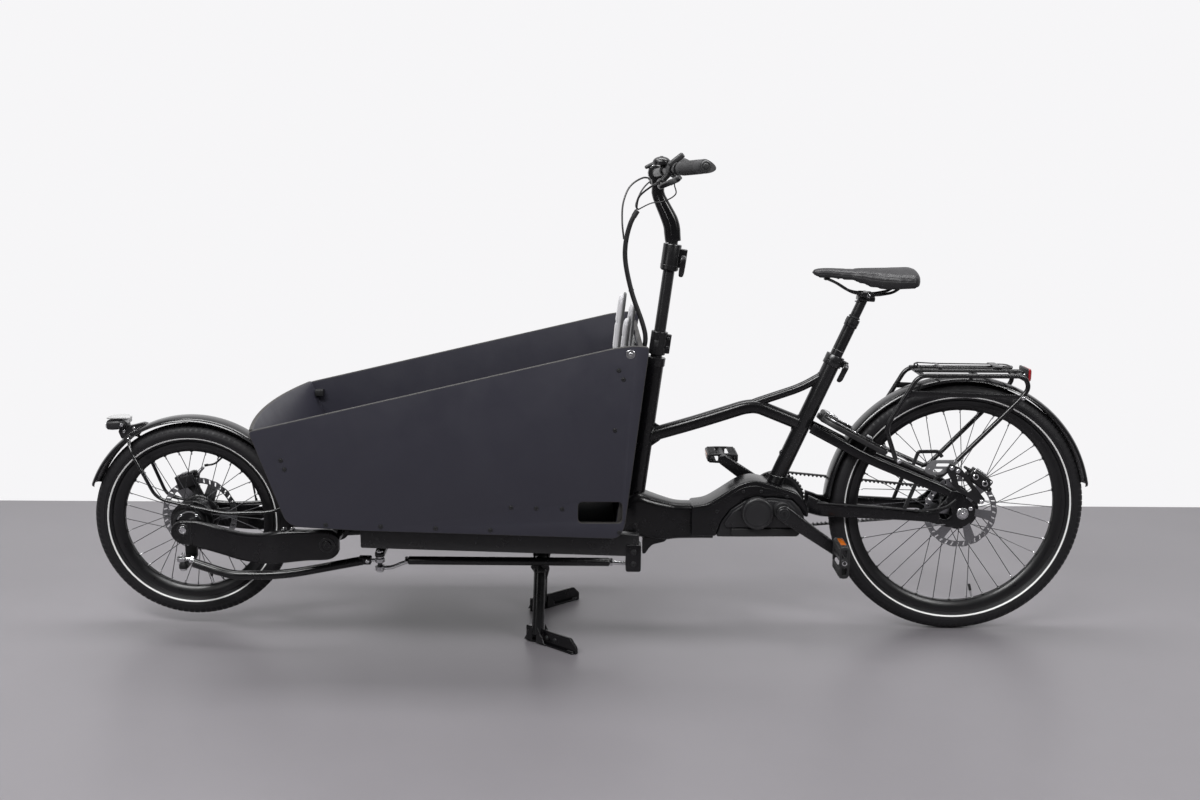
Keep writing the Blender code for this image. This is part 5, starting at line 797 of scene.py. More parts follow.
def wire_spokes(piece, centre, count, flange, flange_y, rim_radius, lean, reach):
    """Crossed spokes with elbows at the flange; the rows alternate inside and outside."""
    rows = [(-flange_y - 0.0013, -0.0035, 1), (flange_y + 0.0013, 0.0035, -1),
        (-flange_y + 0.0013, -0.0035, -1), (flange_y - 0.0013, 0.0035, 1)]
    for i in range(count):
        y0, y1, way = rows[i % 4]
        rim_a = math.tau * i / count
        hub_a = rim_a + way * lean
        start = centre + Vector((flange * math.cos(hub_a), y0, flange * math.sin(hub_a)))
        end = centre + Vector((rim_radius * math.cos(rim_a), y1 * 0.8, rim_radius * math.sin(rim_a)))
        piece.add(tube([start, start.lerp(end, 0.4), end], 0.00105, 8), SPOKE)
        outside = math.copysign(1, y0) if abs(y0) > flange_y else -math.copysign(1, y0)
        piece.add(lathe(start + Vector((0, -outside * reach, 0)),
            [(0.0011, 0.0), (0.0011, reach + 0.0006), (0.0022, reach + 0.0002), (0.0019, reach + 0.0012)],
            Vector((0, outside, 0)), 8), SPOKE)


def rotor(name, centre, radius, y0, y1, bore, arms, body, node_name, carrier, sign):
    """Brake disc with curved slots through its band, on a spider with bolts."""
    piece = Piece(name, body)
    mid = (centre.x, centre.z)
    band = radius - 0.0155
    loops = []
    edge = []
    waves = 18
    for i in range(waves * 8):
        a = math.tau * i / (waves * 8)
        edge.append((mid[0] + (radius - 0.0008 + 0.0008 * math.cos(waves * a)) * math.cos(a), mid[1]
            + (radius - 0.0008 + 0.0008 * math.cos(waves * a)) * math.sin(a)))
    loops.append(edge)
    slots = 36
    for i in range(slots):
        a = math.tau * i / slots
        r0, r1 = radius - 0.0128, radius - 0.0032
        da = 0.04 * sign
        width = 0.022
        points = []
        for k in range(5):
            t = k / 4
            r = r0 + (r1 - r0) * t
            points.append((r, a + da * t - width))
        for k in range(5):
            t = 1 - k / 4
            r = r0 + (r1 - r0) * t
            points.append((r, a + da * t + width))
        loops.append([(mid[0] + r * math.cos(b), mid[1] + r * math.sin(b)) for r, b in points])
    inner = bore + 0.012
    for i in range(arms):
        start = math.tau * (i + 0.12) / arms
        end = math.tau * (i + 0.8) / arms
        outline = []
        for k in range(9):
            b = start + (end - start) * k / 8 + 0.1 * sign
            outline.append((mid[0] + band * math.cos(b), mid[1] + band * math.sin(b)))
        for k in range(7):
            b = end - (end - start) * 0.16 - (end - start) * 0.62 * k / 6
            outline.append((mid[0] + inner * math.cos(b), mid[1] + inner * math.sin(b)))
        loops.append(round_outline(outline, 0.004, 3))
    loops.append(hole(mid, bore, 48))
    piece.add(plate(loops, y0, y1, side_view, 0.0003, 1), ROTOR)
    for lo, hi, r0, r1, mat in carrier:
        piece.add(ring_profile([(r0, lo), (r1, lo), (r1, hi), (r0, hi)], centre, 48), mat)
    outer = y1 if sign > 0 else y0
    for i in range(arms):
        a = math.tau * (i + 0.46) / arms
        spot = Vector((mid[0] + (bore + 0.006) * math.cos(a), outer, mid[1] + (bore + 0.006) * math.sin(a)))
        piece.add(bolt(spot, Vector((0, sign, 0)), 0.0036, 0.0018), BRIGHT)
    piece.done(node_name, slot="steel")


def hub_front():
    """Wide hub-centre hub with its spokes."""
    piece = Piece("front_hub_spoked", "front_wheel")
    bore, shell = 0.0406, 0.0466
    section = [(bore, -0.0375), (shell - 0.001, -0.0375), (shell, -0.0365), (shell, -0.0312),
        (0.0545, -0.0308), (0.0555, -0.03), (0.0555, -0.0272), (0.0545, -0.0264), (0.0495, -0.0255),
        (shell, -0.0205), (shell - 0.0012, -0.01)]
    full = section + [(r, -y) for r, y in section[::-1]]
    piece.add(ring_profile(full, FRONT, 96), SATIN)
    for side in (-1, 1):
        for r in (0.0428, 0.0447):
            piece.add(ring_profile([(r - 0.0005, side * 0.0374), (r + 0.0005, side * 0.0374),
                (r, side * 0.0381)], FRONT, 64), DARK)
    wire_spokes(piece, FRONT, FRONT_SPOKES, 0.0505, 0.0285, 0.1832, 0.42, 0.0026)
    piece.done("front_hub", slot="satin_black")


def hub_rear():
    """Gear hub with its spokes."""
    piece = Piece("rear_hub_spoked", "rear_wheel")
    section = [(0.0064, -0.0568), (0.0165, -0.0568), (0.0171, -0.0562), (0.0171, -0.0507),
        (0.0385, -0.0505), (0.0398, -0.0492), (0.0398, -0.0368), (0.0512, -0.0364), (0.052, -0.0356),
        (0.052, -0.0328), (0.0512, -0.032), (0.0415, -0.031), (0.0396, -0.027), (0.0386, 0.0),
        (0.0396, 0.027), (0.0415, 0.031), (0.0512, 0.032), (0.052, 0.0328), (0.052, 0.0356),
        (0.0512, 0.0364), (0.038, 0.0372), (0.0173, 0.0394), (0.0171, 0.0612), (0.0064, 0.0612)]
    piece.add(ring_profile(section, REAR, 96), SATIN)
    for y in (-0.018, -0.009, 0.0, 0.009, 0.018):
        piece.add(ring_profile([(0.0383, y - 0.0008), (0.0392, y - 0.0005), (0.0392, y + 0.0005),
            (0.0383, y + 0.0008)], REAR, 64), DARK)
    wire_spokes(piece, REAR, REAR_SPOKES, 0.047, 0.0342, 0.2597, 0.6, 0.0026)
    piece.done("rear_hub", slot="satin_black")


def wheels():
    """Both wheels with their tyres, rims, hubs and rotors."""
    tyre("front_tyre_dressed", FRONT, FRONT_BEAD, FRONT_RADIUS, TYRE_WIDTH, "front_wheel", 104,
        "front_tyre")
    tyre("rear_tyre_dressed", REAR, REAR_BEAD, REAR_RADIUS, TYRE_WIDTH, "rear_wheel", 134, "rear_tyre")
    rim("front_rim_dressed", FRONT, FRONT_BEAD, "front_wheel", "front_rim", FRONT_SPOKES)
    rim("rear_rim_dressed", REAR, REAR_BEAD, "rear_wheel", "rear_rim", REAR_SPOKES)
    hub_front()
    hub_rear()
    rotor("front_rotor_dressed", FRONT, 0.1, 0.0432, 0.0452, 0.0412, 6, "front_wheel", "front_rotor",
        [(0.0378, 0.0458, 0.0411, 0.0478, DARK)], 1)
    rotor("rear_rotor_dressed", REAR, 0.096, -0.0528, -0.0508, 0.0178, 6, "rear_wheel", "rear_rotor",
        [(-0.0534, -0.0528, 0.0179, 0.03, DARK)], -1)


def from_frame(name, width=0.001, steps=2, angle=35.0):
    """A CAD node's own shape with its flat faces joined and its edges rounded."""
    bm = bmesh.new()
    bm.from_mesh(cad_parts[name].data)
    bmesh.ops.remove_doubles(bm, verts=bm.verts, dist=0.00001)
    bmesh.ops.dissolve_limit(bm, angle_limit=math.radians(0.6), verts=bm.verts, edges=bm.edges)
    if width:
        soften(bm, width, steps, angle)
    return bm


def ring_weld(points, size=0.0017, ripple=0.0046):
    """Weld bead with ripples along a closed line."""
    points = [Vector(p) for p in points]
    length = sum((b - a).length for a, b in zip(points, points[1:] + points[:1]))
    count = max(24, round(length / 0.0012))
    path = []
    run = 0.0
    k = 0
    step = length / count
    for a, b in zip(points, points[1:] + points[:1]):
        span = (b - a).length
        while k * step <= run + span and k < count:
            path.append(a.lerp(b, (k * step - run) / max(span, 1e-9)))
            k += 1
        run += span
    waves = max(6, round(length / ripple))
    shapes = [ring_circle(size * (1 + 0.16 * math.sin(math.tau * waves * i / len(path))), 8)
        for i in range(len(path))]
    return sweep(path, shapes, (0.3, 1, 0.2), closed=True)


def meet(start, along, radius, centre, axis, big, sides=40):
    """Closed line where a tube of one radius runs into a bigger round tube."""
    along, axis = Vector(along).normalized(), Vector(axis).normalized()
    side = along.orthogonal().normalized()
    up = along.cross(side)
    points = []
    for i in range(sides):
        a = math.tau * i / sides
        base = Vector(start) + side * (radius * math.cos(a)) + up * (radius * math.sin(a))
        off = base - Vector(centre)
        u = along - axis * along.dot(axis)
        w = off - axis * off.dot(axis)
        qa, qb, qc = u.dot(u), 2 * u.dot(w), w.dot(w) - big * big
        points.append(base + along * ((-qb - math.sqrt(max(0.0, qb * qb - 4 * qa * qc))) / (2 * qa)))
    return points


# Box

BOX_HALF = 0.3445
BOX_INNER = 0.3325
REAR_BOARD = 0.012                 # thickness of the box's rear board
REAR_CLEAR = 0.0135                # how far ahead of the rear board's outer face the bench and floor end


def front_edge(z):
    """X of the front panel's outer face at the box's side."""
    return FRONT.x + 0.317 - (z - 0.385) / 0.212 * 0.078


def rear_face(z, offset=0.0):
    """X of the rear panel's outer face."""
    return REAR_X - 0.86 + (z - 0.6) * math.tan(STEER_TILT) + offset


def panel_piece(piece, bm, face, edge, axis, limit=0.9):
    """Add a board whose faces along axis show the face and whose rim shows the edge."""
    bm.normal_update()
    bmesh.ops.recalc_face_normals(bm, faces=bm.faces)
    axis = Vector(axis).normalized()
    flat = [f for f in bm.faces if abs(f.normal.dot(axis)) >= limit]
    for material in (face, edge):
        if material not in piece.materials:
            piece.materials.append(material)
    for f in bm.faces:
        f.material_index = piece.materials.index(edge)
        f.smooth = True
    for f in flat:
        f.material_index = piece.materials.index(face)
    mesh = bpy.data.meshes.new("part")
    bm.to_mesh(mesh)
    piece.bm.from_mesh(mesh)
    bpy.data.meshes.remove(mesh)
    bm.free()


def box_side(side):
    """Side board with its edge, window and screws."""
    word = "left" if side < 0 else "right"
    piece = Piece("box_side_" + word + "_dressed", "frame")
    outline = [fore(0.239, 0.597), fore(0.317, 0.385), fore(0.33, 0.3725), fore(0.352, 0.366),
        fore(0.494, deck_top(fore(0.494, 0).x)), at(0.906, deck_top(at(0.906, 0).x)), at(0.892, 0.349),
        at(0.881, 0.371), at(0.828, 0.802), at(0.846, 0.8045), at(0.868, 0.805), at(0.911, 0.799),
        at(0.94, 0.792), at(0.97, 0.785)]
    outline = round_outline(xz(outline), 0.01, 3)
    window = [(REAR_X - d, z) for d, z in ((0.986, 0.381), (0.894, 0.381), (0.888, 0.387), (0.888, 0.426),
        (0.894, 0.432), (0.986, 0.432), (0.992, 0.426), (0.992, 0.387))]
    low, high = sorted((side * BOX_INNER, side * BOX_HALF))
    board = plate([outline, round_outline(window, 0.004, 2)], low, high, side_view, 0.0014, 3)
    panel_piece(piece, board, BOARD, BOARD_EDGE, (0, 1, 0), 0.97)
    out = Vector((0, side, 0))
    face = side * BOX_HALF
    for d, z in ((1.151, 0.418), (1.091, 0.416), (1.03, 0.415), (0.907, 0.606), (0.899, 0.748),
            (0.888, 0.727), (1.691, 0.529), (1.683, 0.507), (0.894, 0.358)):
        piece.add(bolt((REAR_X - d, face, z), out, 0.0038, 0.0021, 6, 0.0052), DARK)
    for d in (1.2, 1.33, 1.46, 1.59):
        piece.add(bolt((REAR_X - d, face, deck_top(REAR_X - d) + 0.012), out, 0.004, 0.0021, 6, 0.0056),
            DARK)
    piece.add(bolt((REAR_X - 0.872, face, 0.786), out, 0.0048, 0.003, 6, 0.0105), STEEL)
    piece.done("box_side_" + word, slot="panel")


def box_front():
    """Bowed front board."""
    piece = Piece("box_front_dressed", "frame")
    count, inner = 28, BOX_INNER - 0.0003
    low, high, thick = 0.3795, 0.6, 0.01
    rings = []
    for i in range(count + 1):
        across = -1 + 2 * i / count
        ring = []
        profile = [(0.0014, low), (0.0, low + 0.0014), (0.0, 0.45), (0.0, 0.52), (0.0, high - 0.002),
            (0.0008, high - 0.0005), (0.002, high), (thick - 0.002, high), (thick - 0.0008, high - 0.0005),
            (thick, high - 0.002), (thick, 0.52), (thick, 0.45), (thick, low + 0.0014),
            (thick - 0.0014, low)]
        for offset, z in profile:
            rise = (z - low) / (high - low)
            bow = (0.006 + 0.028 * rise) * (1 - across ** 2)
            ring.append(Vector((front_edge(z) - bow + offset, inner * across, z)))
        rings.append(ring)
    panel_piece(piece, skin(rings), BOARD, BOARD_EDGE, (1, 0, 0.37), 0.75)
    for side in (-1, 1):
        for z in (0.43, 0.5, 0.57):
            x = front_edge(z) + 0.01 + 0.012
            bracket = block((x, side * (inner - 0.0105), z), (0.022, 0.02, 0.018), None, 0.0015, 2)
            piece.add(bracket, DARK)
    piece.done("box_front", slot="panel")


def box_inside():
    """Rear board, bench and ribbed floor."""
    half = BOX_INNER - 0.0003
    slope = math.atan(DECK_SLOPE)
    x0, x1 = front_edge(0.375) + 0.0145, rear_face(0.35, -REAR_CLEAR)
    middle = (x0 + x1) / 2
    piece = Piece("box_floor_dressed", "frame")
    lean = Matrix.Rotation(slope, 3, "Y")
    board = block((middle, 0, deck_top(middle) + 0.0063), ((x1 - x0) / math.cos(slope), 2 * half - 0.001,
        0.0119), lean, 0.0012, 2)
    panel_piece(piece, board, BOARD, BOARD_EDGE, (0, 0, 1), 0.9)
    for x in (-0.66, -0.44, -0.27, -0.12):
        for y in (-0.29, 0.29):
            piece.add(bolt((x, y, deck_top(x) + 0.0122), (math.sin(slope), 0, math.cos(slope)), 0.0052,
                0.0024, 6, 0.0085), DARK)
    for k in range(14):
        x = -0.665 + k * 0.0315
        piece.add(block((x, 0, deck_top(x) + 0.0127), (0.01, 0.56, 0.0016), lean, 0.0006, 1), RUBBER)
    piece.done("box_floor", slot="panel")
    piece = Piece("box_rear_dressed", "frame")
    low, high = 0.3445, 0.782
    rear = [(rear_face(low), low), (rear_face(high), high), (rear_face(high, -REAR_BOARD), high),
        (rear_face(low, -REAR_BOARD), low)]
    board = plate([rear], -half, half, side_view, 0.0013, 3)
    panel_piece(piece, board, BOARD, BOARD_EDGE, (math.cos(STEER_TILT), 0, -math.sin(STEER_TILT)), 0.9)
    for y in (-0.3, -0.1, 0.1, 0.3):
        for z in (0.4, 0.74):
            piece.add(bolt((rear_face(z, -REAR_BOARD), y, z), (-1, 0, 0.13), 0.0046, 0.0022, 6, 0.0075),
                DARK)
    for z in (0.64, 0.7):
        piece.add(bolt((rear_face(z), 0.055, z), (1, 0, -0.13), 0.0046, 0.0026, 6, 0.0075), DARK)
        piece.add(bolt((rear_face(z), -0.055, z), (1, 0, -0.13), 0.0046, 0.0026, 6, 0.0075), DARK)
    piece.done("box_rear", slot="panel")
    piece = Piece("bench_dressed", "frame")
    inner, top, thick = half - 0.0003, 0.56, 0.012
    xf = REAR_X - 1.176
    foot = deck_top(xf) + 0.0129
    front = plate([[(xf, foot), (xf, top - thick - 0.0002), (xf + thick, top - thick - 0.0002),
        (xf + thick, foot)]], -inner, inner, side_view, 0.0012, 2)
    panel_piece(piece, front, BOARD, BOARD_EDGE, (1, 0, 0), 0.9)
    rear_x = rear_face(top - thick / 2, -REAR_CLEAR)
    lid = plate([round_outline([(xf, -inner), (rear_x, -inner), (rear_x, inner), (xf, inner)], 0.003, 2),
        hole((xf + 0.045, 0.0), 0.014, 28)], top - thick, top, lambda a, b, c: Vector((a, b, c)), 0.0013, 3)
    panel_piece(piece, lid, BOARD, BOARD_EDGE, (0, 0, 1), 0.95)
    for y in (-0.2, 0.2):
        hinge = block((rear_x - 0.03, y, top + 0.0009), (0.05, 0.038, 0.0022), None, 0.0005, 1)
        piece.add(hinge, STEEL)
        for a, b in ((-0.045, -0.011), (-0.045, 0.011), (-0.018, -0.011), (-0.018, 0.011)):
            piece.add(bolt((rear_x + a, y + b, top + 0.0018), AXIS_Z, 0.0028, 0.0011, 4), STEEL)
    piece.done("bench", slot="panel")


def box():
    """The whole box."""
    box_side(-1)
    box_side(1)
    box_front()
    box_inside()


# Frame

def loft(rows, corner=0.3, steps=4):
    """Bar from (x, low y, high y, low z, high z) stations with round corners."""
    rings = []
    for x, y0, y1, z0, z1 in rows:
        shape = rounded(abs(y1 - y0), z1 - z0, corner, steps)
        rings.append([Vector((x, (y0 + y1) / 2 + a, (z0 + z1) / 2 + b)) for a, b in shape])
    return skin(rings)


def eased(rows, count=5):
    """More stations between the given ones, on a smooth curve."""
    result = []
    for i in range(len(rows) - 1):
        p0, p1, p2, p3 = (rows[max(0, min(len(rows) - 1, i + k))] for k in (-1, 0, 1, 2))
        for k in range(count):
            result.append(tuple(spline(*four, k / count) for four in zip(p0, p1, p2, p3)))
    return result + [rows[-1]]


def frame_upper():
    """Top tube, brace, seat tube and head tube."""
    piece = Piece("frame_upper_dressed", "frame")
    low, high, radius = 0.2495, 0.728, 0.0225
    length = (steer(high) - steer(low)).length
    piece.add(lathe(steer(low), [(0.0158, 0.0), (radius - 0.0008, 0.0), (radius, 0.0008),
        (radius, length - 0.0235), (radius + 0.0022, length - 0.0212), (radius + 0.0025, length - 0.02),
        (radius + 0.0025, length - 0.001), (radius + 0.0017, length), (0.0158, length)], STEER_UP, 48,
        closed=True), COAT)
    tube_path = [at(0.824, 0.517), at(0.694, 0.555), at(0.562, 0.598), at(0.53, 0.6), at(0.425, 0.558)]
    piece.add(sweep(bend(tube_path, 0.045, 8), rounded(0.034, 0.036, 0.44, 7)), COAT)
    piece.add(ring_weld(meet(tube_path[1], tube_path[0] - tube_path[1], 0.018, steer(0.5), STEER_UP,
        0.0228)), COAT)
    piece.add(ring_weld(meet(tube_path[3], tube_path[4] - tube_path[3], 0.018, seat(0.5), SEAT_UP, 0.0213)),
        COAT)
    brace = [at(0.575, 0.59), at(0.54, 0.608), at(0.418, 0.65), at(0.36, 0.684)]
    piece.add(sweep(bend(brace, 0.03, 6), ring_circle(0.0115, 24)), COAT)
    piece.add(ring_weld(meet(brace[2], brace[3] - brace[2], 0.0117, seat(0.6), SEAT_UP, 0.0213), 0.0014),
        COAT)
    piece.add(ring_weld([at(0.549, 0.6165, 0.0), at(0.545, 0.612, 0.009), at(0.56, 0.605, 0.0125),
        at(0.58, 0.603, 0.009), at(0.59, 0.6025, 0.0), at(0.58, 0.603, -0.009), at(0.56, 0.605, -0.0125),
        at(0.545, 0.612, -0.009)], 0.0013), COAT)
    web = round_outline(xz((at(0.812, 0.59), at(0.803, 0.56), at(0.782, 0.545), at(0.745, 0.545),
        at(0.745, 0.536), at(0.812, 0.512))), 0.02, 8)
    piece.add(plate([web], -0.0045, 0.0045, side_view, 0.0018, 3), COAT)
    web = round_outline(xz((at(0.822, 0.47), at(0.806, 0.492), at(0.782, 0.508), at(0.77, 0.525),
        at(0.815, 0.52))), 0.012, 6)
    piece.add(plate([web], -0.0045, 0.0045, side_view, 0.0018, 3), COAT)
    foot = seat(0.382)
    post = (seat(0.735) - foot).length
    piece.add(lathe(foot, [(0.0162, 0.0), (0.0203, 0.0), (0.021, 0.0012), (0.021, post - 0.0005),
        (0.0205, post), (0.0162, post)], SEAT_UP, 44, closed=True), COAT)
    piece.add(ring_weld([seat(0.4155) + Vector((0.0215 * math.cos(a) / math.cos(SEAT_TILT), 0.0215
        * math.sin(a), -0.0042 * math.cos(a))) for a in (math.tau * i / 24 for i in range(24))]), COAT)
    collar = seat(0.7095)
    piece.add(lathe(collar, [(0.0213, 0.0), (0.024, 0.0), (0.0245, 0.0008), (0.0245, 0.0105),
        (0.0238, 0.0112), (0.0238, 0.0125), (0.0245, 0.0132), (0.0245, 0.027), (0.024, 0.0278),
        (0.0213, 0.0278)], SEAT_UP, 44, closed=True), SATIN)
    lean = Matrix.Rotation(SEAT_TILT, 3, "Y")
    for side in (-1, 1):
        piece.add(block(seat(SEAT_CLAMP_Z) + lean @ Vector((0.029, side * 0.0058, 0)),
            (0.018, 0.0085, 0.0185), lean, 0.0022, 3), SATIN)
    piece.add(lathe(seat(SEAT_CLAMP_Z) + lean @ Vector((0.032, -0.013, 0)),
        [(0.003, 0.0), (0.003, 0.026), (0.0062, 0.0262), (0.0064, 0.03), (0.005, 0.0312)], AXIS_Y, 20),
        BRIGHT)
    port = steer(0.69) + Vector((-0.0225, 0, 0))
    piece.add(block(port, (0.01, 0.02, 0.046), Matrix.Rotation(STEER_TILT, 3, "Y"), 0.004, 4), RUBBER)
    for dz in (-0.0285, 0.027):
        piece.add(bolt(steer(0.69 + dz) + Vector((-0.0226, 0, 0)), (-1, 0, 0.13), 0.003, 0.0016), DARK)
    for z in (0.47, 0.535):
        piece.add(bolt(seat(z) + lean @ Vector((-0.0208, 0, 0)), lean @ Vector((-1, 0, 0)), 0.0042, 0.0026,
            6, 0.0058), DARK)
    piece.done("frame_upper", slot="frame_black")


def frame_spine():
    """Lower beam with its flared casting, motor cradle and pivot yoke."""
    piece = Piece("frame_spine_dressed", "frame")
    beam_top = lambda x: deck_top(x) - 0.0053
    front = PIVOT.x + 0.02
    rows = [(front, -0.0225, 0.0225, 0.25, 0.3), (front + 0.014, -0.026, 0.026, 0.2515, 0.315),
        (front + 0.035, -0.03, 0.03, 0.2535, 0.335),
        (fore(0.52, 0).x, -0.03, 0.03, 0.2555, beam_top(fore(0.52, 0).x)),
        (at(0.895, 0).x, -0.03, 0.03, 0.2555, beam_top(at(0.895, 0).x))]
    piece.add(loft(rows, 0.12, 4), COAT)
    piece.add(lathe(PIVOT, [(0.0203, -0.045), (0.029, -0.045), (0.03, -0.0438), (0.03, -0.03),
        (0.0292, -0.029), (0.0292, 0.029), (0.03, 0.03), (0.03, 0.0438), (0.029, 0.045), (0.0203, 0.045)],
        AXIS_Y, 56, closed=True), COAT)
    top = beam_top(at(0.88, 0).x)
    casting = [(at(0.899, 0).x, -0.04, 0.04, 0.2555, top),
        (at(0.872, 0).x, -0.045, 0.045, 0.2555, top + 0.016),
        (at(0.84, 0).x, -0.046, 0.046, 0.2545, 0.3745), (at(0.806, 0).x, -0.042, 0.042, 0.249, 0.364),
        (at(0.77, 0).x, -0.036, 0.036, 0.244, 0.352), (at(0.735, 0).x, -0.031, 0.031, 0.247, 0.3435),
        (at(0.69, 0).x, -0.03, 0.03, 0.248, 0.3425), (at(0.64, 0).x, -0.03, 0.03, 0.248, 0.345)]
    piece.add(loft(eased(casting, 6), 0.26, 6), COAT)
    fin = xz((at(0.825, 0.205), at(0.825, 0.262), at(0.745, 0.262), at(0.767, 0.238), at(0.798, 0.23),
        at(0.808, 0.22), at(0.817, 0.205)))
    piece.add(plate([round_outline(fin, 0.004, 3)], -0.019, 0.019, side_view, 0.0025, 3), COAT)
    hood = [at(0.7, 0.3435), at(0.662, 0.35), at(0.628, 0.369), at(0.585, 0.3975), at(0.56, 0.4085),
        at(0.534, 0.412), at(0.5, 0.4045), at(0.464, 0.394), at(0.432, 0.383), at(0.418, 0.371),
        at(0.398, 0.341), at(0.394, 0.315)]
    under = [at(0.405, 0.3156), at(0.416, 0.3386), at(0.44, 0.3626), at(0.49, 0.3686), at(0.556, 0.3626),
        at(0.596, 0.3366), at(0.622, 0.3006), at(0.634, 0.2626), at(0.7, 0.262)]
    outline = xz(catmull(hood, 0.006)) + xz(under)
    piece.add(plate([outline], -0.05, 0.036, side_view, 0.0055, 5), COAT)
    rib = [at(0.655, 0.34), at(0.622, 0.358), at(0.582, 0.385), at(0.556, 0.395), at(0.534, 0.3975),
        at(0.5, 0.3905), at(0.464, 0.38), at(0.436, 0.37)]
    piece.add(tube([p + Vector((0, -0.05, 0)) for p in rib], 0.0014, 10, 0.006), COAT)
    piece.add(tube([at(0.67, z, y) for z, y in ((0.338, -0.03), (0.325, -0.0304), (0.3, -0.0304),
        (0.275, -0.0302))], 0.0011, 8, 0.006), COAT)
    for d, z in ((0.566, 0.3835), (0.52, 0.3845), (0.452, 0.37), (0.634, 0.33)):
        piece.add(bolt((REAR_X - d, -0.05, z), (0, -1, 0), 0.0048, 0.0024, 6), DARK)
        piece.add(bolt((REAR_X - d, 0.036, z), (0, 1, 0), 0.0048, 0.0024, 6), DARK)
    for side in (-1, 1):
        for d, z in ((0.875, 0.3), (0.846, 0.288)):
            piece.add(bolt((REAR_X - d, side * 0.0455, z), (0, side, 0), 0.005, 0.0028, 6, 0.0072), DARK)
    idler_x = FRONT.x + 0.5
    piece.add(lathe((idler_x, 0, 0), [(0.018, 0.2416), (0.019, 0.2426), (0.019, 0.262)], AXIS_Z, 40), COAT)
    piece.add(lathe((idler_x, 0, 0), [(0.005, 0.228), (0.0055, 0.2285), (0.0055, 0.25)], AXIS_Z, 20), STEEL)
    foot = [at(1.116, 0.262), at(1.112, 0.19), at(1.1, 0.172), at(1.084, 0.172), at(1.072, 0.19),
        at(1.06, 0.262)]
    stand_at = (REAR_X - 1.092, 0.195)
    piece.add(plate([round_outline(xz(foot), 0.01, 4), hole(stand_at, 0.0163, 28)], -0.028, 0.028,
        side_view, 0.002, 3), COAT)
    piece.done("frame_spine", slot="frame_black")


def frame_stay(side):
    """Upper and lower stay of one side with the dropout and axle end."""
    word = "left" if side < 0 else "right"
    piece = Piece("frame_stay_" + word + "_dressed", "frame")
    rows = [(0.393, 0.0195, 0.036, 0.322, 0.369), (0.37, 0.0265, 0.043, 0.3175, 0.36),
        (0.348, 0.0325, 0.049, 0.316, 0.3525), (0.28, 0.0365, 0.0525, 0.314, 0.351),
        (0.161, 0.047, 0.063, 0.312, 0.343), (0.095, 0.06, 0.074, 0.311, 0.337),
        (0.06, 0.0675, 0.0745, 0.308, 0.34)]
    rows = [(REAR_X - d, side * y0, side * y1, z0, z1) for d, y0, y1, z0, z1 in rows]
    piece.add(loft(eased(rows, 5), 0.34, 5), COAT)
    upper = [at(0.392, 0.5485, side * 0.032), at(0.32, 0.512, side * 0.0445),
        at(0.235, 0.469, side * 0.0505), at(0.07, 0.403, side * 0.064), at(0.028, 0.384, side * 0.071)]
    path = catmull(upper, 0.012)
    sizes = []
    for p in path:
        share = min(1.0, max(0.0, (REAR_X - p.x - 0.028) / 0.045))
        sizes.append(rounded(0.016 * (0.46 + 0.54 * share), 0.018 + 0.008 * share, 0.4, 5))
    piece.add(sweep(path, sizes), COAT)
    piece.add(tube([at(0.122, 0.412, side * 0.0628), at(0.152, 0.33, side * 0.0592)], 0.0052, 18), COAT)
    low, high = sorted((side * 0.0675, side * 0.0745))
    outline = [at(0.09, 0.312), at(0.085, 0.336), at(0.062, 0.352), at(0.04, 0.376), at(0.034, 0.396),
        at(0.012, 0.392), at(-0.012, 0.372), at(-0.034, 0.352), at(-0.03, 0.318), at(-0.006, 0.298),
        at(0.04, 0.298)]
    loops = [round_outline(xz(outline), 0.009, 4)]
    loops.append(round_outline([(REAR_X - d, z) for d, z in ((0.066, 0.322), (0.06, 0.338), (0.03, 0.352),
        (0.026, 0.33), (0.04, 0.318))], 0.006, 4))
    piece.add(plate(loops, low, high, side_view, 0.0012, 3), COAT)
    face = 0.0745
    piece.add(lathe(REAR + Vector((0, side * face, 0)), [(0.0155, -0.0005), (0.0155, 0.0012),
        (0.0142, 0.0022), (0.0105, 0.0022)], (0, side, 0), 32), STEEL)
    piece.add(lathe(REAR + Vector((0, side * face, 0)), [(0.0098, 0.0015), (0.01, 0.0018), (0.01, 0.0085),
        (0.0088, 0.0098), (0.0056, 0.0098), (0.0052, 0.0125), (0.0046, 0.013)], (0, side, 0), 36,
        {0: 6, 1: 6, 2: 6, 3: 6}), BRIGHT)
    piece.add(lathe(REAR, [(0.006, 0.0275), (0.006, 0.064)], (0, side, 0), 20), STEEL)
    piece.add(lathe(REAR, [(0.01, 0.0636), (0.01, 0.0676)], (0, side, 0), 28), STEEL)
    piece.add(bolt(at(-0.02, 0.348, side * face), (0, side, 0), 0.0042, 0.0028, 6, 0.006), BRIGHT)
    piece.add(bolt(at(0.046, 0.364, side * face), (0, side, 0), 0.0036, 0.0024, 6, 0.0054), DARK)
    piece.add(tube([at(0.076, 0.3055, side * 0.071), at(0.05, 0.3045, side * 0.072),
        at(0.034, 0.306, side * 0.071)], 0.003, 14), STEEL)
    if side < 0:
        piece.add(tube([at(0.372, 0.353, -0.0455), at(0.3, 0.35, -0.053), at(0.2, 0.345, -0.0605),
            at(0.11, 0.342, -0.0735), at(0.05, 0.352, -0.0775), at(0.02, 0.372, -0.0755)], 0.0026, 12,
            0.008), CABLE)
        for d, z, y in ((0.3, 0.35, -0.053), (0.2, 0.345, -0.0605), (0.12, 0.3418, -0.0722)):
            piece.add(block(at(d, z, y), (0.008, 0.0065, 0.0075), None, 0.0012, 2), RUBBER)
    piece.done("frame_stay_" + word, slot="frame_black")


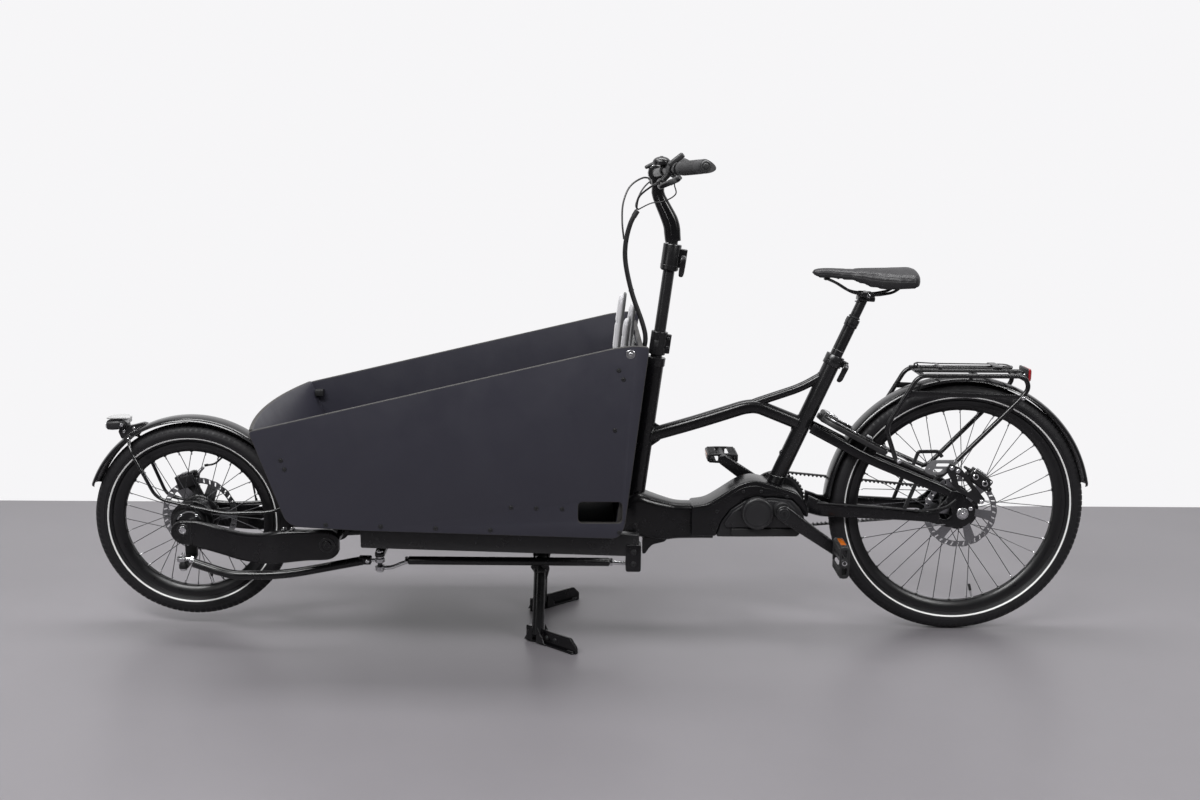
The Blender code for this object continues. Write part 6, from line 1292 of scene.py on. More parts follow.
def frame_deck():
    """Ladder under the box."""
    piece = Piece("frame_deck_dressed", "frame")
    front, rear = fore(0.49, 0).x, at(0.847, 0).x
    for side in (-1, 1):
        rows = [(x, side * 0.275, side * 0.305, deck_top(x) - 0.055, deck_top(x)) for x in (front, rear)]
        piece.add(loft(rows, 0.13, 4), COAT)
        for x in (front - 0.0006, rear + 0.0006):
            piece.add(block((x, side * 0.29, deck_top(x) - 0.0275), (0.003, 0.026, 0.05), None, 0.001, 2),
                PLASTIC)
        ends = xz((at(0.877, 0.2485), at(0.877, 0.317), at(0.84, 0.316), at(0.84, 0.2485)))
        low, high = sorted((side * 0.271, side * 0.309))
        piece.add(plate([round_outline(ends, 0.006, 4)], low, high, side_view, 0.002, 3), COAT)
        for z in (0.268, 0.298):
            piece.add(bolt((REAR_X - 0.858, side * 0.309, z), (0, side, 0), 0.0048, 0.0026, 6, 0.007), DARK)
    half = 0.29
    loops = [[(front + 0.002, -half), (at(0.905, 0).x, -half), (at(0.905, 0).x, half),
        (front + 0.002, half)]]
    length = at(0.905, 0).x - front - 0.002
    span = (length - 0.05 * 4) / 3
    for i in range(3):
        x0 = front + 0.052 + i * (span + 0.05)
        for y0, y1 in ((-half + 0.028, -0.05), (0.05, half - 0.028)):
            loops.append(round_outline([(x0, y0), (x0 + span, y0), (x0 + span, y1), (x0, y1)], 0.012, 4))
    piece.add(plate(loops, -0.005, -0.0003, lambda a, b, c: Vector((a, b, deck_top(a) + c)), 0.0008, 2),
        COAT)
    rows = [(x, -half, half, deck_top(x) - 0.034, deck_top(x) - 0.001)
        for x in (front + 0.004, front + 0.034)]
    piece.add(loft(rows, 0.1, 3), COAT)
    piece.done("frame_deck", slot="frame_black")


def frame_parts():
    """The whole frame."""
    frame_upper()
    frame_spine()
    frame_stay(-1)
    frame_stay(1)
    frame_deck()


# Motor and drive

def cut(bm, *tools):
    """Take tool bodies out of a body."""
    def as_object(body):
        bmesh.ops.recalc_face_normals(body, faces=body.faces)
        mesh = bpy.data.meshes.new("cut")
        body.to_mesh(mesh)
        body.free()
        return put("cut", mesh)
    item = as_object(bm)
    others = [as_object(tool) for tool in tools]
    for other in others:
        modifier = item.modifiers.new("cut", "BOOLEAN")
        modifier.operation = "DIFFERENCE"
        modifier.solver = "EXACT"
        modifier.object = other
    result = bmesh.new()
    result.from_object(item, bpy.context.evaluated_depsgraph_get())
    for used in [item] + others:
        mesh = used.data
        bpy.data.objects.remove(used)
        bpy.data.meshes.remove(mesh)
    return result


def grooves(centre, radii, y, material, piece, size=0.0006):
    """Fine raised rings about the Y direction."""
    for r in radii:
        piece.add(ring_profile([(r + size * math.cos(a), y + size * math.sin(a))
            for a in (math.tau * k / 8 for k in range(8))], centre, 72), material)


def motor():
    """Motor shell with its cover plates, round cap and crank ring."""
    piece = Piece("motor_dressed", "frame")
    top = [at(0.634, 0.262), at(0.622, 0.3), at(0.596, 0.336), at(0.556, 0.362), at(0.49, 0.368),
        at(0.44, 0.362), at(0.416, 0.338), at(0.405, 0.315)]
    low = [at(0.405, 0.29), at(0.42, 0.264), at(0.59, 0.262)]
    outline = round_outline(xz(top + low), 0.007, 4)
    piece.add(plate([outline], -0.052, 0.0355, side_view, 0.003, 4), MOTOR)
    front = [at(0.612, 0.289), at(0.616, 0.301), at(0.594, 0.331), at(0.5565, 0.3575), at(0.493, 0.363),
        at(0.448, 0.357), at(0.43, 0.338), at(0.43, 0.289)]
    piece.add(plate([round_outline(xz(front), 0.006, 4)], -0.06, -0.045, side_view, 0.0035, 4), MOTOR)
    lower = [at(0.596, 0.264), at(0.596, 0.286), at(0.418, 0.286), at(0.413, 0.278), at(0.424, 0.2655)]
    piece.add(plate([round_outline(xz(lower), 0.004, 3)], -0.0585, -0.045, side_view, 0.002, 3), PLASTIC)
    for d in (0.5905, 0.537, 0.49):
        piece.add(block(at(d, 0.2875, -0.056), (0.003, 0.006, 0.006), None, 0.0008, 2), PLASTIC)
    cap = at(0.53, 0.33)
    piece.add(lathe(cap, [(0.0415, -0.055), (0.042, -0.056), (0.042, -0.073), (0.0408, -0.0752),
        (0.0385, -0.077), (0.035, -0.0778), (0.0343, -0.077), (0.033, -0.077), (0.0323, -0.0779),
        (0.02, -0.0784), (0.006, -0.0786)], AXIS_Y, 72), MOTOR)
    grooves(cap, (0.0275, 0.022), -0.0781, MOTOR, piece, 0.00035)
    piece.add(lathe(cap, [(0.0366, -0.077), (0.0366, -0.0781), (0.0384, -0.0777), (0.0386, -0.0769)],
        AXIS_Y, 72, closed=True), SATIN)
    piece.add(lathe(CRANK, [(0.025, -0.054), (0.025, -0.064), (0.0236, -0.068), (0.0214, -0.073),
        (0.0118, -0.073), (0.0118, -0.065)], AXIS_Y, 56), MOTOR)
    grooves(CRANK, (0.0195, 0.0165), -0.0731, DARK, piece, 0.0005)
    piece.add(lathe(CRANK, [(0.024, 0.03), (0.024, 0.037), (0.022, 0.04), (0.0118, 0.0408)], AXIS_Y, 48),
        MOTOR)
    for d, z in ((0.596, 0.2985), (0.576, 0.337), (0.456, 0.35), (0.44, 0.296)):
        piece.add(bolt((REAR_X - d, -0.06, z), (0, -1, 0), 0.0034, 0.0018), DARK)
    for d, z in ((0.612, 0.29), (0.58, 0.336), (0.5, 0.357), (0.44, 0.348), (0.43, 0.28), (0.56, 0.275)):
        piece.add(bolt((REAR_X - d, 0.0355, z), (0, 1, 0), 0.004, 0.0022), DARK)
    for k in range(7):
        piece.add(block(at(0.6 - 0.011 * k, 0.302, 0.0362), (0.0035, 0.0028, 0.03), None, 0.001, 2), MOTOR)
    piece.done("motor", slot="motor")


def toothed(name, node_name, body, centre, material, rings):
    """Toothed wheel on the CAD teeth, with turned rings on its faces."""
    piece = Piece(name, body)
    piece.add(from_frame(node_name, 0.0004, 1, 40), material)
    for r0, r1, lo, hi, mat in rings:
        piece.add(ring_profile([(r0, lo), (r1, lo), (r1, hi), (r0, hi)], centre, 72), mat)
    return piece


def crank_arm(piece, end, sign):
    """Forged arm with a long pocket on its outer face."""
    start = CRANK
    along = (end - start).normalized()
    up = Vector((-along.z, 0.0, along.x))
    outline = []
    for centre, radius, first in ((start, 0.0208, 90), (end, 0.0143, -90)):
        for i in range(15):
            a = math.radians(first + 180 * i / 14)
            p = centre + along * (math.cos(a) * radius) + up * (math.sin(a) * radius)
            outline.append((p.x, p.z))
    low, high = sorted((sign * 0.0852, sign * 0.099))
    arm = plate([outline], low, high, side_view, 0.0034, 4)
    pocket = []
    for centre, radius, first in ((start + along * 0.04, 0.01, 90), (end - along * 0.026, 0.0072, -90)):
        for i in range(9):
            a = math.radians(first + 180 * i / 8)
            p = centre + along * (math.cos(a) * radius) + up * (math.sin(a) * radius)
            pocket.append((p.x, p.z))
    a, b = sorted((sign * 0.0972, sign * 0.101))
    arm = cut(arm, plate([pocket], a, b, side_view, 0.0, 0))
    piece.add(arm, SATIN)
    face = CRANK + Vector((0, sign * 0.099, 0))
    piece.add(lathe(face, [(0.015, -0.001), (0.015, 0.0002), (0.014, 0.001), (0.011, 0.001),
        (0.0105, 0.0004), (0.006, 0.0004)], (0, sign, 0), 40), DARK)
    piece.add(lathe(face, [(0.0086, 0.0), (0.009, 0.0006), (0.0086, 0.0022), (0.007, 0.0028),
        (0.0052, 0.0028), (0.005, 0.001)], (0, sign, 0), 36, {4: 6, 5: 6}), SATIN)


def cranks():
    """Spindle and both crank arms."""
    piece = Piece("crank_left_dressed", "cranks")
    crank_arm(piece, CRANK + CRANK_ARM, -1)
    piece.done("crank_left", slot="satin_black")
    piece = Piece("crank_right_dressed", "cranks")
    crank_arm(piece, CRANK - CRANK_ARM, 1)
    piece.add(lathe(CRANK, [(0.0105, -0.085), (0.0105, 0.055), (0.03, 0.0553), (0.03, 0.058),
        (0.025, 0.064), (0.0205, 0.086)], AXIS_Y, 48), SATIN)
    for i in range(5):
        a = math.tau * i / 5
        out = around(a)
        piece.add(tube([CRANK + out * 0.02 + Vector((0, 0.0595, 0)), CRANK + out * 0.06
            + Vector((0, 0.0582, 0))], [0.0055, 0.0042], 16), SATIN)
        piece.add(bolt(CRANK + out * 0.059 + Vector((0, 0.06, 0)), AXIS_Y, 0.0048, 0.0028, 6), BRIGHT)
    piece.done("crank_right", slot="satin_black")
    ring = toothed("chainring_dressed", "chainring", "cranks", CRANK, DARK,
        [(0.064, 0.07, 0.0546, 0.0552, DARK), (0.064, 0.07, 0.0414, 0.042, DARK)])
    ring.done("chainring", slot="dark_alloy")
    cog = toothed("rear_sprocket_dressed", "rear_sprocket", "driven_sprocket", REAR, DARK,
        [(0.0176, 0.029, 0.0534, 0.0546, STEEL)])
    cog.done("rear_sprocket", slot="dark_alloy")
    strap = Piece("belt_dressed", "frame")
    strap.add(from_frame("belt", 0.0003, 1, 50), BELT)
    strap.done("belt", slot="rubber")


def pedal(name, end, sign, level, body):
    """Pedal cage with its rubber treads, axle and reflectors."""
    piece = Piece(name + "_dressed", body)
    turn = Matrix.Identity(3) if level else Matrix.Rotation(math.radians(90), 3, "Y")
    centre = Vector((end.x, 0, end.z))

    def place(bm):
        bmesh.ops.rotate(bm, cent=(0, 0, 0), matrix=turn, verts=bm.verts)
        bmesh.ops.translate(bm, vec=centre, verts=bm.verts)
        return bm

    def y(value):
        return sign * value

    piece.add(place(lathe((0, 0, 0), [(0.009, y(0.1056)), (0.01, y(0.1066)), (0.01, y(0.118)),
        (0.0085, y(0.123)), (0.0085, y(0.188)), (0.01, y(0.192)), (0.01, y(0.203)), (0.009, y(0.204))],
        AXIS_Y, 36)), PLASTIC)
    piece.add(place(lathe((0, 0, 0), [(0.006, y(0.0885)), (0.006, y(0.107))], AXIS_Y, 24)), STEEL)
    piece.add(place(lathe((0, 0, 0), [(0.0082, y(0.0995)), (0.0082, y(0.1052))], AXIS_Y, 24, {0: 6, 1: 6})),
        STEEL)
    piece.add(place(lathe((0, 0, 0), [(0.0066, y(0.2035)), (0.0066, y(0.2046)), (0.0056, y(0.2049)),
        (0.004, y(0.2049)), (0.0038, y(0.2038))], AXIS_Y, 24, {3: 6, 4: 6})), BRIGHT)
    end_plate = round_outline([(-0.0405, 0.005), (-0.036, 0.0115), (-0.014, 0.0128), (0.014, 0.0128),
        (0.036, 0.0115), (0.0405, 0.005), (0.0405, -0.005), (0.036, -0.0115), (0.014, -0.0128),
        (-0.014, -0.0128), (-0.036, -0.0115), (-0.0405, -0.005)], 0.004, 3)
    for lo, hi in ((0.107, 0.1125), (0.1975, 0.203)):
        a, b = sorted((y(lo), y(hi)))
        windows = [round_outline([(s * 0.013, -0.007), (s * 0.033, -0.006), (s * 0.033, 0.006),
            (s * 0.013, 0.007)], 0.003, 3) for s in (-1, 1)]
        piece.add(place(plate([end_plate] + windows, a, b, side_view, 0.001, 2)), PLASTIC)
    for s in (-1, 1):
        piece.add(place(block((s * 0.037, y(0.155), 0), (0.0085, 0.088, 0.02), None, 0.0022, 3)), PLASTIC)
        piece.add(place(block((s * 0.0416, y(0.155), 0), (0.002, 0.056, 0.0135), None, 0.0008, 2)), AMBER)
        for side in (-1, 1):
            piece.add(place(block((s * 0.027, y(0.155), side * 0.0104), (0.02, 0.086, 0.0045), None, 0.0012,
                2)), RUBBER)
            for k in range(9):
                piece.add(place(block((s * 0.027, y(0.118 + 0.00925 * k), side * 0.0127),
                    (0.017, 0.0038, 0.0024), None, 0.0007, 2)), RUBBER)
    piece.done(name, slot="rubber")


def drive():
    """Motor, belt drive, cranks and pedals."""
    motor()
    cranks()
    pedal("pedal_left", CRANK + CRANK_ARM, -1, False, "left_pedal")
    pedal("pedal_right", CRANK - CRANK_ARM, 1, True, "right_pedal")


# Front end

def shifted(rows, inset):
    """The same bar stations with every side moved in."""
    return [(x, y0 + inset, y1 - inset, z0 + inset, z1 - inset) for x, y0, y1, z0, z1 in rows]


def swing_arm():
    """Two leading arms on their cross tube."""
    piece = Piece("swing_arm_dressed", "fork")
    rows = [(-0.031, 0.0945, 0.1065, 0.274, 0.288), (-0.0285, 0.093, 0.1075, 0.268, 0.295),
        (-0.0225, 0.0925, 0.108, 0.26, 0.303), (-0.012, 0.0925, 0.1085, 0.2525, 0.31),
        (0.0, 0.0925, 0.1085, 0.25, 0.312), (0.022, 0.0928, 0.1092, 0.2465, 0.3122)]
    long = [(0.0232, 0.0928, 0.1093, 0.2462, 0.312), (0.044, 0.0935, 0.111, 0.24, 0.31),
        (0.1, 0.106, 0.126, 0.229, 0.3), (0.154, 0.128, 0.15, 0.2215, 0.294),
        (0.214, 0.155, 0.178, 0.222, 0.298), (0.264, 0.165, 0.19, 0.226, 0.309),
        (0.33, 0.165, 0.19, 0.233, 0.312), (0.384, 0.165, 0.19, 0.236, 0.312),
        (0.405, 0.166, 0.189, 0.247, 0.304), (0.412, 0.169, 0.186, 0.258, 0.294)]

    def placed(stations):
        return [(FRONT.x + x, -y1, -y0, z0, z1) for x, y0, y1, z0, z1 in stations]

    piece.add(loft(placed(eased(rows, 3)), 0.3, 5), COAT, mirror=True)
    piece.add(loft(placed(eased(long, 6)), 0.3, 5), COAT, mirror=True)
    join_rows = [(0.016, 0.0935, 0.108, 0.248, 0.311), (0.03, 0.094, 0.1085, 0.2465, 0.3105)]
    piece.add(loft(shifted(placed(join_rows), 0.0012), 0.3, 4), DARK, mirror=True)
    piece.add(lathe(PIVOT, [(0.0185, -0.164), (0.02, -0.163), (0.02, 0.163), (0.0185, 0.164)], AXIS_Y, 40),
        COAT)
    for side in (-1, 1):
        cap = PIVOT + Vector((0, side * 0.1895, 0))
        piece.add(lathe(cap, [(0.02, -0.001), (0.02, 0.0008), (0.019, 0.0016), (0.015, 0.0016),
            (0.0146, 0.0004), (0.011, 0.0004), (0.011, 0.002), (0.0098, 0.003), (0.006, 0.003),
            (0.0056, 0.001)], (0, side, 0), 36, {8: 6, 9: 6}), SATIN)
        bolt_at = FRONT + Vector((0, side * 0.1082, 0))
        piece.add(lathe(bolt_at, [(0.0155, -0.001), (0.0155, 0.0006), (0.0145, 0.0014), (0.0112, 0.0014),
            (0.0106, 0.0002)], (0, side, 0), 36), SATIN)
        piece.add(lathe(bolt_at, [(0.0092, 0.0), (0.0096, 0.0006), (0.0094, 0.0026), (0.008, 0.0034),
            (0.0056, 0.0034), (0.0052, 0.0012)], (0, side, 0), 30, {4: 6, 5: 6}), BRIGHT)
        for x in (0.0125, 0.0335):
            spot = fore(x + 0.262, 0.3108, side * 0.178)
            piece.add(block(spot, (0.012, 0.02, 0.008), None, 0.002, 3), SATIN)
            piece.add(bolt(spot + Vector((0, 0, 0.0038)), AXIS_Z, 0.0042, 0.0032), BRIGHT)
    for x, z in ((-0.014, 0.262), (0.0105, 0.3005)):
        piece.add(bolt(fore(x, z, -0.1083), (0, -1, 0), 0.0026, 0.0012), DARK, mirror=True)
    piece.done("swing_arm", slot="frame_black")
    piece = Piece("front_axle_dressed", "fork")
    tip = 0.0921
    piece.add(lathe(FRONT, [(0.014, -tip), (0.0155, -tip + 0.0008), (0.0155, -tip + 0.003),
        (0.01, -tip + 0.0036), (0.0095, -tip + 0.0046), (0.0095, tip - 0.0046), (0.01, tip - 0.0036),
        (0.0155, tip - 0.003), (0.0155, tip - 0.0008), (0.014, tip)], AXIS_Y, 40), STEEL)
    piece.add(lathe(FRONT, [(0.0075, -0.0365), (0.0075, -0.0102), (0.0155, -0.0098), (0.0155, 0.0098),
        (0.0075, 0.0102), (0.0075, 0.0365)], AXIS_Z, 32), STEEL)
    piece.done("front_axle", slot="steel")


def eye(piece, centre, radius=0.0125, half=0.0055, bore=0.0082, material=None):
    """Rod end: an outer ring round a bored eye."""
    piece.add(lathe(centre, [(bore, -half + 0.0004), (bore + 0.0006, -half), (radius - 0.0012, -half),
        (radius, -half + 0.0012), (radius, half - 0.0012), (radius - 0.0012, half), (bore + 0.0006, half),
        (bore, half - 0.0004)], AXIS_Z, 36, closed=True), material or STEEL)


def lever_plate(axis, low, high, reach, hub, tip, edge=0.0016, lean=None):
    """Flat arm with round ends, from a steering axis to its ball."""
    along = Vector((reach.x, reach.y, 0)).normalized()
    side = Vector((-along.y, along.x, 0))
    outline = []
    for centre, radius, first in ((Vector((0, 0, 0)), hub, 90), (reach, tip, -90)):
        for i in range(17):
            angle = math.radians(first + 180 * i / 16)
            p = centre + along * math.cos(angle) * radius + side * math.sin(angle) * radius
            outline.append((p.x, p.y))
    turn = lean or Matrix.Identity(3)
    return plate([outline], low, high, lambda a, b, level: axis + turn @ Vector((a, b, level)), edge, 3)


def stud(piece, spot, low, high, nut_low=None, nut_high=None, boot=None):
    """Ball stud with its nuts and rubber boot."""
    piece.add(lathe((spot.x, spot.y, 0), [(0.0034, low), (0.004, low + 0.0006), (0.004, high - 0.0006),
        (0.0034, high)], AXIS_Z, 20), BRIGHT)
    for z, way in ((nut_low, 1), (nut_high, -1)):
        if z is not None:
            piece.add(nut((spot.x, spot.y, z), AXIS_Z * way, 0.0074, 0.0, 0.0048, 0.0041), BRIGHT)
    if boot is not None:
        piece.add(lathe((spot.x, spot.y, boot), [(0.0066, -0.0044), (0.0078, -0.0032), (0.008, -0.0018),
            (0.007, -0.001), (0.007, 0.0004), (0.0064, 0.0014), (0.0056, 0.002), (0.0044, 0.0024)], AXIS_Z,
            24), RUBBER)


def linkage():
    """Drag link, rear link and idler arm."""
    idler = Vector((FRONT.x + 0.5, 0, 0))
    piece = Piece("idler_arm_dressed", "idler")
    body = lever_plate(idler, 0.2305, 0.2405, LINK_ARM, 0.016, 0.0125)
    body = cut(body, lathe((idler.x, 0, 0.2), [(0.006, 0.0), (0.006, 0.06)], AXIS_Z, 24))
    piece.add(body, SATIN)
    spot = idler + LINK_ARM
    stud(piece, spot, 0.188, 0.244, None, 0.23)
    piece.add(nut((spot.x, spot.y, 0.2405), AXIS_Z, 0.0072, 0.0, 0.004, 0.0042), BRIGHT)
    piece.add(lathe((spot.x, spot.y, 0.194), [(0.007, -0.0046), (0.0078, -0.004), (0.0078, 0.0),
        (0.007, 0.0006)], AXIS_Z, 24, {1: 6, 2: 6}), BRIGHT)
    piece.add(lathe((spot.x, spot.y, 0.2103), [(0.006, -0.003), (0.006, 0.003)], AXIS_Z, 24), DARK)
    piece.done("idler_arm", slot="satin_black")

    pitman = steer(0.2155)
    far = Vector((pitman.x + LINK_ARM.x, LINK_ARM.y, 0.2155))
    near = spot + Vector((0, 0, 0.2))
    piece = Piece("rear_link_dressed", "rear_rod")
    line = [near + Vector((0.009, 0, 0)), near + Vector((0.03, 0, 0.001)), near + Vector((0.075, 0, 0.02)),
        far + Vector((-0.06, 0, 0.003)), far + Vector((-0.028, 0, 0)), far + Vector((-0.009, 0, 0))]
    piece.add(tube(line, 0.0052, 20, corner=0.022), BRIGHT)
    start, end = near + Vector((0.071, 0, 0.02)), far + Vector((-0.056, 0, 0.003))
    span = (end - start).length
    piece.add(lathe(start, [(0.006, 0.0), (0.0092, 0.0012), (0.0108, 0.004), (0.0108, span - 0.004),
        (0.0092, span - 0.0012), (0.006, span)], end - start, 32), COAT)
    for base, way in ((start, start - end), (end, end - start)):
        piece.add(nut(base, way, 0.0088, 0.0004, 0.0062, 0.0054), BRIGHT)
    for centre in (near, far):
        eye(piece, centre)
        piece.add(lathe(centre, [(0.0062, -0.0062), (0.008, -0.004), (0.008, 0.004), (0.0062, 0.0062),
            (0.0046, 0.0062), (0.0046, -0.0062)], AXIS_Z, 28, closed=True), RUBBER)
    piece.done("rear_link", slot="frame_black")

    rear_end = spot + Vector((0, 0, 0.2205))
    front_end = FRONT + LINK_ARM - Vector((0.0036, 0, 0))
    front_end.z = 0.2205
    neck = rear_end + Vector((-0.03, 0, 0))
    piece = Piece("drag_link_end_dressed", "drag_end")
    eye(piece, rear_end)
    piece.add(lathe(rear_end, [(0.0062, -0.006), (0.008, -0.004), (0.008, 0.004), (0.0062, 0.006),
        (0.0046, 0.006), (0.0046, -0.006)], AXIS_Z, 28, closed=True), RUBBER)
    piece.add(tube([rear_end + Vector((-0.0115, 0, 0)), neck + Vector((0.006, 0, 0))], 0.0042, 18), BRIGHT)
    piece.add(lathe(neck, [(0.0034, -0.0044), (0.0078, -0.0045), (0.0085, -0.0038), (0.0085, 0.0038),
        (0.0078, 0.0045), (0.0034, 0.0044)], AXIS_Y, 32, closed=True), STEEL)
    piece.done("drag_link_end", slot="steel")

    y = rear_end.y
    piece = Piece("drag_link_dressed", "drag_rod")
    stop = front_end + Vector((0.034, 0, -0.0115))
    line = [neck + Vector((-0.014, -0.002, -0.0014)), neck + Vector((-0.022, -0.003, -0.0022)),
        fore(0.262, 0.188, y - 0.028), fore(0.139, 0.187, y - 0.026), fore(0.092, 0.194, y - 0.01), stop]
    piece.add(tube(line, 0.0115, 32, corner=0.06), COAT)
    piece.add(lathe(stop, [(0.0115, -0.0004), (0.0118, 0.0002), (0.0118, 0.0028), (0.01, 0.0038),
        (0.005, 0.004)], stop - Vector(line[-2]), 32), SATIN)
    piece.add(tube([front_end + Vector((0.0115, 0, 0)), front_end + Vector((0.021, 0, -0.0004)), stop
        + Vector((0.001, 0, -0.0003))], 0.005, 20), BRIGHT)
    piece.add(nut(front_end + Vector((0.024, 0, -0.0028)), (1, 0, -0.5), 0.0084, -0.003, 0.0022, 0.005),
        BRIGHT)
    eye(piece, front_end)
    piece.add(lathe(front_end, [(0.0082, -0.005), (0.0088, -0.0062), (0.0104, -0.0062), (0.011, -0.0056)],
        AXIS_Z, 28, closed=True), RUBBER)
    fork = soften(from_box(neck + Vector((-0.024, -0.0115, -0.01)), neck + Vector((0.0085, 0.0115, 0.01))),
        0.0035, 3)
    room = from_box(neck + Vector((-0.0118, -0.0049, -0.03)), neck + Vector((0.03, 0.0049, 0.03)))
    piece.add(cut(fork, room), COAT)
    for side in (-1, 1):
        piece.add(bolt(neck + Vector((0, side * 0.0114, 0)), (0, side, 0), 0.0056, 0.003), BRIGHT)
    piece.add(lathe(neck, [(0.003, -0.012), (0.003, 0.012)], AXIS_Y, 20), BRIGHT)
    piece.done("drag_link", slot="frame_black")


def from_box(low, high):
    """Block between two corners."""
    low, high = Vector(low), Vector(high)
    return block((low + high) / 2, high - low, None, 0.0, 0)


def knuckle():
    """Hub block on the kingpin, with the steering arm and the brake mount."""
    piece = Piece("knuckle_dressed", "steering_hub")
    piece.add(from_frame("knuckle", 0.0009, 2, 36), CAST)
    half = 0.052
    for side in (-1, 1):
        face = FRONT + Vector((0, side * half, 0))
        for r0, r1, mat in ((0.0345, 0.0392, DARK), (0.03, 0.0338, STEEL)):
            ring = lathe(face, [(r0, -0.0006), (r0, 0.0006), (r0 + 0.0006, 0.0012), (r1 - 0.0006, 0.0012),
                (r1, 0.0006), (r1, -0.0006)], (0, side, 0), 72, closed=True)
            slot = from_box(face + Vector((-0.039, -0.01, -0.0114)), face + Vector((0.039, 0.01, 0.0114)))
            piece.add(cut(ring, slot), mat)
    for x, z in ((-0.02, 0.0225), (0.02, 0.0225), (-0.02, -0.0225), (0.02, -0.0225)):
        piece.add(bolt(FRONT + Vector((x, -half, z)), (0, -1, 0), 0.004, 0.0024), BRIGHT)
        piece.add(bolt(FRONT + Vector((x, half, z)), (0, 1, 0), 0.004, 0.0024), BRIGHT)
    ball = FRONT + LINK_ARM
    stud(piece, ball, 0.189, 0.2362, 0.1908, None)
    piece.add(lathe((ball.x, ball.y, 0.2066), [(0.008, 0.0), (0.008, 0.002), (0.0068, 0.0034),
        (0.006, 0.005)], AXIS_Z, 28), RUBBER)
    for x in (-0.006, 0.008):
        piece.add(bolt(FRONT + Vector((x, -half - 0.0001, -0.056)), (0, -1, 0), 0.0036, 0.0024), BRIGHT)
    for x, z in ((-0.002, 0.048), (0.008, 0.042)):
        piece.add(bolt(FRONT + Vector((x, -half, z)), (0, -1, 0), 0.0036, 0.0026), DARK)
    for x, z in ((-0.046, 0.074), (-0.002, 0.075)):
        piece.add(bolt(FRONT + Vector((x, half, z)), (0, 1, 0), 0.0038, 0.003), BRIGHT)
    piece.done("knuckle", slot="dark_alloy")


def mudguard(piece, centre, radius, half, start, end, material, steps=132):
    """Crowned guard with rolled edges, rounded off at both ends."""
    thick = 0.0022
    shape = [(r, y) for r, y, _ in catmull([(radius - 0.012, half, 0), (radius - 0.0085, half * 0.965, 0),
        (radius - 0.0045, half * 0.84, 0), (radius - 0.0014, half * 0.56, 0),
        (radius - 0.0002, half * 0.26, 0), (radius, 0.0, 0)], 0.0042)]
    bead = [(radius - 0.0124, half - 0.0004), (radius - 0.0126, half - 0.0012),
        (radius - 0.0118, half - 0.002)]
    inner = [(r - thick * 0.9, y - thick * 0.45) for r, y in shape[1:-1]] + [(radius - thick, 0.0)]
    outer = shape + [(r, -y) for r, y in shape[-2::-1]]
    under = [(r, -y) for r, y in bead] + [(r, -y) for r, y in inner] + inner[-2::-1] + bead[::-1]
    profile = outer + under
    rings = []
    for i in range(steps + 1):
        t = i / steps
        near_end = min(t, 1 - t) * steps
        narrow = 1.0 - 0.2 * max(0.0, 1 - near_end / 2.0) ** 2
        angle = math.radians(start + (end - start) * t)
        out = around(angle)
        rings.append([centre + out * r + Vector((0, y * narrow, 0)) for r, y in profile])
    piece.add(skin(rings), material)


GUARD_RADIUS = 0.278
STAY_ENDS = (124.3, 10.5)          # degrees round the front mudguard at which its stay is held


def front_guard():
    """Front mudguard with its stays."""
    radius = GUARD_RADIUS
    piece = Piece("front_fender_dressed", "steering_hub")
    mudguard(piece, FRONT, radius, 0.034, 9.0, 160.0, FENDER)
    out = 0.0563
    edge = 0.033
    ends = []
    for degrees in STAY_ENDS:
        a = math.radians(degrees)
        ends.append(FRONT + around(a) * (radius - 0.0095))
    near = [fore(-0.14, 0.482, -out), fore(-0.08, 0.358, -out), fore(0.0, 0.338, -out),
        fore(0.093, 0.318, -out), fore(0.215, 0.3225, -out)]
    far = [fore(-0.146, 0.482, out), fore(-0.088, 0.334, out), fore(0.0, 0.319, out),
        fore(0.093, 0.316, out), fore(0.215, 0.3225, out)]
    for side, points in ((-1, near), (1, far)):
        first, last = (Vector((e.x, side * edge, e.z)) for e in ends)
        piece.add(tube([first] + points + [last], 0.0044, 22, corner=0.026), GLOSS)
        for spot, degrees in zip((first, last), STAY_ENDS):
            a = math.radians(degrees)
            turn = Matrix.Rotation(math.pi / 2 - a, 3, "Y")
            piece.add(block(spot + Vector((0, side * 0.0016, 0)), (0.019, 0.006, 0.012), turn, 0.0022, 3),
                PLASTIC)
            piece.add(bolt(spot + Vector((0, side * 0.0045, 0)), (0, side, 0), 0.003, 0.0022), BRIGHT)
        joint_at = fore(0.0, 0.338 if side < 0 else 0.319, side * (out + 0.003))
        piece.add(bolt(joint_at, (0, side, 0), 0.0045, 0.003), DARK)
        piece.add(block(fore(0.0, 0.338 if side < 0 else 0.319, side * out), (0.016, 0.009, 0.011), None,
            0.002, 3), SATIN)
    for degrees in (38.0, 92.0):
        a = math.radians(degrees)
        spot = FRONT + around(a) * (radius - 0.0036)
        piece.add(bolt(spot, -around(a), 0.0042, 0.003), DARK)
    piece.done("front_fender", slot="satin_black")


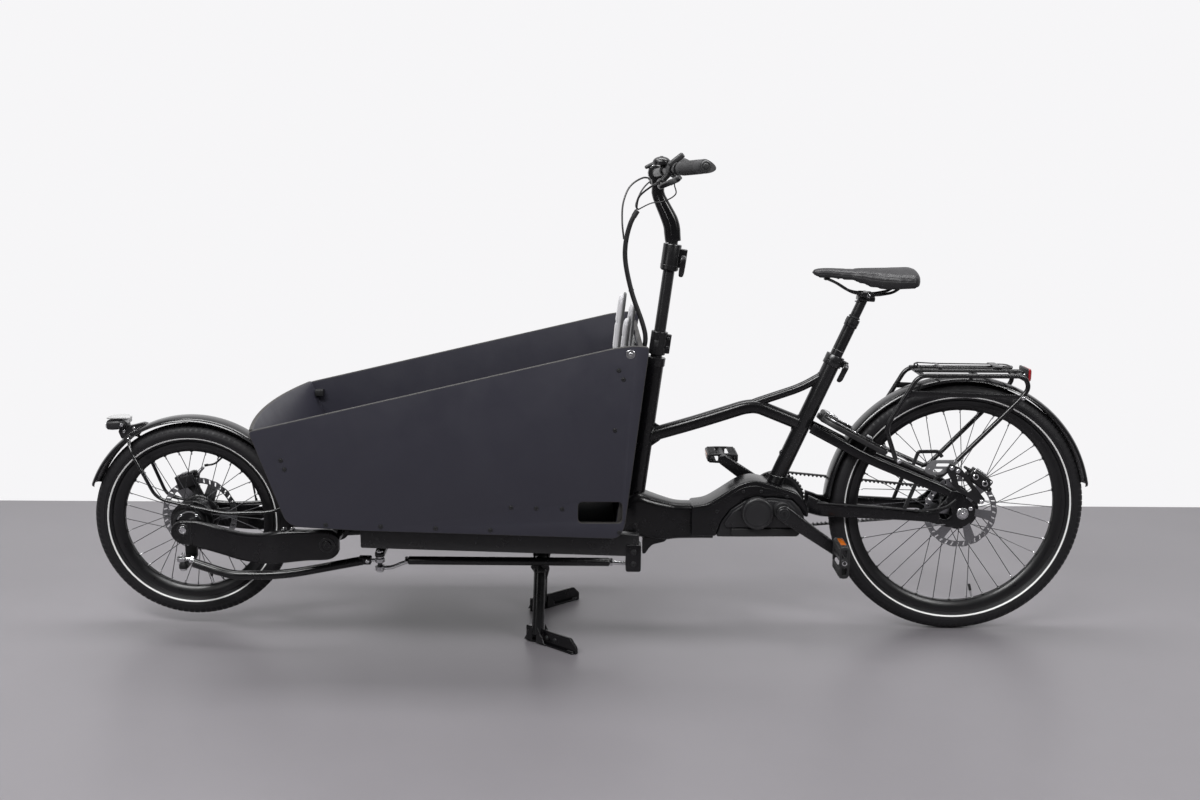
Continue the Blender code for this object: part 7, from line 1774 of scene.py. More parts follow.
def lamp():
    """Front light: a finned body, a lens set back under its hood, and the bracket."""
    piece = Piece("headlight_dressed", "steering_hub")
    centre = fore(-0.18, 0.546)
    rings = []
    for x, tall, wide, lift in ((-0.0325, 0.018, 0.034, -0.005), (-0.03, 0.024, 0.041, -0.0042),
            (-0.018, 0.026, 0.044, -0.004), (-0.005, 0.026, 0.044, -0.003), (0.006, 0.023, 0.04, -0.0022),
            (0.014, 0.018, 0.032, -0.001), (0.02, 0.011, 0.022, 0.0)):
        rings.append([centre + Vector((x, a, b + lift)) for a, b in rounded(wide, tall, 0.36, 6)])
    piece.add(skin(rings), PLASTIC)
    lens = [centre + Vector((-0.033, a, b - 0.0046)) for a, b in rounded(0.036, 0.019, 0.4, 6)]
    bulge = [centre + Vector((-0.0345, a * 0.92, b * 0.9 - 0.0046))
        for a, b in rounded(0.036, 0.019, 0.4, 6)]
    piece.add(skin([[p + Vector((0.003, 0, 0)) for p in lens], lens, bulge]), LENS)
    hood = []
    for x, wide, thick, lift in ((-0.0345, 0.012, 0.0022, 0.0122), (-0.031, 0.03, 0.0034, 0.0134),
            (-0.022, 0.042, 0.0042, 0.015), (-0.008, 0.046, 0.0046, 0.0158), (0.006, 0.044, 0.0048, 0.016),
            (0.018, 0.036, 0.005, 0.015), (0.025, 0.026, 0.004, 0.0135)):
        hood.append([centre + Vector((x, a, b + lift)) for a, b in rounded(wide, thick, 0.45, 5)])
    piece.add(skin(hood), PRINT)
    piece.add(soften(plate([[(centre.x + 0.006, centre.z + 0.002), (centre.x + 0.025, centre.z + 0.001),
        (centre.x + 0.0262, centre.z + 0.015), (centre.x + 0.01, centre.z + 0.015)]], -0.012, 0.012,
        side_view, 0.0016, 3), 0.0004, 1), PRINT)
    for k in range(5):
        x = 0.002 + 0.0042 * k
        piece.add(block(centre + Vector((x, 0, -0.003)), (0.0015, 0.043 - 0.0036 * k, 0.0235 - 0.0022 * k),
            None, 0.0005, 2), PLASTIC)
    for side in (-1, 1):
        piece.add(bolt(centre + Vector((0.008, side * 0.0205, -0.002)), (0, side, 0), 0.005, 0.0026),
            BRIGHT)
    outline = round_outline(xz((fore(-0.186, 0.524), fore(-0.178, 0.536), fore(-0.15, 0.54),
        fore(-0.12, 0.548), fore(-0.108, 0.544), fore(-0.128, 0.53), fore(-0.15, 0.517),
        fore(-0.178, 0.5035))), 0.004, 4)
    piece.add(cut(plate([outline], -0.0085, 0.0085, side_view, 0.0012, 3),
        lathe(FRONT, [(GUARD_RADIUS + 0.0004, -0.05), (GUARD_RADIUS + 0.0004, 0.05)], AXIS_Y, 160)), SATIN)
    for x, z, way in ((-0.17, 0.524, -1), (-0.17, 0.524, 1), (-0.144, 0.533, -1), (-0.144, 0.533, 1)):
        piece.add(bolt(fore(x, z, way * 0.0085), (0, way, 0), 0.0042, 0.0026), BRIGHT)
    piece.add(tube([centre + Vector((0.016, 0.008, -0.008)), fore(-0.14, 0.52, 0.015),
        fore(-0.15, 0.508, 0.024), fore(-0.146, 0.499, 0.033), fore(-0.143, 0.485, 0.056)], 0.0016, 10,
        spacing=0.004), CABLE)
    piece.done("headlight", slot="satin_black")


def caliper_body(piece, centre, rotation, side, outer_y, inner_y, bridge_y, sizes):
    """Two-part brake caliper: piston bosses outside, a narrow inner half, bridge bolts and the banjo."""
    length, outer_t, inner_t, tall = sizes
    lift = rotation @ Vector((0, 0, 1))
    along = rotation @ Vector((1, 0, 0))
    piece.add(block(centre + Vector((0, outer_y, 0)), (length, outer_t, tall), rotation, 0.0036, 4), CAST)
    piece.add(block(centre + Vector((0, inner_y, 0)), (length * 0.8, inner_t, tall * 0.84), rotation,
        0.0022, 3), CAST)
    for s in (-1, 1):
        spot = centre + Vector((0, outer_y + side * outer_t / 2, 0)) + along * (s * length * 0.22)
        piece.add(lathe(spot, [(0.0125, -0.002), (0.0128, 0.0004), (0.0118, 0.0016), (0.0098, 0.0018),
            (0.0094, 0.0008), (0.008, 0.0008)], (0, side, 0), 32), CAST)
        piece.add(lathe(spot, [(0.0074, 0.0), (0.0074, 0.0014), (0.0066, 0.002), (0.004, 0.002),
            (0.0036, 0.0008)], (0, side, 0), 28, {3: 6, 4: 6}), DARK)
        piece.add(block(centre + Vector((0, bridge_y, 0)) + lift * (tall * 0.45) + along
            * (s * length * 0.3), (length * 0.2, abs(outer_y - inner_y) + outer_t * 0.7, 0.007), rotation,
            0.0018, 3), CAST)
        piece.add(bolt(centre + Vector((0, outer_y + side * outer_t / 2, 0)) + lift * (tall * 0.3) + along
            * (s * length * 0.41), (0, side, 0), 0.0034, 0.0028), BRIGHT)
    for k in range(5):
        piece.add(block(centre + Vector((0, bridge_y, 0)) + lift * (tall * 0.46) + along
            * ((k - 2) * 0.0042), (0.0012, abs(outer_y - inner_y) + 0.004, 0.012), rotation, 0.0003, 1),
            STEEL)


def front_brake():
    """Front caliper and the brake hose."""
    angle = math.atan2(0.089, -0.031)
    rotation = Matrix.Rotation(-(angle - math.pi / 2), 3, "Y")
    centre = FRONT + Vector((-0.031, 0, 0.09))
    piece = Piece("front_caliper_dressed", "steering_hub")
    caliper_body(piece, centre, rotation, 1, 0.0585, 0.0375, 0.049, (0.062, 0.0115, 0.0065, 0.038))
    start = centre + Vector((0.02, 0.06, 0.012))
    end = centre + Vector((0.0405, 0.0641, 0.0345))
    piece.add(tube([start, end], [0.0052, 0.0044, 0.0044], 20), BRIGHT)
    piece.add(lathe(start, [(0.0075, -0.001), (0.0075, 0.005), (0.0066, 0.0058), (0.005, 0.0058)], end
        - start, 24, {0: 6, 1: 6}), BRIGHT)
    for s in (-1, 1):
        spot = centre + rotation @ Vector((s * 0.03, 0, -0.012)) + Vector((0, 0.064, 0))
        piece.add(bolt(spot, (0, 1, 0), 0.0042, 0.004, 6, 0.0062), BRIGHT)
    piece.done("front_caliper", slot="dark_alloy")
    piece = Piece("front_brake_hose_dressed", "steering_hub")
    first = centre + Vector((0.0435, 0.0645, 0.038))
    line = [first, fore(0.036, 0.42, 0.075), fore(0.062, 0.438, 0.084), fore(0.094, 0.428, 0.1),
        fore(0.116, 0.392, 0.116), fore(0.1235, 0.345, 0.126), fore(0.129, 0.3005, 0.13)]
    piece.add(tube(line, 0.0026, 20, spacing=0.004), CABLE)
    piece.add(lathe(first, [(0.0028, -0.001), (0.0036, 0.0), (0.0036, 0.008), (0.0028, 0.0095)],
        Vector(line[1]) - first, 20), RUBBER)
    last = Vector(line[-1])
    piece.add(lathe(last + Vector((-0.0008, 0, 0.01)), [(0.0028, 0.0), (0.0035, 0.001), (0.0035, 0.008),
        (0.0028, 0.009)], (0.1, 0.07, -1), 20), RUBBER)
    piece.done("front_brake_hose", slot="rubber")


def front_end():
    """Everything ahead of the box."""
    swing_arm()
    linkage()
    knuckle()
    front_guard()
    lamp()
    front_brake()


# Steering column and handlebar

BAR = at(0.803, 1.196)
BAR_HALF = 0.345
DROOP = math.radians(-40.0)
BAND_BORE = 0.0112                 # of the clamps round the bar


def along_steer(z, y=0.0, out=0.0):
    """Point on the steering axis, set off along the bike."""
    return steer(z, y) + Vector((out, 0, 0))


def column():
    """Steering column with its bearings, clamps and pitman arm."""
    piece = Piece("steering_column_dressed", "column")
    lean = Matrix.Rotation(STEER_TILT, 3, "Y")
    foot = steer(0.2485)
    base = steer(0.2365)
    piece.add(lathe(base, [(0.014, 0.0), (0.015, 0.0008), (0.015, (steer(0.955) - base).length)], STEER_UP,
        48), COAT)
    piece.add(lever_plate(foot, -0.0175, -0.006, LINK_ARM, 0.0195, 0.0125, 0.0016, lean), SATIN)
    piece.add(lathe(foot, [(0.0195, -0.0182), (0.0202, -0.0172), (0.0202, -0.006), (0.019, -0.0052),
        (0.019, -0.0012), (0.018, -0.0003), (0.015, -0.0003)], STEER_UP, 48), SATIN)
    piece.add(lathe(foot, [(0.0085, -0.021), (0.0092, -0.02), (0.0092, -0.0182)], STEER_UP, 28,
        {0: 6, 1: 6, 2: 6}), BRIGHT)
    head = foot + lean @ (LINK_ARM + Vector((0, 0, -0.008)))
    piece.add(lathe(head, [(0.004, 0.0), (0.004, -(head.z - 0.199)), (0.0034, -(head.z - 0.1984))],
        STEER_UP, 20), BRIGHT)
    piece.add(nut(head, STEER_UP, 0.0078, 0.002, 0.0068, 0.004), BRIGHT)
    low_nut = head - STEER_UP * (head.z - 0.206)
    piece.add(nut(low_nut, STEER_UP, 0.0074, -0.006, -0.0012, 0.004), BRIGHT)
    # Upper bearing clamp
    clamp = steer(0.735)
    tall = (steer(0.795) - clamp).length
    piece.add(lathe(clamp, [(0.0155, 0.0004), (0.0205, 0.0004), (0.0215, 0.0014), (0.0215, tall - 0.0014),
        (0.0205, tall - 0.0004), (0.0155, tall - 0.0004)], STEER_UP, 56, closed=True), COAT)
    lobe = [(-0.004, -0.009), (0.019, -0.009), (0.032, -0.006), (0.032, 0.006), (0.019, 0.009),
        (-0.004, 0.009)]

    def lobe_place(centre):
        return lambda a, b, level: centre + lean @ Vector((a, b, level))

    piece.add(plate([round_outline(lobe, 0.005, 5)], -0.025, 0.025, lobe_place(steer(HEAD_CLAMP_Z)), 0.0022,
        4), COAT)
    for z in (0.7535, 0.7765):
        spot = along_steer(z, 0.0, 0.0245)
        piece.add(bolt(spot + Vector((0, -0.0078, 0)), (0, -1, 0), 0.0046, 0.0026), DARK)
        piece.add(bolt(spot + Vector((0, 0.0078, 0)), (0, 1, 0), 0.004, 0.0022, 6), DARK)
    piece.add(block(along_steer(HEAD_CLAMP_Z, -0.019, -0.006), (0.012, 0.006, 0.018), lean, 0.0012, 3),
        PLASTIC)
    piece.add(block(along_steer(HEAD_CLAMP_Z, -0.0222, -0.006), (0.007, 0.0014, 0.012), lean, 0.0004, 2),
        DARK)
    # Height clamp
    collar = steer(0.951)
    tall = (steer(1.018) - collar).length
    ring = lathe(collar, [(0.0128, 0.0), (0.02, 0.0), (0.0235, 0.0036), (0.0235, tall - 0.0018),
        (0.0228, tall), (0.0128, tall)], STEER_UP, 64, closed=True)
    wedge = plate([round_outline([(0.014, -0.011), (0.03, -0.011), (0.04, -0.008), (0.04, 0.008),
        (0.03, 0.011), (0.014, 0.011)], 0.004, 5)], -0.024, 0.024, lobe_place(steer(HEIGHT_CLAMP_Z)),
        0.0024, 4)
    for body in (ring, wedge):
        slit = block(steer(0.99) + Vector((0.028, 0, 0)), (0.03, 0.0028, 0.08), lean, 0.0, 0)
        piece.add(cut(body, slit), COAT)
    piece.add(lathe(collar, [(0.0237, 0.012), (0.0243, 0.0128), (0.0243, 0.0138), (0.0237, 0.0146)],
        STEER_UP, 64, closed=True), COAT)
    pin = along_steer(HEIGHT_CLAMP_Z, 0.0, 0.031)
    piece.add(lathe(pin, [(0.003, -0.0138), (0.003, 0.0135)], AXIS_Y, 20), BRIGHT)
    piece.add(lathe(pin, [(0.006, 0.0108), (0.0068, 0.0116), (0.0068, 0.015), (0.0056, 0.0162),
        (0.003, 0.0162)], AXIS_Y, 28, {0: 8, 1: 8, 2: 8}), SATIN)
    piece.done("steering_column", slot="frame_black")
    piece = Piece("column_clamp_lever_dressed", "column_lever")
    quick_lever(piece, along_steer(HEIGHT_CLAMP_Z, -0.02, 0.031), lean, 0.05)
    piece.done("column_clamp_lever", slot="steel")


def quick_lever(piece, place, lean, length):
    """Cam head on its pin with a curved blade hanging along the tube."""
    points = [(-0.005, 0.0), (-0.003, -0.0004), (0.004, -0.003), (0.012, -0.004), (0.02, -0.0042),
        (0.03, -0.0034), (0.038, -0.002), (length - 0.003, 0.0024), (length, 0.0036)]
    sizes = [(0.008, 0.004), (0.0125, 0.0066), (0.0156, 0.008), (0.015, 0.0068), (0.014, 0.0058),
        (0.0144, 0.0052), (0.0142, 0.0048), (0.0118, 0.004), (0.006, 0.0022)]
    rings = []
    for (along, out), (tall, thick) in zip(points, sizes):
        centre = place + lean @ Vector((0, out, -along))
        rings.append([centre + lean @ Vector((-a, b, 0)) for a, b in rounded(tall, thick, 0.42, 5)])
    piece.add(skin(rings), SATIN)
    piece.add(lathe(place + Vector((0, -0.004, 0)), [(0.005, 0.0), (0.0054, 0.0008), (0.0048, 0.0022),
        (0.0026, 0.0026), (0.0022, 0.0012)], (0, -1, 0), 24), BRIGHT)


def stem():
    """Stem post with its bar clamp."""
    piece = Piece("stem_post_dressed", "stem")
    low = steer(0.8)
    piece.add(lathe(low, [(0.0118, 0.0), (0.0125, 0.0008), (0.0125, (steer(1.028) - low).length)], STEER_UP,
        44), SATIN)
    for k in range(8):
        mark = steer(0.84 + 0.014 * k)
        piece.add(lathe(mark, [(0.01255, 0.0), (0.01262, 0.0001), (0.01262, 0.0005), (0.01255, 0.0006)],
            STEER_UP, 44, closed=True), PRINT)
    base = steer(1.018 + 0.0065)
    path = [base, base + Vector((-0.001, 0, 0.007)), base + Vector((-0.002, 0, 0.016)), base
        + Vector((-0.008, 0, 0.05)), BAR + Vector((0.008, 0, -0.058)), BAR + Vector((0.0055, 0, -0.034)),
        BAR + Vector((0.002, 0, -0.01))]
    shapes = [(0.031, 0.04), (0.0345, 0.042), (0.035, 0.041), (0.035, 0.037), (0.035, 0.033),
        (0.037, 0.0315), (0.041, 0.03)]
    fine = catmull(path, 0.008)
    piece.add(sweep(fine, [grooved(wide, deep) for wide, deep in along_sizes(fine, shapes)]), COAT)
    for side in (-1, 1):
        rail = [p + Vector((-0.004, side * 0.0168, 0)) for p in fine[2:-4]]
        piece.add(tube(rail, 0.001, 8), SATIN)
    ring = lathe(BAR, [(0.0122, -0.0208), (0.0175, -0.021), (0.0186, -0.02), (0.0186, -0.0008),
        (0.018, 0.0), (0.0186, 0.0008), (0.0186, 0.02), (0.0175, 0.021), (0.0122, 0.0208)], AXIS_Y, 56,
        closed=True)
    piece.add(ring, COAT)
    for y in (-0.0135, 0.0135):
        for way in (Vector((-1, 0, -0.3)).normalized(), Vector((-0.45, 0, 1)).normalized()):
            piece.add(bolt(BAR + way * 0.0176 + Vector((0, y, 0)), way, 0.0038, 0.003), BRIGHT)
    plate_front = [BAR + Vector((math.cos(a) * 0.0188, 0, math.sin(a) * 0.0188))
        for a in (math.radians(d) for d in range(110, 251, 14))]
    piece.add(sweep(plate_front, rounded(0.04, 0.003, 0.4, 4)), SATIN)
    piece.done("stem_post", slot="satin_black")


def grooved(wide, deep):
    """Section of the stem: round corners and a shallow groove down each side."""
    points = []
    for x, y in rounded(wide, deep, 0.42, 7):
        near = max(0.0, 1 - abs(y + deep * 0.12) / 0.004)
        points.append((x - math.copysign(0.0012 * near, x), y))
    return points


def bar_line(side):
    """Corner points of one half of the handlebar."""
    return [BAR + Vector((0, side * 0.05, 0)), at(0.785, 1.204, side * (BAR_HALF - 0.205)),
        at(0.762, 1.208, side * (BAR_HALF - 0.135)), at(0.7095, 1.216, side * (BAR_HALF - 0.004))]


def grip_axis(side):
    """Direction of one grip, outwards."""
    line = bar_line(side)
    return (line[3] - line[2]).normalized()


def lever_seat(side):
    """Middle of one brake mount on the bar."""
    return at(0.772, 1.2065, side * (BAR_HALF - 0.165))


def clamp_band(piece, centre, along, width, radius, thick, material, bolts=True):
    """Split band round the bar."""
    along = Vector(along).normalized()
    piece.add(lathe(centre, [(radius, -width / 2), (radius + thick - 0.0006, -width / 2),
        (radius + thick, 0.0006 - width / 2), (radius + thick, width / 2 - 0.0006),
        (radius + thick - 0.0006, width / 2), (radius, width / 2)], along, 40, closed=True), material)
    if bolts:
        down = Vector((-0.5, 0, -0.85)).normalized()
        piece.add(bolt(centre + down * (radius + thick), down, 0.0034, 0.003), BRIGHT)


def bars():
    """Handlebar, brake mounts, control unit and display."""
    piece = Piece("handlebar_dressed", "stem")
    path = bend(bar_line(-1)[::-1] + [BAR] + bar_line(1), 0.05, 9)
    piece.add(sweep(path, ring_circle(0.011, 32), (0, 0, 1)), SATIN)
    piece.add(lathe(BAR, [(0.0108, -0.034), (0.0119, -0.0332), (0.0119, 0.0332), (0.0108, 0.034)], AXIS_Y,
        40), SATIN)
    turn = Matrix.Rotation(DROOP, 3, "Y")
    for side in (-1, 1):
        along = grip_axis(side)
        mount = lever_seat(side)
        clamp_band(piece, mount, along, 0.016, BAND_BORE, 0.0042, CAST)
        reach = mount + turn @ Vector((-0.042, -side * 0.006, -0.006))
        piece.add(tube([mount + turn @ Vector((-0.01, -side * 0.002, -0.001)), mount + turn
            @ Vector((-0.026, -side * 0.004, -0.004)), reach], [0.008, 0.007, 0.008], 24), CAST)
        inner = mount + turn @ Vector((-0.04, -side * 0.008, -0.007))
        outer = mount + turn @ Vector((-0.04, side * 0.03, -0.007))
        length = (outer - inner).length
        piece.add(lathe(inner, [(0.006, -0.002), (0.0082, 0.0), (0.0087, 0.0016), (0.0087, length * 0.55),
            (0.0078, length * 0.72), (0.0078, length - 0.0012), (0.0066, length)], outer - inner, 32), CAST)
        piece.add(block(inner.lerp(outer, 0.34) + turn @ Vector((0.0, 0, 0.0074)), (0.013, 0.02, 0.005),
            turn, 0.0016, 3), CAST)
        for share in (0.18, 0.5):
            piece.add(bolt(inner.lerp(outer, share) + turn @ Vector((0, 0, 0.0098)), turn
                @ Vector((0, 0, 1)), 0.0022, 0.0014), BRIGHT)
        nose = inner - (outer - inner).normalized() * 0.001
        piece.add(lathe(nose, [(0.0052, 0.0), (0.0052, 0.006), (0.0044, 0.0068), (0.0034, 0.0078)], inner
            - outer, 24, {0: 6, 1: 6}), SATIN)
        collar = bar_line(side)[2].lerp(bar_line(side)[3], 0.02)
        clamp_band(piece, collar, along, 0.009, BAND_BORE, 0.0044, PLASTIC, False)
    # Shifter on the right, control unit on the left, small display by the stem
    along = grip_axis(-1)
    base = bar_line(-1)[1].lerp(bar_line(-1)[2], 0.62)
    clamp_band(piece, base, along, 0.01, BAND_BORE, 0.0034, PLASTIC, False)
    pod = base + Vector((0.006, -0.006, 0.015))
    lift = Matrix.Rotation(math.radians(-38), 3, "Y")
    piece.add(block(pod + lift @ Vector((0.004, 0, 0.006)), (0.044, 0.028, 0.014), lift, 0.0042, 4),
        PLASTIC)
    piece.add(block(pod + lift @ Vector((0.004, 0, 0.0106)), (0.03, 0.018, 0.0012), lift, 0.0005, 2),
        SCREEN)
    for k in range(3):
        piece.add(block(pod + lift @ Vector((0.018 - 0.0006 * k, 0, 0.0112 - 0.0002)) + lift
            @ Vector((0, (k - 1) * 0.0072, 0)), (0.0046, 0.005, 0.0014), lift, 0.0005, 2), RUBBER)
    base = bar_line(1)[1].lerp(bar_line(1)[2], 0.7)
    clamp_band(piece, base, grip_axis(1), 0.012, BAND_BORE, 0.004, PLASTIC, False)
    piece.add(block(base + Vector((0.008, 0.002, -0.015)), (0.04, 0.024, 0.011),
        Matrix.Rotation(0.3, 3, "Y"), 0.0034, 4), PLASTIC)
    piece.add(block(base + Vector((0.02, 0.008, -0.024)), (0.026, 0.012, 0.0045),
        Matrix.Rotation(0.5, 3, "Y"), 0.0018, 3), RUBBER)
    screen = BAR + Vector((-0.012, 0.034, 0.02))
    tilt = Matrix.Rotation(math.radians(-28), 3, "Y")
    clamp_band(piece, BAR + Vector((0, 0.034, 0)), AXIS_Y, 0.01, 0.0119, 0.003, PLASTIC, False)
    piece.add(block(screen + Vector((0.004, 0, -0.004)), (0.022, 0.014, 0.014), tilt, 0.0026, 3), PLASTIC)
    piece.add(block(screen + Vector((0.006, 0.0, 0.0026)), (0.046, 0.038, 0.009), tilt, 0.0034, 4), PLASTIC)
    piece.add(block(screen + tilt @ Vector((0, 0, 0.0036)) + Vector((0.006, 0.0, 0.0026)),
        (0.036, 0.029, 0.001), tilt, 0.0004, 2), SCREEN)
    piece.done("handlebar", slot="satin_black")


def grips():
    """Both grips with their palm wings and end rings."""
    for side, word in ((-1, "left"), (1, "right")):
        along = grip_axis(side)
        piece = Piece("grip_" + word + "_dressed", "stem")
        end = bar_line(side)[3] + along * 0.004
        start = end - along * 0.128
        back = Vector((1, 0, -0.15)).normalized()
        stations = [(0.0, 0.0142, 0.0), (0.012, 0.0155, 0.0), (0.06, 0.016, 0.0), (0.1, 0.0165, 0.0),
            (0.45, 0.0165, 0.003), (0.6, 0.0165, 0.007), (0.75, 0.0165, 0.011), (0.86, 0.0165, 0.013),
            (0.94, 0.0165, 0.0132), (0.975, 0.0163, 0.0125), (1.0, 0.015, 0.0095)]
        rings = []
        for _, radius, wing in stations:
            shape = []
            for a, b in ring_circle(radius, 40):
                reach = max(0.0, a / radius)
                shape.append((a + wing * reach, b * (1.0 - 0.35 * reach * min(1.0, wing / 0.02))))
            rings.append(shape)
        piece.add(sweep([start.lerp(end, s[0]) for s in stations], rings, back), GRIP)
        for k in range(16):
            spot = start.lerp(end, 0.16 + 0.038 * k)
            wing = 0.0 if k < 5 else 0.011 * min(1.0, (k - 5) / 7)
            loop = []
            for a, b in ring_circle(0.0165, 28):
                reach = max(0.0, a / 0.0165)
                loop.append((a + wing * reach, b * (1.0 - 0.35 * reach * min(1.0, wing / 0.02))))
            frame_here = frames([spot, spot + along * 0.001], back)[0]
            line = [frame_here[0] + frame_here[1] * a + frame_here[2] * b for a, b in loop]
            piece.add(tube(line, 0.00045, 6, across=along, closed=True), RUBBER)
        piece.add(lathe(end, [(0.013, -0.0004), (0.0134, 0.0004), (0.0128, 0.0016), (0.0108, 0.0018),
            (0.0104, 0.001), (0.008, 0.001), (0.0076, 0.0016), (0.0048, 0.0018), (0.0044, 0.0006)], along,
            40), SATIN)
        piece.add(lathe(end, [(0.0106, 0.0009), (0.0128, 0.0009), (0.0129, 0.002), (0.0108, 0.0024)], along,
            40, closed=True), DARK)
        piece.done("grip_" + word, slot="rubber")


def brake_levers():
    """Both brake levers."""
    turn = Matrix.Rotation(DROOP, 3, "Y")
    for side, word in ((-1, "left"), (1, "right")):
        place = lever_seat(side) + turn @ Vector((-0.04, side * 0.024, -0.007))
        piece = Piece("brake_lever_" + word + "_dressed", word + "_lever")
        offsets = [(-0.004, 0.0115, -0.001), (-0.01, 0.018, -0.002), (-0.0045, 0.034, -0.004),
            (0.004, 0.05, -0.006), (0.016, 0.075, -0.0085), (0.026, 0.098, -0.01), (0.032, 0.112, -0.0102),
            (0.036, 0.1225, -0.0098)]
        shapes = [(0.009, 0.01), (0.0118, 0.0122), (0.0082, 0.0124), (0.0068, 0.0128), (0.0066, 0.0132),
            (0.007, 0.0138), (0.0084, 0.0146), (0.007, 0.011)]
        path = [place + turn @ Vector((x, side * y, z)) for x, y, z in offsets]
        fine = catmull(path, 0.004)
        outline = [rounded(wide, tall, 0.4, 5) for wide, tall in along_sizes(fine, shapes)]
        piece.add(sweep(fine, outline, turn @ Vector((1, 0, 0))), SATIN)
        for level in (-1, 1):
            cap = [place + turn @ Vector((x, side * y, level * 0.0074))
                for x, y in ((0.0, -0.001), (-0.006, 0.01), (-0.0085, 0.019))]
            piece.add(tube(cap, [0.0052, 0.0048, 0.0036], 14), DARK)
        up = turn @ Vector((0, 0, 1))
        piece.add(lathe(place - up * 0.011, [(0.003, 0.0), (0.0034, 0.0006), (0.0034, 0.0214),
            (0.003, 0.022)], up, 20), BRIGHT)
        for share in (0.52, 0.58, 0.64):
            index = int(share * (len(fine) - 1))
            piece.add(lathe(fine[index], [(0.0022, -0.0071), (0.0024, -0.0068), (0.0024, 0.0068),
                (0.0022, 0.0071)], up, 16), PLASTIC)
        piece.done("brake_lever_" + word, slot="dark_alloy")


def bell():
    """Bell on its band."""
    piece = Piece("bell_dressed", "stem")
    centre = at(0.796, 1.2235, -0.128)
    dome = []
    for k in range(13):
        a = math.pi / 2 * k / 12
        dome.append((0.0215 * math.cos(a) + 0.0001, 0.0135 * math.sin(a)))
    piece.add(lathe(centre, [(0.0185, -0.0052), (0.021, -0.0058), (0.0217, -0.005), (0.0217, -0.002)]
        + dome, AXIS_Z, 48), SATIN)
    piece.add(lathe(centre + Vector((0, 0, 0.0128)), [(0.0042, 0.0), (0.0042, 0.001), (0.0034, 0.0016),
        (0.0016, 0.0018)], AXIS_Z, 24), DARK)
    piece.add(lathe(centre, [(0.01, -0.0075), (0.014, -0.0066), (0.014, -0.0052)], AXIS_Z, 32), PLASTIC)
    piece.add(block(centre + Vector((0.0185, 0.004, -0.0058)), (0.013, 0.006, 0.003), None, 0.001, 3),
        PLASTIC)
    clamp_band(piece, at(0.788, 1.2028, -0.128), (0.15, -1, 0.04), 0.009, BAND_BORE, 0.0024, PLASTIC, False)
    piece.add(block(centre + Vector((0.002, 0, -0.0092)), (0.011, 0.009, 0.005), None, 0.0014, 3), PLASTIC)
    piece.done("bell", slot="satin_black")


def helix(path, radius, pitch, per_turn=12):
    """Points that wind round a path."""
    stations = frames(path, (0, 1, 0))
    run = 0.0
    points = []
    for (one, side, up), (two, _, _) in zip(stations, stations[1:]):
        length = (two - one).length
        steps = max(1, round(length / pitch * per_turn))
        for k in range(steps):
            angle = math.tau * (run + length * k / steps) / pitch
            points.append(one.lerp(two, k / steps) + side * math.cos(angle) * radius + up * math.sin(angle)
                * radius)
        run += length
    return points


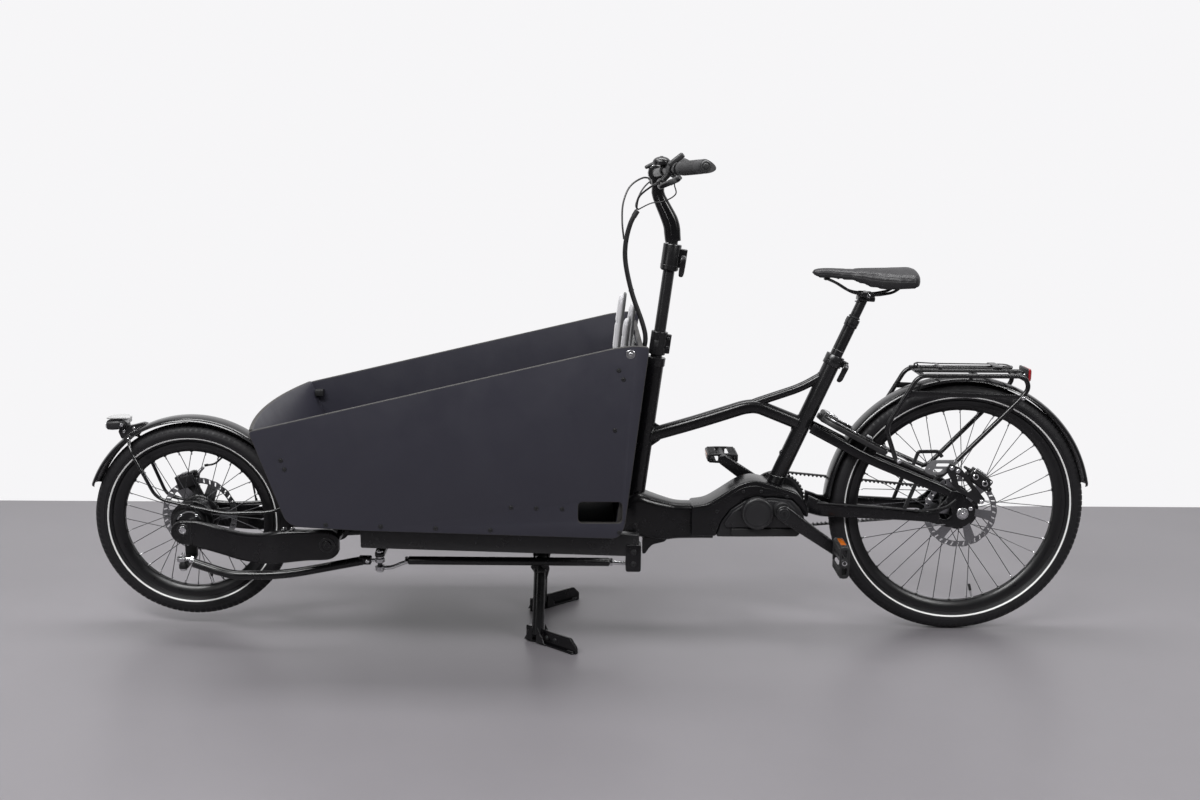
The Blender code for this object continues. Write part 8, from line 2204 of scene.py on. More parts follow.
def cables():
    """Cable bundle and its branches to the handlebar."""
    gap = 0.0345
    route = [steer(z, y) - Vector((d, 0, 0)) for z, d, y in ((1.122, 0.0938, -0.032),
        (1.066, 0.1165, -0.024), (0.99, 0.1177, -0.012), (0.9, 0.089, -0.006), (0.815, 0.0479, -0.002),
        (0.775, gap, 0.0), (0.738, gap + 0.001, 0.0), (0.7, gap, 0.0))]
    route = catmull(route, 0.006)[4:]
    piece = Piece("control_cables_dressed", "column")
    piece.add(sweep(route, ring_circle(0.0062, 24)), SLEEVE)
    first = route[0]
    piece.add(sweep(route[:4], ring_circle(0.007, 24)), RUBBER)
    for index in (len(route) // 2, len(route) - 9):
        piece.add(lathe(route[index], [(0.0064, -0.0018), (0.0071, -0.0014), (0.0071, 0.0014),
            (0.0064, 0.0018)], route[index + 1] - route[index], 24), PLASTIC)
    foot = route[-1]
    piece.add(lathe(foot + Vector((0, 0, 0.006)), [(0.0066, 0.0), (0.0074, -0.001), (0.0074, -0.0056),
        (0.0066, -0.0064)], STEER_UP, 24), RUBBER)
    piece.done("control_cables", slot="rubber")

    turn = Matrix.Rotation(DROOP, 3, "Y")

    def nose(side):
        inner = lever_seat(side) + turn @ Vector((-0.04, -side * 0.008, -0.007))
        return inner + Vector((0, -side * 0.0088, 0))

    left, right = nose(-1), nose(1)
    loops = (("left_brake", 0.0024, [left, left + Vector((-0.006, 0.02, -0.001)), left
        + Vector((-0.02, 0.056, -0.01)), at(0.846, 1.14, -0.072), at(0.852, 1.112, -0.042), first
        + Vector((0.001, -0.003, 0.004))]), ("right_brake", 0.0024,
        [right, right + Vector((-0.008, -0.02, 0.002)), right + Vector((-0.034, -0.06, 0.006)),
        at(0.866, 1.16, 0.066), at(0.884, 1.12, 0.024), at(0.887, 1.075, -0.004),
        at(0.8825, 1.03, -0.014)]), ("shift", 0.0021,
        [bar_line(1)[1].lerp(bar_line(1)[2], 0.7) + Vector((-0.01, -0.01, -0.02)), at(0.812, 1.172, 0.12),
        at(0.836, 1.15, 0.06), at(0.852, 1.118, 0.008), first + Vector((-0.001, 0.003, 0.004))]),
        ("display", 0.0016, [bar_line(-1)[1].lerp(bar_line(-1)[2], 0.62) + Vector((0.006, 0.008, -0.01)),
        at(0.764, 1.17, -0.128), at(0.758, 1.146, -0.085), at(0.782, 1.128, -0.048),
        at(0.815, 1.122, -0.04), at(0.84, 1.11, -0.036), first + Vector((0.003, 0.0, 0.003))]))
    for name, radius, points in loops:
        piece = Piece("cable_" + name, "stem")
        piece.add(tube(points, radius, 14, spacing=0.005), CABLE)
        start = Vector(points[0])
        piece.add(lathe(start, [(radius * 1.15, -0.002), (radius * 1.6, -0.001), (radius * 1.6, 0.006),
            (radius * 1.1, 0.01)], Vector(points[1]) - start, 18), RUBBER)
        piece.done(slot="rubber", across=("column", "stem", steer(1.085), steer(1.15)))


def cockpit():
    """Everything that the rider's hands reach."""
    column()
    stem()
    bars()
    grips()
    brake_levers()
    bell()
    cables()


# Rear end

def rear_guard():
    """Rear mudguard with its bolts."""
    piece = Piece("rear_fender_dressed", "frame")
    mudguard(piece, REAR, 0.35, 0.031, 10.3, 176.0, FENDER, 190)
    for degrees in (62.0, 118.0, 168.0):
        out = around(math.radians(degrees))
        piece.add(bolt(REAR + out * 0.347, -out, 0.004, 0.0026, 6, 0.0075), BRIGHT)
    piece.done("rear_fender", slot="satin_black")


def strap(piece, points, wide, thick, material, corner=0.006):
    """Flat strip bent along a path in the side view."""
    piece.add(sweep(bend(points, corner, 5), rounded(wide, thick, 0.45, 3)), material)


def rack():
    """Luggage rack with its spring clip and bracket."""
    r, y = 0.006, 0.066
    piece = Piece("rack_dressed", "frame")
    loop = (at(0.178, 0.474), at(0.208, 0.558), at(0.13, 0.694), at(-0.14, 0.694), at(-0.154, 0.664),
        at(-0.132, 0.634), at(0.058, 0.433), at(0.078, 0.428))
    for side in (-1, 1):
        shift = Vector((0, side * y, 0))
        path = [shift + p for p in bend(loop, 0.022, 9)]
        piece.add(sweep(path, ring_circle(r, 24)), SATIN)
        piece.add(tube([at(0.178, 0.476, side * y), at(0.074, 0.43, side * y)], r * 0.98, 24), SATIN)
        rail = round_outline(xz([at(0.165, 0.648), at(0.155, 0.655), at(-0.14, 0.645), at(-0.143, 0.636),
            at(0.155, 0.64)]), 0.003)
        piece.add(plate([rail], side * y - 0.002, side * y + 0.002, side_view, 0.0007), SATIN)
        piece.add(tube([at(0.13, 0.7015, side * 0.03), at(-0.135, 0.7015, side * 0.03)], 0.005, 20), SATIN)
        for d in (0.13, -0.135):
            cap = 1 if d > 0 else -1
            piece.add(lathe(at(d, 0.7015, side * 0.03),
                [(0.005, -0.001), (0.0046, 0.0016), (0.003, 0.0034)], (-cap, 0, 0), 20), SATIN)
        for spot in (at(0.1705, 0.4715), at(-0.1385, 0.6385)):
            place = Vector((spot.x, side * (y + r * 0.9), spot.z))
            piece.add(bolt(place, (0, side, 0), 0.0042, 0.0026, 6, 0.006), BRIGHT)
    low = round_outline(xz([at(0.106, 0.446), at(0.1, 0.46), at(0.084, 0.4755), at(0.024, 0.4765),
        at(0.018, 0.47), at(0.056, 0.438), at(0.088, 0.436)]), 0.007, 5)
    upper = round_outline(xz([at(0.074, 0.467), at(0.04, 0.467), at(0.044, 0.459), at(0.076, 0.459)]),
        0.0038, 5)
    lower = round_outline(xz([at(0.082, 0.4525), at(0.056, 0.4525), at(0.064, 0.444), at(0.082, 0.444)]),
        0.0038, 5)
    piece.add(plate([low, upper, lower], -y - 0.0075, -y - 0.0052, side_view, 0.0005), GREY)
    for spot in (at(0.094, 0.452), at(0.03, 0.4715)):
        piece.add(bolt(Vector((spot.x, -y - 0.0075, spot.z)), (0, -1, 0), 0.0034, 0.0022, 6), BRIGHT)
    for d in (0.118, -0.02, -0.13):
        piece.add(tube([at(d, 0.694, -y), at(d, 0.694, y)], 0.0055, 20, across=(0, 0, 1)), SATIN)
    for side in (-1, 1):
        low = at(0.117, 0.7085, side * 0.022)
        coil = helix([low - Vector((0, side * 0.006, 0)), low + Vector((0, side * 0.006, 0))], 0.0042,
            0.003, 16)
        arm = [coil[-1], at(0.112, 0.7125, side * 0.0345), at(0.06, 0.71, side * 0.0345),
            at(-0.06, 0.7095, side * 0.0345), at(-0.112, 0.7095, side * 0.033),
            at(-0.12, 0.71, side * 0.02), at(-0.121, 0.7105, 0.0)]
        piece.add(tube(coil, 0.0011, 10), SATIN)
        piece.add(tube(arm, 0.0016, 14, corner=0.01), SATIN)
    piece.add(block(at(-0.083, 0.7118), (0.02, 0.078, 0.0026), None, 0.001, 3), SATIN)
    piece.add(block(at(0.066, 0.7112), (0.009, 0.076, 0.0022), None, 0.0009, 3), SATIN)
    strap(piece, [at(0.131, 0.455, -0.0545), at(0.118, 0.4935, -0.0545), at(0.066, 0.4945, -0.0545),
        at(0.056, 0.48, -0.0545)], 0.006, 0.0095, SATIN)
    piece.done("rack", slot="satin_black")


def tail_light():
    """Rear light on the rack."""
    piece = Piece("rear_light_dressed", "frame")
    centre = at(-0.163, 0.69)
    piece.add(block(centre + Vector((-0.0045, 0, 0)), (0.007, 0.06, 0.036), None, 0.0026, 4), PLASTIC)
    piece.add(block(centre + Vector((0.0022, 0, 0)), (0.01, 0.056, 0.0325), None, 0.0042, 5), RED)
    for side in (-1, 1):
        piece.add(block(centre + Vector((0.007, side * 0.015, 0)), (0.0016, 0.02, 0.022), None, 0.0007, 3),
            RED)
        piece.add(bolt(centre + Vector((-0.0078, side * 0.018, 0)), (-1, 0, 0), 0.0034, 0.0024), BRIGHT)
    piece.add(block(centre + Vector((-0.009, 0, 0.0)), (0.006, 0.024, 0.016), None, 0.0016, 3), SATIN)
    piece.done("rear_light", slot="red")


def ring_lock():
    """Ring lock with its housing and lever."""
    start, end = at(0.205, 0.4785), at(0.377, 0.568)
    along = (end - start).normalized()
    up = Vector((along.z, 0, -along.x))
    up = up if up.z > 0 else -up
    outer, inner = 0.058, 0.04
    neck = (end - start).length - outer
    base = start + up * 0.0035

    def lay(a, b, level):
        return base + along * a + Vector((0, b, 0)) + up * level

    lie = Matrix((along, AXIS_Y, up)).transposed()

    def shoe(big, small, back, cut):
        outline = [(cut, -big)] + [(neck + big * math.sin(math.pi * k / 24), -big
            * math.cos(math.pi * k / 24)) for k in range(25)] + [(cut, big), (cut, small)]
        outline += [(neck - back + small * math.sin(math.pi * k / 24), small * math.cos(math.pi * k / 24))
            for k in range(25)] + [(cut, -small)]
        return outline

    piece = Piece("ring_lock_dressed", "frame")
    piece.add(plate([shoe(outer, inner, 0.006, 0.0)], 0.0, 0.013, lay, 0.0024, 4), PLASTIC)
    piece.add(plate([shoe(outer - 0.003, inner + 0.0022, 0.006, 0.0035)], 0.012, 0.018, lay, 0.0018, 4),
        SATIN)
    piece.add(plate([shoe(outer - 0.0065, inner + 0.006, 0.006, 0.045)], 0.0176, 0.0188, lay, 0.0005, 2),
        STEEL)
    for side in (-1, 1):
        piece.add(lathe(lay(0.0, side * 0.049, 0.009), [(0.0058, 0.004), (0.0058, -0.0012),
            (0.0048, -0.0022)], along, 28), STEEL)
        for a in (0.02, 0.098):
            piece.add(bolt(lay(a, side * 0.049, 0.018), up, 0.0036, 0.002, 6), BRIGHT)
    housing = neck + 0.03
    piece.add(block(lay(housing, -0.004, 0.012), (0.044, 0.056, 0.027), lie, 0.0052, 5), PLASTIC)
    piece.add(block(lay(housing, -0.004, 0.0262), (0.034, 0.044, 0.003), lie, 0.0014, 4), STEEL)
    piece.add(block(lay(housing + 0.002, -0.004, 0.0282), (0.02, 0.024, 0.0024), lie, 0.001, 3), BRIGHT)
    for a, level in ((-0.008, 0.012), (0.009, 0.0135)):
        piece.add(lathe(lay(housing + a, -0.0322, level),
            [(0.006, 0.0008), (0.006, -0.001), (0.0048, -0.0014), (0.0042, 0.0002)], AXIS_Y, 28), DARK)
    slot = round_outline([(0.046, -0.054), (0.094, -0.054), (0.094, -0.045), (0.046, -0.045)], 0.0044, 6)
    piece.add(plate([slot], 0.0172, 0.0184, lay, 0.0004, 2), RUBBER)
    spot = lay(0.07, 0.049, 0.018)
    piece.add(lathe(spot, [(0.0115, -0.001), (0.0115, 0.003), (0.0105, 0.0042), (0.007, 0.0044),
        (0.0064, 0.003)], up, 36), BRIGHT)
    piece.add(block(spot + up * 0.0034, (0.0016, 0.007, 0.0008), None, 0.0002, 1), RUBBER)
    piece.done("ring_lock", slot="satin_black")
    place = base + along * 0.06 + Vector((0, -0.0495, 0)) + up * 0.0183

    def knob(a, b, level):
        return place + along * a + Vector((0, b, 0)) + up * level

    piece = Piece("ring_lock_lever_dressed", "lock_lever")
    foot = round_outline([(-0.01, -0.006), (0.01, -0.006), (0.01, 0.006), (-0.01, 0.006)], 0.003, 5)
    piece.add(plate([foot], 0.0, 0.0045, knob, 0.001, 3), DARK)
    cap = round_outline([(-0.0085, -0.0056), (0.0085, -0.0056), (0.0085, 0.0056), (-0.0085, 0.0056)],
        0.0036, 6)
    piece.add(plate([cap], 0.0036, 0.009, knob, 0.0016, 4), STEEL)
    for k in range(4):
        piece.add(block(knob(-0.0045 + 0.003 * k, 0, 0.0089), (0.001, 0.0084, 0.0009), None, 0.0003, 1),
            DARK)
    piece.done("ring_lock_lever", slot="steel")


def rear_brake():
    """Rear caliper with its bracket."""
    y_face = -0.0748
    piece = Piece("rear_caliper_dressed", "frame")
    outline = round_outline(xz([at(0.042, 0.468), at(0.012, 0.456), at(-0.03, 0.404), at(-0.056, 0.372),
        at(-0.04, 0.36), at(-0.012, 0.378), at(0.02, 0.398), at(0.05, 0.45)]), 0.006, 5)
    window = round_outline(xz([at(0.024, 0.44), at(0.006, 0.432), at(-0.02, 0.398), at(-0.01, 0.392),
        at(0.014, 0.406)]), 0.004, 5)
    piece.add(plate([outline, window], y_face - 0.005, y_face, side_view, 0.001, 3), CAST)
    centre = at(-0.04, 0.424)
    rotation = Matrix.Rotation(math.radians(125), 3, "Y")
    lift, along = rotation @ Vector((0, 0, 1)), rotation @ Vector((1, 0, 0))
    piece.add(block(centre + Vector((0, -0.0665, 0)), (0.034, 0.021, 0.066), rotation, 0.0062, 5), CAST)
    piece.add(block(centre + Vector((0, -0.044, 0)), (0.028, 0.009, 0.05), rotation, 0.0026, 3), CAST)
    piece.add(block(centre + rotation @ Vector((-0.0135, -0.054, 0)), (0.007, 0.03, 0.05), rotation, 0.002,
        3), CAST)
    for s in (-1, 1):
        spot = centre + Vector((0, -0.0768, 0)) + lift * (s * 0.015)
        piece.add(lathe(spot, [(0.0112, -0.002), (0.0114, 0.0008), (0.0104, 0.0022), (0.0086, 0.0024),
            (0.0083, 0.0012), (0.007, 0.0012)], (0, -1, 0), 36), CAST)
        piece.add(lathe(spot, [(0.0078, 0.0008), (0.008, 0.002), (0.0072, 0.0026), (0.005, 0.0026),
            (0.0046, 0.0012)], (0, -1, 0), 32), BRIGHT)
        piece.add(lathe(spot, [(0.0046, 0.0004), (0.0044, 0.0016), (0.002, 0.0018), (0.0018, 0.001)],
            (0, -1, 0), 24, {2: 6, 3: 6}), DARK)
        ear = centre + Vector((0, -0.07, 0)) + lift * (s * 0.0345) + along * 0.006
        piece.add(lathe(ear, [(0.0066, -0.006), (0.007, -0.005), (0.007, 0.004), (0.0062, 0.0052)],
            (0, -1, 0), 28), CAST)
        piece.add(bolt(ear + Vector((0, -0.005, 0)), (0, -1, 0), 0.0044, 0.004, 6, 0.0058), DARK)
        piece.add(bolt(centre + Vector((0, -0.0765, 0)) + lift * (s * 0.026) - along * 0.0115, (0, -1, 0),
            0.0032, 0.0024), BRIGHT)
    for k in range(6):
        piece.add(block(centre + rotation @ Vector((-0.018, -0.054, (k - 2.5) * 0.0052)),
            (0.006, 0.022, 0.0012), rotation, 0.0003, 1), STEEL)
    for d, z in ((0.02, 0.449), (0.036, 0.4565), (-0.046, 0.368)):
        piece.add(bolt(at(d, z, y_face - 0.005), (0, -1, 0), 0.0044, 0.003, 6, 0.0062), BRIGHT)
    hose = centre + Vector((0, -0.064, 0)) + lift * -0.037 - along * 0.004
    piece.add(lathe(hose, [(0.0052, 0.004), (0.0052, -0.002), (0.004, -0.004), (0.0034, -0.012),
        (0.0026, -0.015)], lift, 24), CAST)
    piece.done("rear_caliper", slot="dark_alloy")


def rear_end():
    """Everything round the rear wheel."""
    rear_guard()
    rack()
    tail_light()
    ring_lock()
    rear_brake()


# Seat

SADDLE_TOP = 0.966
SADDLE_NOSE = REAR_X - 0.403       # x of the saddle's nose
SADDLE_LONG = 0.272
SKIRT_SHARE = 0.35                 # of the saddle's side, above the skirt


def stuffed(item, voxel, pressure, reach, frames_run=20, pin=None):
    """Remesh a closed body, let it swell as cloth under pressure, and keep it within reach of its start."""
    tidy = item.modifiers.new("remesh", "REMESH")
    tidy.mode = "VOXEL"
    tidy.voxel_size = voxel
    apply_all(item)
    start = [v.co.copy() for v in item.data.vertices]
    group = item.vertex_groups.new(name="held")
    for i, co in enumerate(start):
        held = pin(co) if pin else 0.0
        if held > 0:
            group.add([i], held, "REPLACE")
    cloth = item.modifiers.new("cloth", "CLOTH")
    settings = cloth.settings
    settings.quality = 6
    settings.mass = 0.25
    settings.use_pressure = True
    settings.uniform_pressure_force = pressure
    settings.tension_stiffness = 22
    settings.compression_stiffness = 18
    settings.bending_stiffness = 3.0
    settings.effector_weights.gravity = 0.0
    if pin:
        settings.vertex_group_mass = "held"
    cloth.collision_settings.use_collision = False
    cloth.point_cache.frame_start, cloth.point_cache.frame_end = 1, frames_run
    scene = bpy.context.scene
    for step in range(1, frames_run + 1):
        scene.frame_set(step)
    bpy.context.view_layer.update()
    swollen = item.evaluated_get(bpy.context.evaluated_depsgraph_get()).to_mesh()
    moved = [v.co.copy() for v in swollen.vertices]
    item.modifiers.clear()
    scene.frame_set(1)
    for vert, one, two in zip(item.data.vertices, start, moved):
        shift = two - one
        if shift.length > reach:
            shift *= reach / shift.length
        vert.co = one + shift


def apply_all(item):
    """Turn a piece's modifiers into its mesh."""
    bpy.context.view_layer.update()
    seen = item.evaluated_get(bpy.context.evaluated_depsgraph_get())
    mesh = bpy.data.meshes.new_from_object(seen)
    old = item.data
    item.modifiers.clear()
    item.data = mesh
    bpy.data.meshes.remove(old)


def soft_start(name, bm):
    """Object for a cloth simulation from a closed body."""
    mesh = bpy.data.meshes.new(name)
    bm.normal_update()
    bmesh.ops.recalc_face_normals(bm, faces=bm.faces)
    bm.to_mesh(mesh)
    bm.free()
    return put(name, mesh)


def relax(item, rounds, share=0.5):
    """Even out a swollen surface."""
    bm = bmesh.new()
    bm.from_mesh(item.data)
    for _ in range(rounds):
        bmesh.ops.smooth_vert(bm, verts=bm.verts, factor=share, use_axis_x=True, use_axis_y=True,
            use_axis_z=True)
    bm.to_mesh(item.data)
    bm.free()


def divide(item):
    """One smooth subdivision, made into mesh."""
    finer = item.modifiers.new("finer", "SUBSURF")
    finer.levels = finer.render_levels = 1
    apply_all(item)
    for face in item.data.polygons:
        face.use_smooth = True


def saddle_row(share):
    """Half width, top, underside and edge drop along the saddle."""
    rows = ((0.0, 0.007, -0.014, -0.025, 0.001), (0.01, 0.0125, -0.009, -0.0285, 0.003),
        (0.03, 0.017, -0.0058, -0.0305, 0.0045), (0.07, 0.02, -0.004, -0.0325, 0.006),
        (0.15, 0.022, -0.0035, -0.0345, 0.007), (0.35, 0.029, -0.0045, -0.037, 0.009),
        (0.46, 0.039, -0.003, -0.045, 0.011), (0.56, 0.05, -0.0025, -0.0545, 0.013),
        (0.68, 0.065, -0.002, -0.057, 0.015), (0.8, 0.08, -0.001, -0.0555, 0.017),
        (0.92, 0.086, 0.0, -0.052, 0.018), (0.97, 0.076, -0.003, -0.049, 0.015),
        (0.99, 0.062, -0.009, -0.045, 0.011), (1.0, 0.044, -0.016, -0.04, 0.008))
    for one, two in zip(rows, rows[1:]):
        if share <= two[0]:
            t = (share - one[0]) / (two[0] - one[0])
            t = t * t * (3 - 2 * t) if 0.02 < share < 0.97 else t
            return [a + (b - a) * t for a, b in zip(one[1:], two[1:])]
    return rows[-1][1:]


def saddle_levels(share):
    """Half width, top, underside, edge drop and the skirt's upper line at a share of the length."""
    half, top, under, drop = saddle_row(min(max(share, 0.0), 1.0))
    high, low = SADDLE_TOP + top, SADDLE_TOP + under
    return half, high, low, drop, high - drop - SKIRT_SHARE * (high - drop - low)


def saddle():
    """Saddle: a stuffed cover with a stiffer skirt."""
    rings = []
    for i in range(57):
        share = i / 56
        half, top, under, drop = saddle_row(share)
        half, top, under = half - 0.0022, top - 0.0022, under + 0.0012
        x = SADDLE_NOSE + 0.0022 + (SADDLE_LONG - 0.0044) * share
        high, low = SADDLE_TOP + top, SADDLE_TOP + under
        skirt = high - drop - SKIRT_SHARE * (high - drop - low)
        loop = [Vector((x, half * a, z)) for a, z in ((0.0, high), (0.2, high - 0.06 * drop),
            (0.42, high - 0.22 * drop), (0.64, high - 0.5 * drop), (0.82, high - 0.8 * drop),
            (0.93, high - 1.08 * drop), (0.985, skirt + 0.25 * (high - drop - skirt)), (1.0, skirt),
            (0.985, skirt - 0.5 * (skirt - low)), (0.955, low + 0.0006), (0.88, low),
            (0.66, low + 0.3 * (high - low)), (0.34, low + 0.46 * (high - low)),
            (0.0, low + 0.5 * (high - low)))]
        rings.append(loop + [Vector((p.x, -p.y, p.z)) for p in loop[-2:0:-1]])
    item = soft_start("saddle_dressed", skin(rings))

    def held(co):
        _, _, low, _, skirt = saddle_levels((co.x - SADDLE_NOSE) / SADDLE_LONG)
        return 1.0 if co.z < skirt - 0.1 * (skirt - low) else 0.0

    stuffed(item, 0.004, 3.2, 0.0042, 18, held)
    relax(item, 3)
    divide(item)
    for vert in item.data.vertices:
        co = vert.co
        share = (co.x - SADDLE_NOSE) / SADDLE_LONG
        half, _, _, _, skirt = saddle_levels(share)
        near = abs(co.y) / max(half, 0.004)
        if co.z > skirt and 0.3 < share < 0.985:
            groove = max(0.0, 1 - (co.y / 0.0095) ** 2) * min(1.0, (share - 0.3) / 0.18) * min(1.0,
                (0.985 - share) / 0.1)
            vert.co.z -= 0.0034 * groove ** 0.8
        seam = math.exp(-((near - 0.86) / 0.03) ** 2) if share > 0.06 else 0.0
        if co.z > skirt:
            vert.co.z -= 0.0009 * seam
        step = math.exp(-((share - 0.395) / 0.014) ** 2)
        if co.z > skirt:
            vert.co.z -= 0.001 * step
        line = math.exp(-((co.z - (skirt - 0.0015)) / 0.0011) ** 2)
        vert.co.y -= math.copysign(0.0007 * line, co.y)
    item.data.materials.append(LEATHER)
    item.data.materials.append(SADDLE_SIDE)
    item.data.materials.append(PLASTIC)
    for face in item.data.polygons:
        co = face.center
        *_, skirt = saddle_levels((co.x - SADDLE_NOSE) / SADDLE_LONG)
        face.material_index = (2 if face.normal.z < -0.5 and co.z < skirt else 1 if co.z < skirt - 0.0015
            else 0)
    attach(item, "seat")
    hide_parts("saddle")


def post():
    """Outer stage of the seat post."""
    piece = Piece("seatpost_outer_dressed", "seatpost")
    low = seat(0.53)
    length = (seat(0.83) - low).length
    lip = (seat(0.81) - low).length
    piece.add(lathe(low, [(0.0128, 0.0), (0.015, 0.0), (0.0158, 0.001), (0.0158, lip - 0.001),
        (0.0171, lip), (0.0178, lip + 0.0012), (0.0178, lip + 0.006), (0.0172, lip + 0.0066),
        (0.0172, lip + 0.0074), (0.0178, lip + 0.008), (0.0178, length - 0.0002), (0.017, length + 0.001),
        (0.0134, length + 0.001), (0.013, length)], SEAT_UP, 56, closed=True), SATIN)
    for k in range(3):
        mark = (seat(0.748 - 0.03 * k) - low).length
        piece.add(lathe(low, [(0.01581, mark), (0.01588, mark + 0.0001), (0.01588, mark + 0.0005),
            (0.01581, mark + 0.0006)], SEAT_UP, 56, closed=True), PRINT)
    for k in range(8):
        angle = math.tau * k / 8
        side = Vector((math.cos(SEAT_TILT), 0,
            -math.sin(SEAT_TILT))) * math.cos(angle) + AXIS_Y * math.sin(angle)
        piece.add(block(low + SEAT_UP * (lip + 0.014) + side * 0.0178, (0.0012, 0.0012, 0.009),
            Matrix.Rotation(SEAT_TILT, 3, "Y"), 0.0004, 1), SATIN)
    piece.done("seatpost_outer", slot="dark_alloy")


def rails():
    """Saddle rails and their clamp."""
    piece = Piece("seatpost_inner_dressed", "seat")
    low = seat(0.69)
    piece.add(lathe(low, [(0.011, 0.0), (0.0122, 0.001), (0.0125, 0.0016),
        (0.0125, (seat(0.878) - low).length), (0.012, (seat(0.882) - low).length)], SEAT_UP, 44), SATIN)
    boot = seat(0.8325)
    piece.add(lathe(boot, [(0.0129, 0.0), (0.0148, 0.0), (0.0152, 0.001), (0.015, 0.0032), (0.0138, 0.0044),
        (0.0127, 0.005)], SEAT_UP, 40), RUBBER)
    head = seat(0.886)
    lean = Matrix.Rotation(math.radians(4), 3, "Y")
    piece.add(block(head + Vector((0.004, 0, -0.003)), (0.044, 0.034, 0.013), lean, 0.0036, 4), SATIN)
    piece.add(block(head + Vector((0.004, 0, 0.0068)), (0.04, 0.03, 0.0062), lean, 0.0022, 3), SATIN)
    cross = head + Vector((0.006, 0, 0.006))
    piece.add(lathe(cross, [(0.0084, -0.0262), (0.009, -0.0254), (0.009, 0.0254), (0.0084, 0.0262)], AXIS_Y,
        36), SATIN)
    for side in (-1, 1):
        piece.add(bolt(cross + Vector((0, side * 0.0262, 0)), (0, side, 0), 0.005, 0.0022, 6), BRIGHT)
        clamp = cross + Vector((-0.001, side * 0.0218, 0.0015))
        piece.add(block(clamp, (0.036, 0.011, 0.013), lean, 0.0034, 4), SATIN)
    piece.add(bolt(head + Vector((-0.0185, 0, -0.01)), (0, 0, -1), 0.0042, 0.003, 6, 0.0056), BRIGHT)
    front_x, back_x = SADDLE_NOSE + 0.041, SADDLE_NOSE + 0.231
    front_z, back_z = 0.9331, 0.9215
    for side in (-1, 1):
        y = side * 0.0215
        points = [Vector((front_x, side * 0.006, front_z)), at(0.338, 0.923, side * 0.012),
            at(0.3, 0.899, y), at(0.24, 0.8925, y), at(0.194, 0.901, side * 0.026),
            Vector((back_x, side * 0.03, back_z))]
        piece.add(tube(points, 0.0036, 22, corner=0.018), SATIN)
    piece.add(block(Vector((front_x, 0, front_z)), (0.014, 0.019, 0.008), None, 0.0024, 3), PLASTIC)
    piece.add(block(Vector((back_x, 0, back_z)), (0.012, 0.07, 0.009), None, 0.0026, 3), PLASTIC)
    piece.done("seatpost_inner", slot="satin_black")
    piece = Piece("seat_clamp_lever_dressed", "seat_lever")
    lean = Matrix.Rotation(SEAT_TILT, 3, "Y")
    quick_lever(piece, seat(SEAT_CLAMP_Z) + lean @ Vector((0.032, -0.019, 0)), lean, 0.046)
    piece.done("seat_clamp_lever", slot="steel")


def seat_parts():
    """Saddle, post and seat clamp."""
    post()
    rails()
    saddle()


# Stand and harness

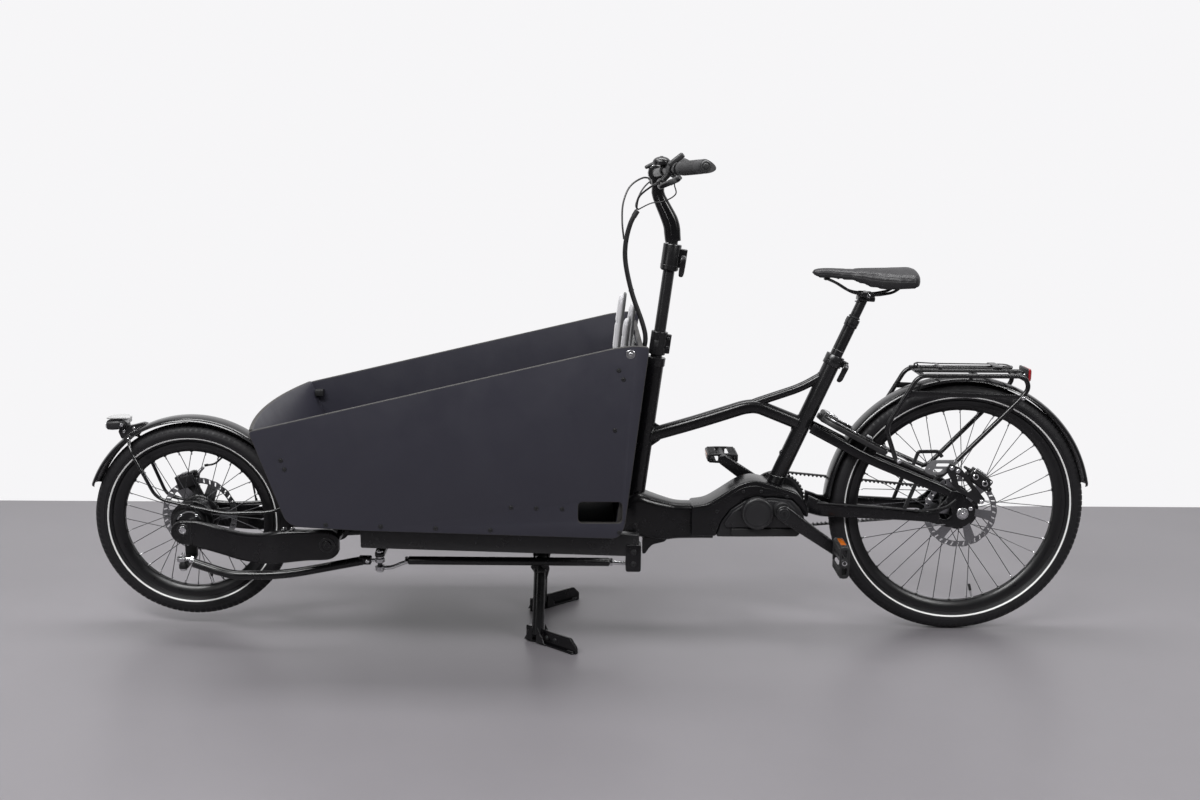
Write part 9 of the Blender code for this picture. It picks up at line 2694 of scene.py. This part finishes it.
def stand():
    """Centre stand with its two feet."""
    axis = Vector((-0.1316, 0, 0.195))
    piece = Piece("stand_dressed", "centre_stand")
    piece.add(lathe(axis, [(0.012, -0.092), (0.0152, -0.092), (0.016, -0.0912), (0.016, 0.0912),
        (0.0152, 0.092), (0.012, 0.092), (0.012, 0.085), (0.012, -0.085)], AXIS_Y, 44, closed=True), COAT)
    for side in (-1, 1):
        piece.add(lathe(axis + Vector((0, side * 0.0925, 0)),
            [(0.0132, -0.004), (0.0138, 0.0), (0.0126, 0.0016), (0.008, 0.0018)], (0, side, 0), 36), RUBBER)
        top = Vector((axis.x, side * 0.078, axis.z))
        foot = at(1.0967, 0.02, side * 0.128)
        along = (foot - top).normalized()
        length = (foot - top).length
        piece.add(lathe(top, [(0.0148, 0.0), (0.0155, 0.004), (0.0155, length - 0.0015), (0.0145, length)],
            along, 44), COAT)
        piece.add(lathe(top, [(0.015, 0.012), (0.0178, 0.0135), (0.0178, 0.019), (0.0156, 0.0225)], along,
            44, closed=True), COAT)
        gusset = round_outline([(axis.x - 0.015, 0.172), (axis.x - 0.026, 0.187), (axis.x - 0.012, 0.2),
            (axis.x + 0.019, 0.2), (axis.x + 0.025, 0.183), (axis.x + 0.017, 0.152),
            (axis.x + 0.003, 0.148)], 0.005, 4)
        piece.add(plate([gusset], side * 0.0795 - 0.0022, side * 0.0795 + 0.0022, side_view, 0.0008), COAT)
        back, front = at(0.995, 0, side * 0.215), at(1.125, 0, side * 0.1)
        run = back - front
        u = run.normalized()
        v = Vector((-u.y, u.x, 0))
        size = run.length
        outline = round_outline([(0.0, 0.0), (size, 0.0), (size, 0.018), (size - 0.02, 0.038),
            (0.0, 0.038)], 0.004, 4)

        def lay(a, b, level, o=front, u=u, v=v):
            return o + u * a + v * level + Vector((0, 0, b))

        piece.add(plate([outline], -0.004, 0.004, lay, 0.0009, 3), COAT)
        base = round_outline([(0.004, -0.011), (size - 0.004, -0.011), (size - 0.004, 0.011),
            (0.004, 0.011)], 0.005, 4)

        def flat(a, b, level, o=front, u=u, v=v):
            return o + u * a + v * b + Vector((0, 0, level))

        piece.add(plate([base], 0.0006, 0.005, flat, 0.0009, 3), COAT)
        hub = Vector((foot.x, foot.y, 0.0))
        reach = (hub - front).dot(u)
        for d in (-0.024, 0.026):
            rib = [(reach + d * 0.25, 0.004), (reach + d * 1.5, 0.004), (reach + d * 0.4, 0.046)]
            piece.add(plate([rib], -0.0165, -0.014, lay, 0.0006), COAT)
            piece.add(plate([rib], 0.014, 0.0165, lay, 0.0006), COAT)
        for d in (-0.03, 0.034, 0.062):
            spot = lay(min(max(reach + d, 0.01), size - 0.026), 0.02, 0.0042 * (-1 if side < 0 else 1))
            piece.add(bolt(spot, v * (-1 if side < 0 else 1), 0.0046, 0.0034, 6, 0.0064), DARK)
        for a in (0.006, size - 0.028):
            piece.add(plate([round_outline([(a, 0.0), (a + 0.02, 0.0), (a + 0.02, 0.007), (a, 0.007)],
                0.002, 3)], -0.0062, 0.0062, lay, 0.0012, 3), RUBBER)
    for side in (-1, 1):
        anchor = axis + Vector((0.004, side * 0.05, -0.0158))
        piece.add(lathe(anchor, [(0.0046, 0.004), (0.0046, -0.01), (0.007, -0.0104), (0.007, -0.013),
            (0.005, -0.0138)], AXIS_Z, 24), STEEL)
    piece.done("stand", slot="frame_black")


# Name, place across, top, length and how far ahead of its strap each shoulder pad stands
PADS = (("harness_pad_1", -0.205, 0.912, 0.2, 0.034), ("harness_pad_2", -0.105, 0.842, 0.13, 0.01),
    ("harness_pad_3", 0.105, 0.856, 0.15, -0.008), ("harness_pad_4", 0.205, 0.812, 0.11, -0.011))


def harness():
    """Web strap and the four shoulder pads."""
    strap_z = 0.756
    lean = Matrix.Rotation(STEER_TILT, 3, "Y")
    web = Piece("harness_strap", "frame")
    x = rear_face(strap_z, -0.0143)
    run = []
    for i in range(61):
        y = -0.25 + 0.5 * i / 60
        wave = 0.0006 * math.sin(y * 41) - 0.0007
        run.append(Vector((x + wave, y, strap_z + 0.0016 * math.sin(y * 23))))
    side = lean @ Vector((0, 0, 1))
    rings = [[p + Vector((b, 0, 0)) + side * a for a, b in rounded(0.038, 0.0022, 0.45, 3)] for p in run]
    web.add(skin(rings), WEB)
    for _, y, _, _, ahead in PADS:
        web.add(block(Vector((x - 0.0026, y, strap_z)), (0.0034, 0.034, 0.052), lean, 0.0014, 3), WEB)
        reach = 0.02 + ahead
        web.add(block(Vector((x - reach / 2, y, strap_z + 0.012)), (reach, 0.03, 0.0022), lean, 0.0008, 2),
            WEB)
        web.add(block(Vector((x - 0.0046, y, strap_z - 0.029)), (0.0042, 0.03, 0.016), lean, 0.0015, 3),
            PLASTIC)
    web.add(bolt(Vector((x - 0.002, -0.244, strap_z)), (-1, 0, 0), 0.005, 0.0024, 6, 0.009), BRIGHT)
    web.add(bolt(Vector((x - 0.002, 0.244, strap_z)), (-1, 0, 0), 0.005, 0.0024, 6, 0.009), BRIGHT)
    web.done("harness_pads", slot="pad")
    for name, y, top, length, ahead in PADS:
        soft_pad(name, y, top, length, ahead)


def soft_pad(name, y, top, length, ahead):
    """Shoulder pad: a foam sleeve that swells between its bound edges."""
    steps = 30
    middle = []
    rings = []
    for i in range(steps + 1):
        share = i / steps
        z = top - length * share
        round_end = math.sqrt(max(0.0, 1 - max(0.0, 1 - min(share, 1 - share) * length / 0.026) ** 2))
        wide = 0.0235 * (0.34 + 0.66 * round_end) * (1 + 0.05 * math.cos(math.tau * (share - 0.35)))
        thick = 0.0092 * (0.5 + 0.5 * round_end)
        centre = Vector((rear_face(z, -0.029) - ahead - 0.006 * (1 - share) - 0.0015
            * math.sin(math.pi * share), y, z))
        middle.append((centre, wide, thick))
        rings.append([centre + Vector((b, a, 0)) for a, b in ((wide * math.cos(t)
            * (abs(math.cos(t)) ** -0.35 if abs(math.cos(t)) > 0.02 else 1), thick * math.sin(t))
            for t in (math.tau * k / 28 for k in range(28)))])
    item = soft_start(name, skin(rings))

    def held(co):
        share = min(max((top - co.z) / length, 0.0), 1.0)
        _, wide, _ = middle[round(share * steps)]
        return 1.0 if abs(co.y - y) > wide * 0.93 else 0.0

    stuffed(item, 0.0042, 2.0, 0.004, 18, held)
    relax(item, 5)
    divide(item)
    for vert in item.data.vertices:
        share = min(max((top - vert.co.z) / length, 0.0), 1.0)
        centre, wide, thick = middle[round(share * steps)]
        across = (vert.co.y - y) / max(wide, 0.004)
        depth = vert.co.x - centre.x
        groove = math.exp(-((abs(across) - 0.8) / 0.055) ** 2)
        vert.co.x -= math.copysign(min(abs(depth), 0.0016 * groove), depth)
        for cross in (0.34, 0.66):
            line = math.exp(-(((share - cross) * length) / 0.003) ** 2) * max(0.0, 1 - abs(across) ** 3)
            vert.co.x -= math.copysign(min(abs(depth), 0.002 * line), depth)
    item.data.materials.append(PAD)
    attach(item, "frame")
    trim = Piece(name + "_binding", "frame")
    left = [c + Vector((0.006, w * 0.99, 0)) for c, w, _ in middle]
    right = [c + Vector((0.006, -w * 0.99, 0)) for c, w, _ in middle]
    edge = left + right[::-1]
    trim.add(sweep(edge, ring_circle(0.0034, 14), (1, 0, 0), True), PAD_EDGE)
    trim.done(slot="pad")


def main():
    """Build every piece."""
    build_stage()
    wheels()
    box()
    frame_parts()
    drive()
    front_end()
    cockpit()
    rear_end()
    seat_parts()
    stand()
    harness()
    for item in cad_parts.values():
        if not item.hide_render:
            item.data.shade_smooth()
            item.data.set_sharp_from_angle(angle=math.radians(35))
            item.data.materials.clear()
            item.data.materials.append(COAT)


main()
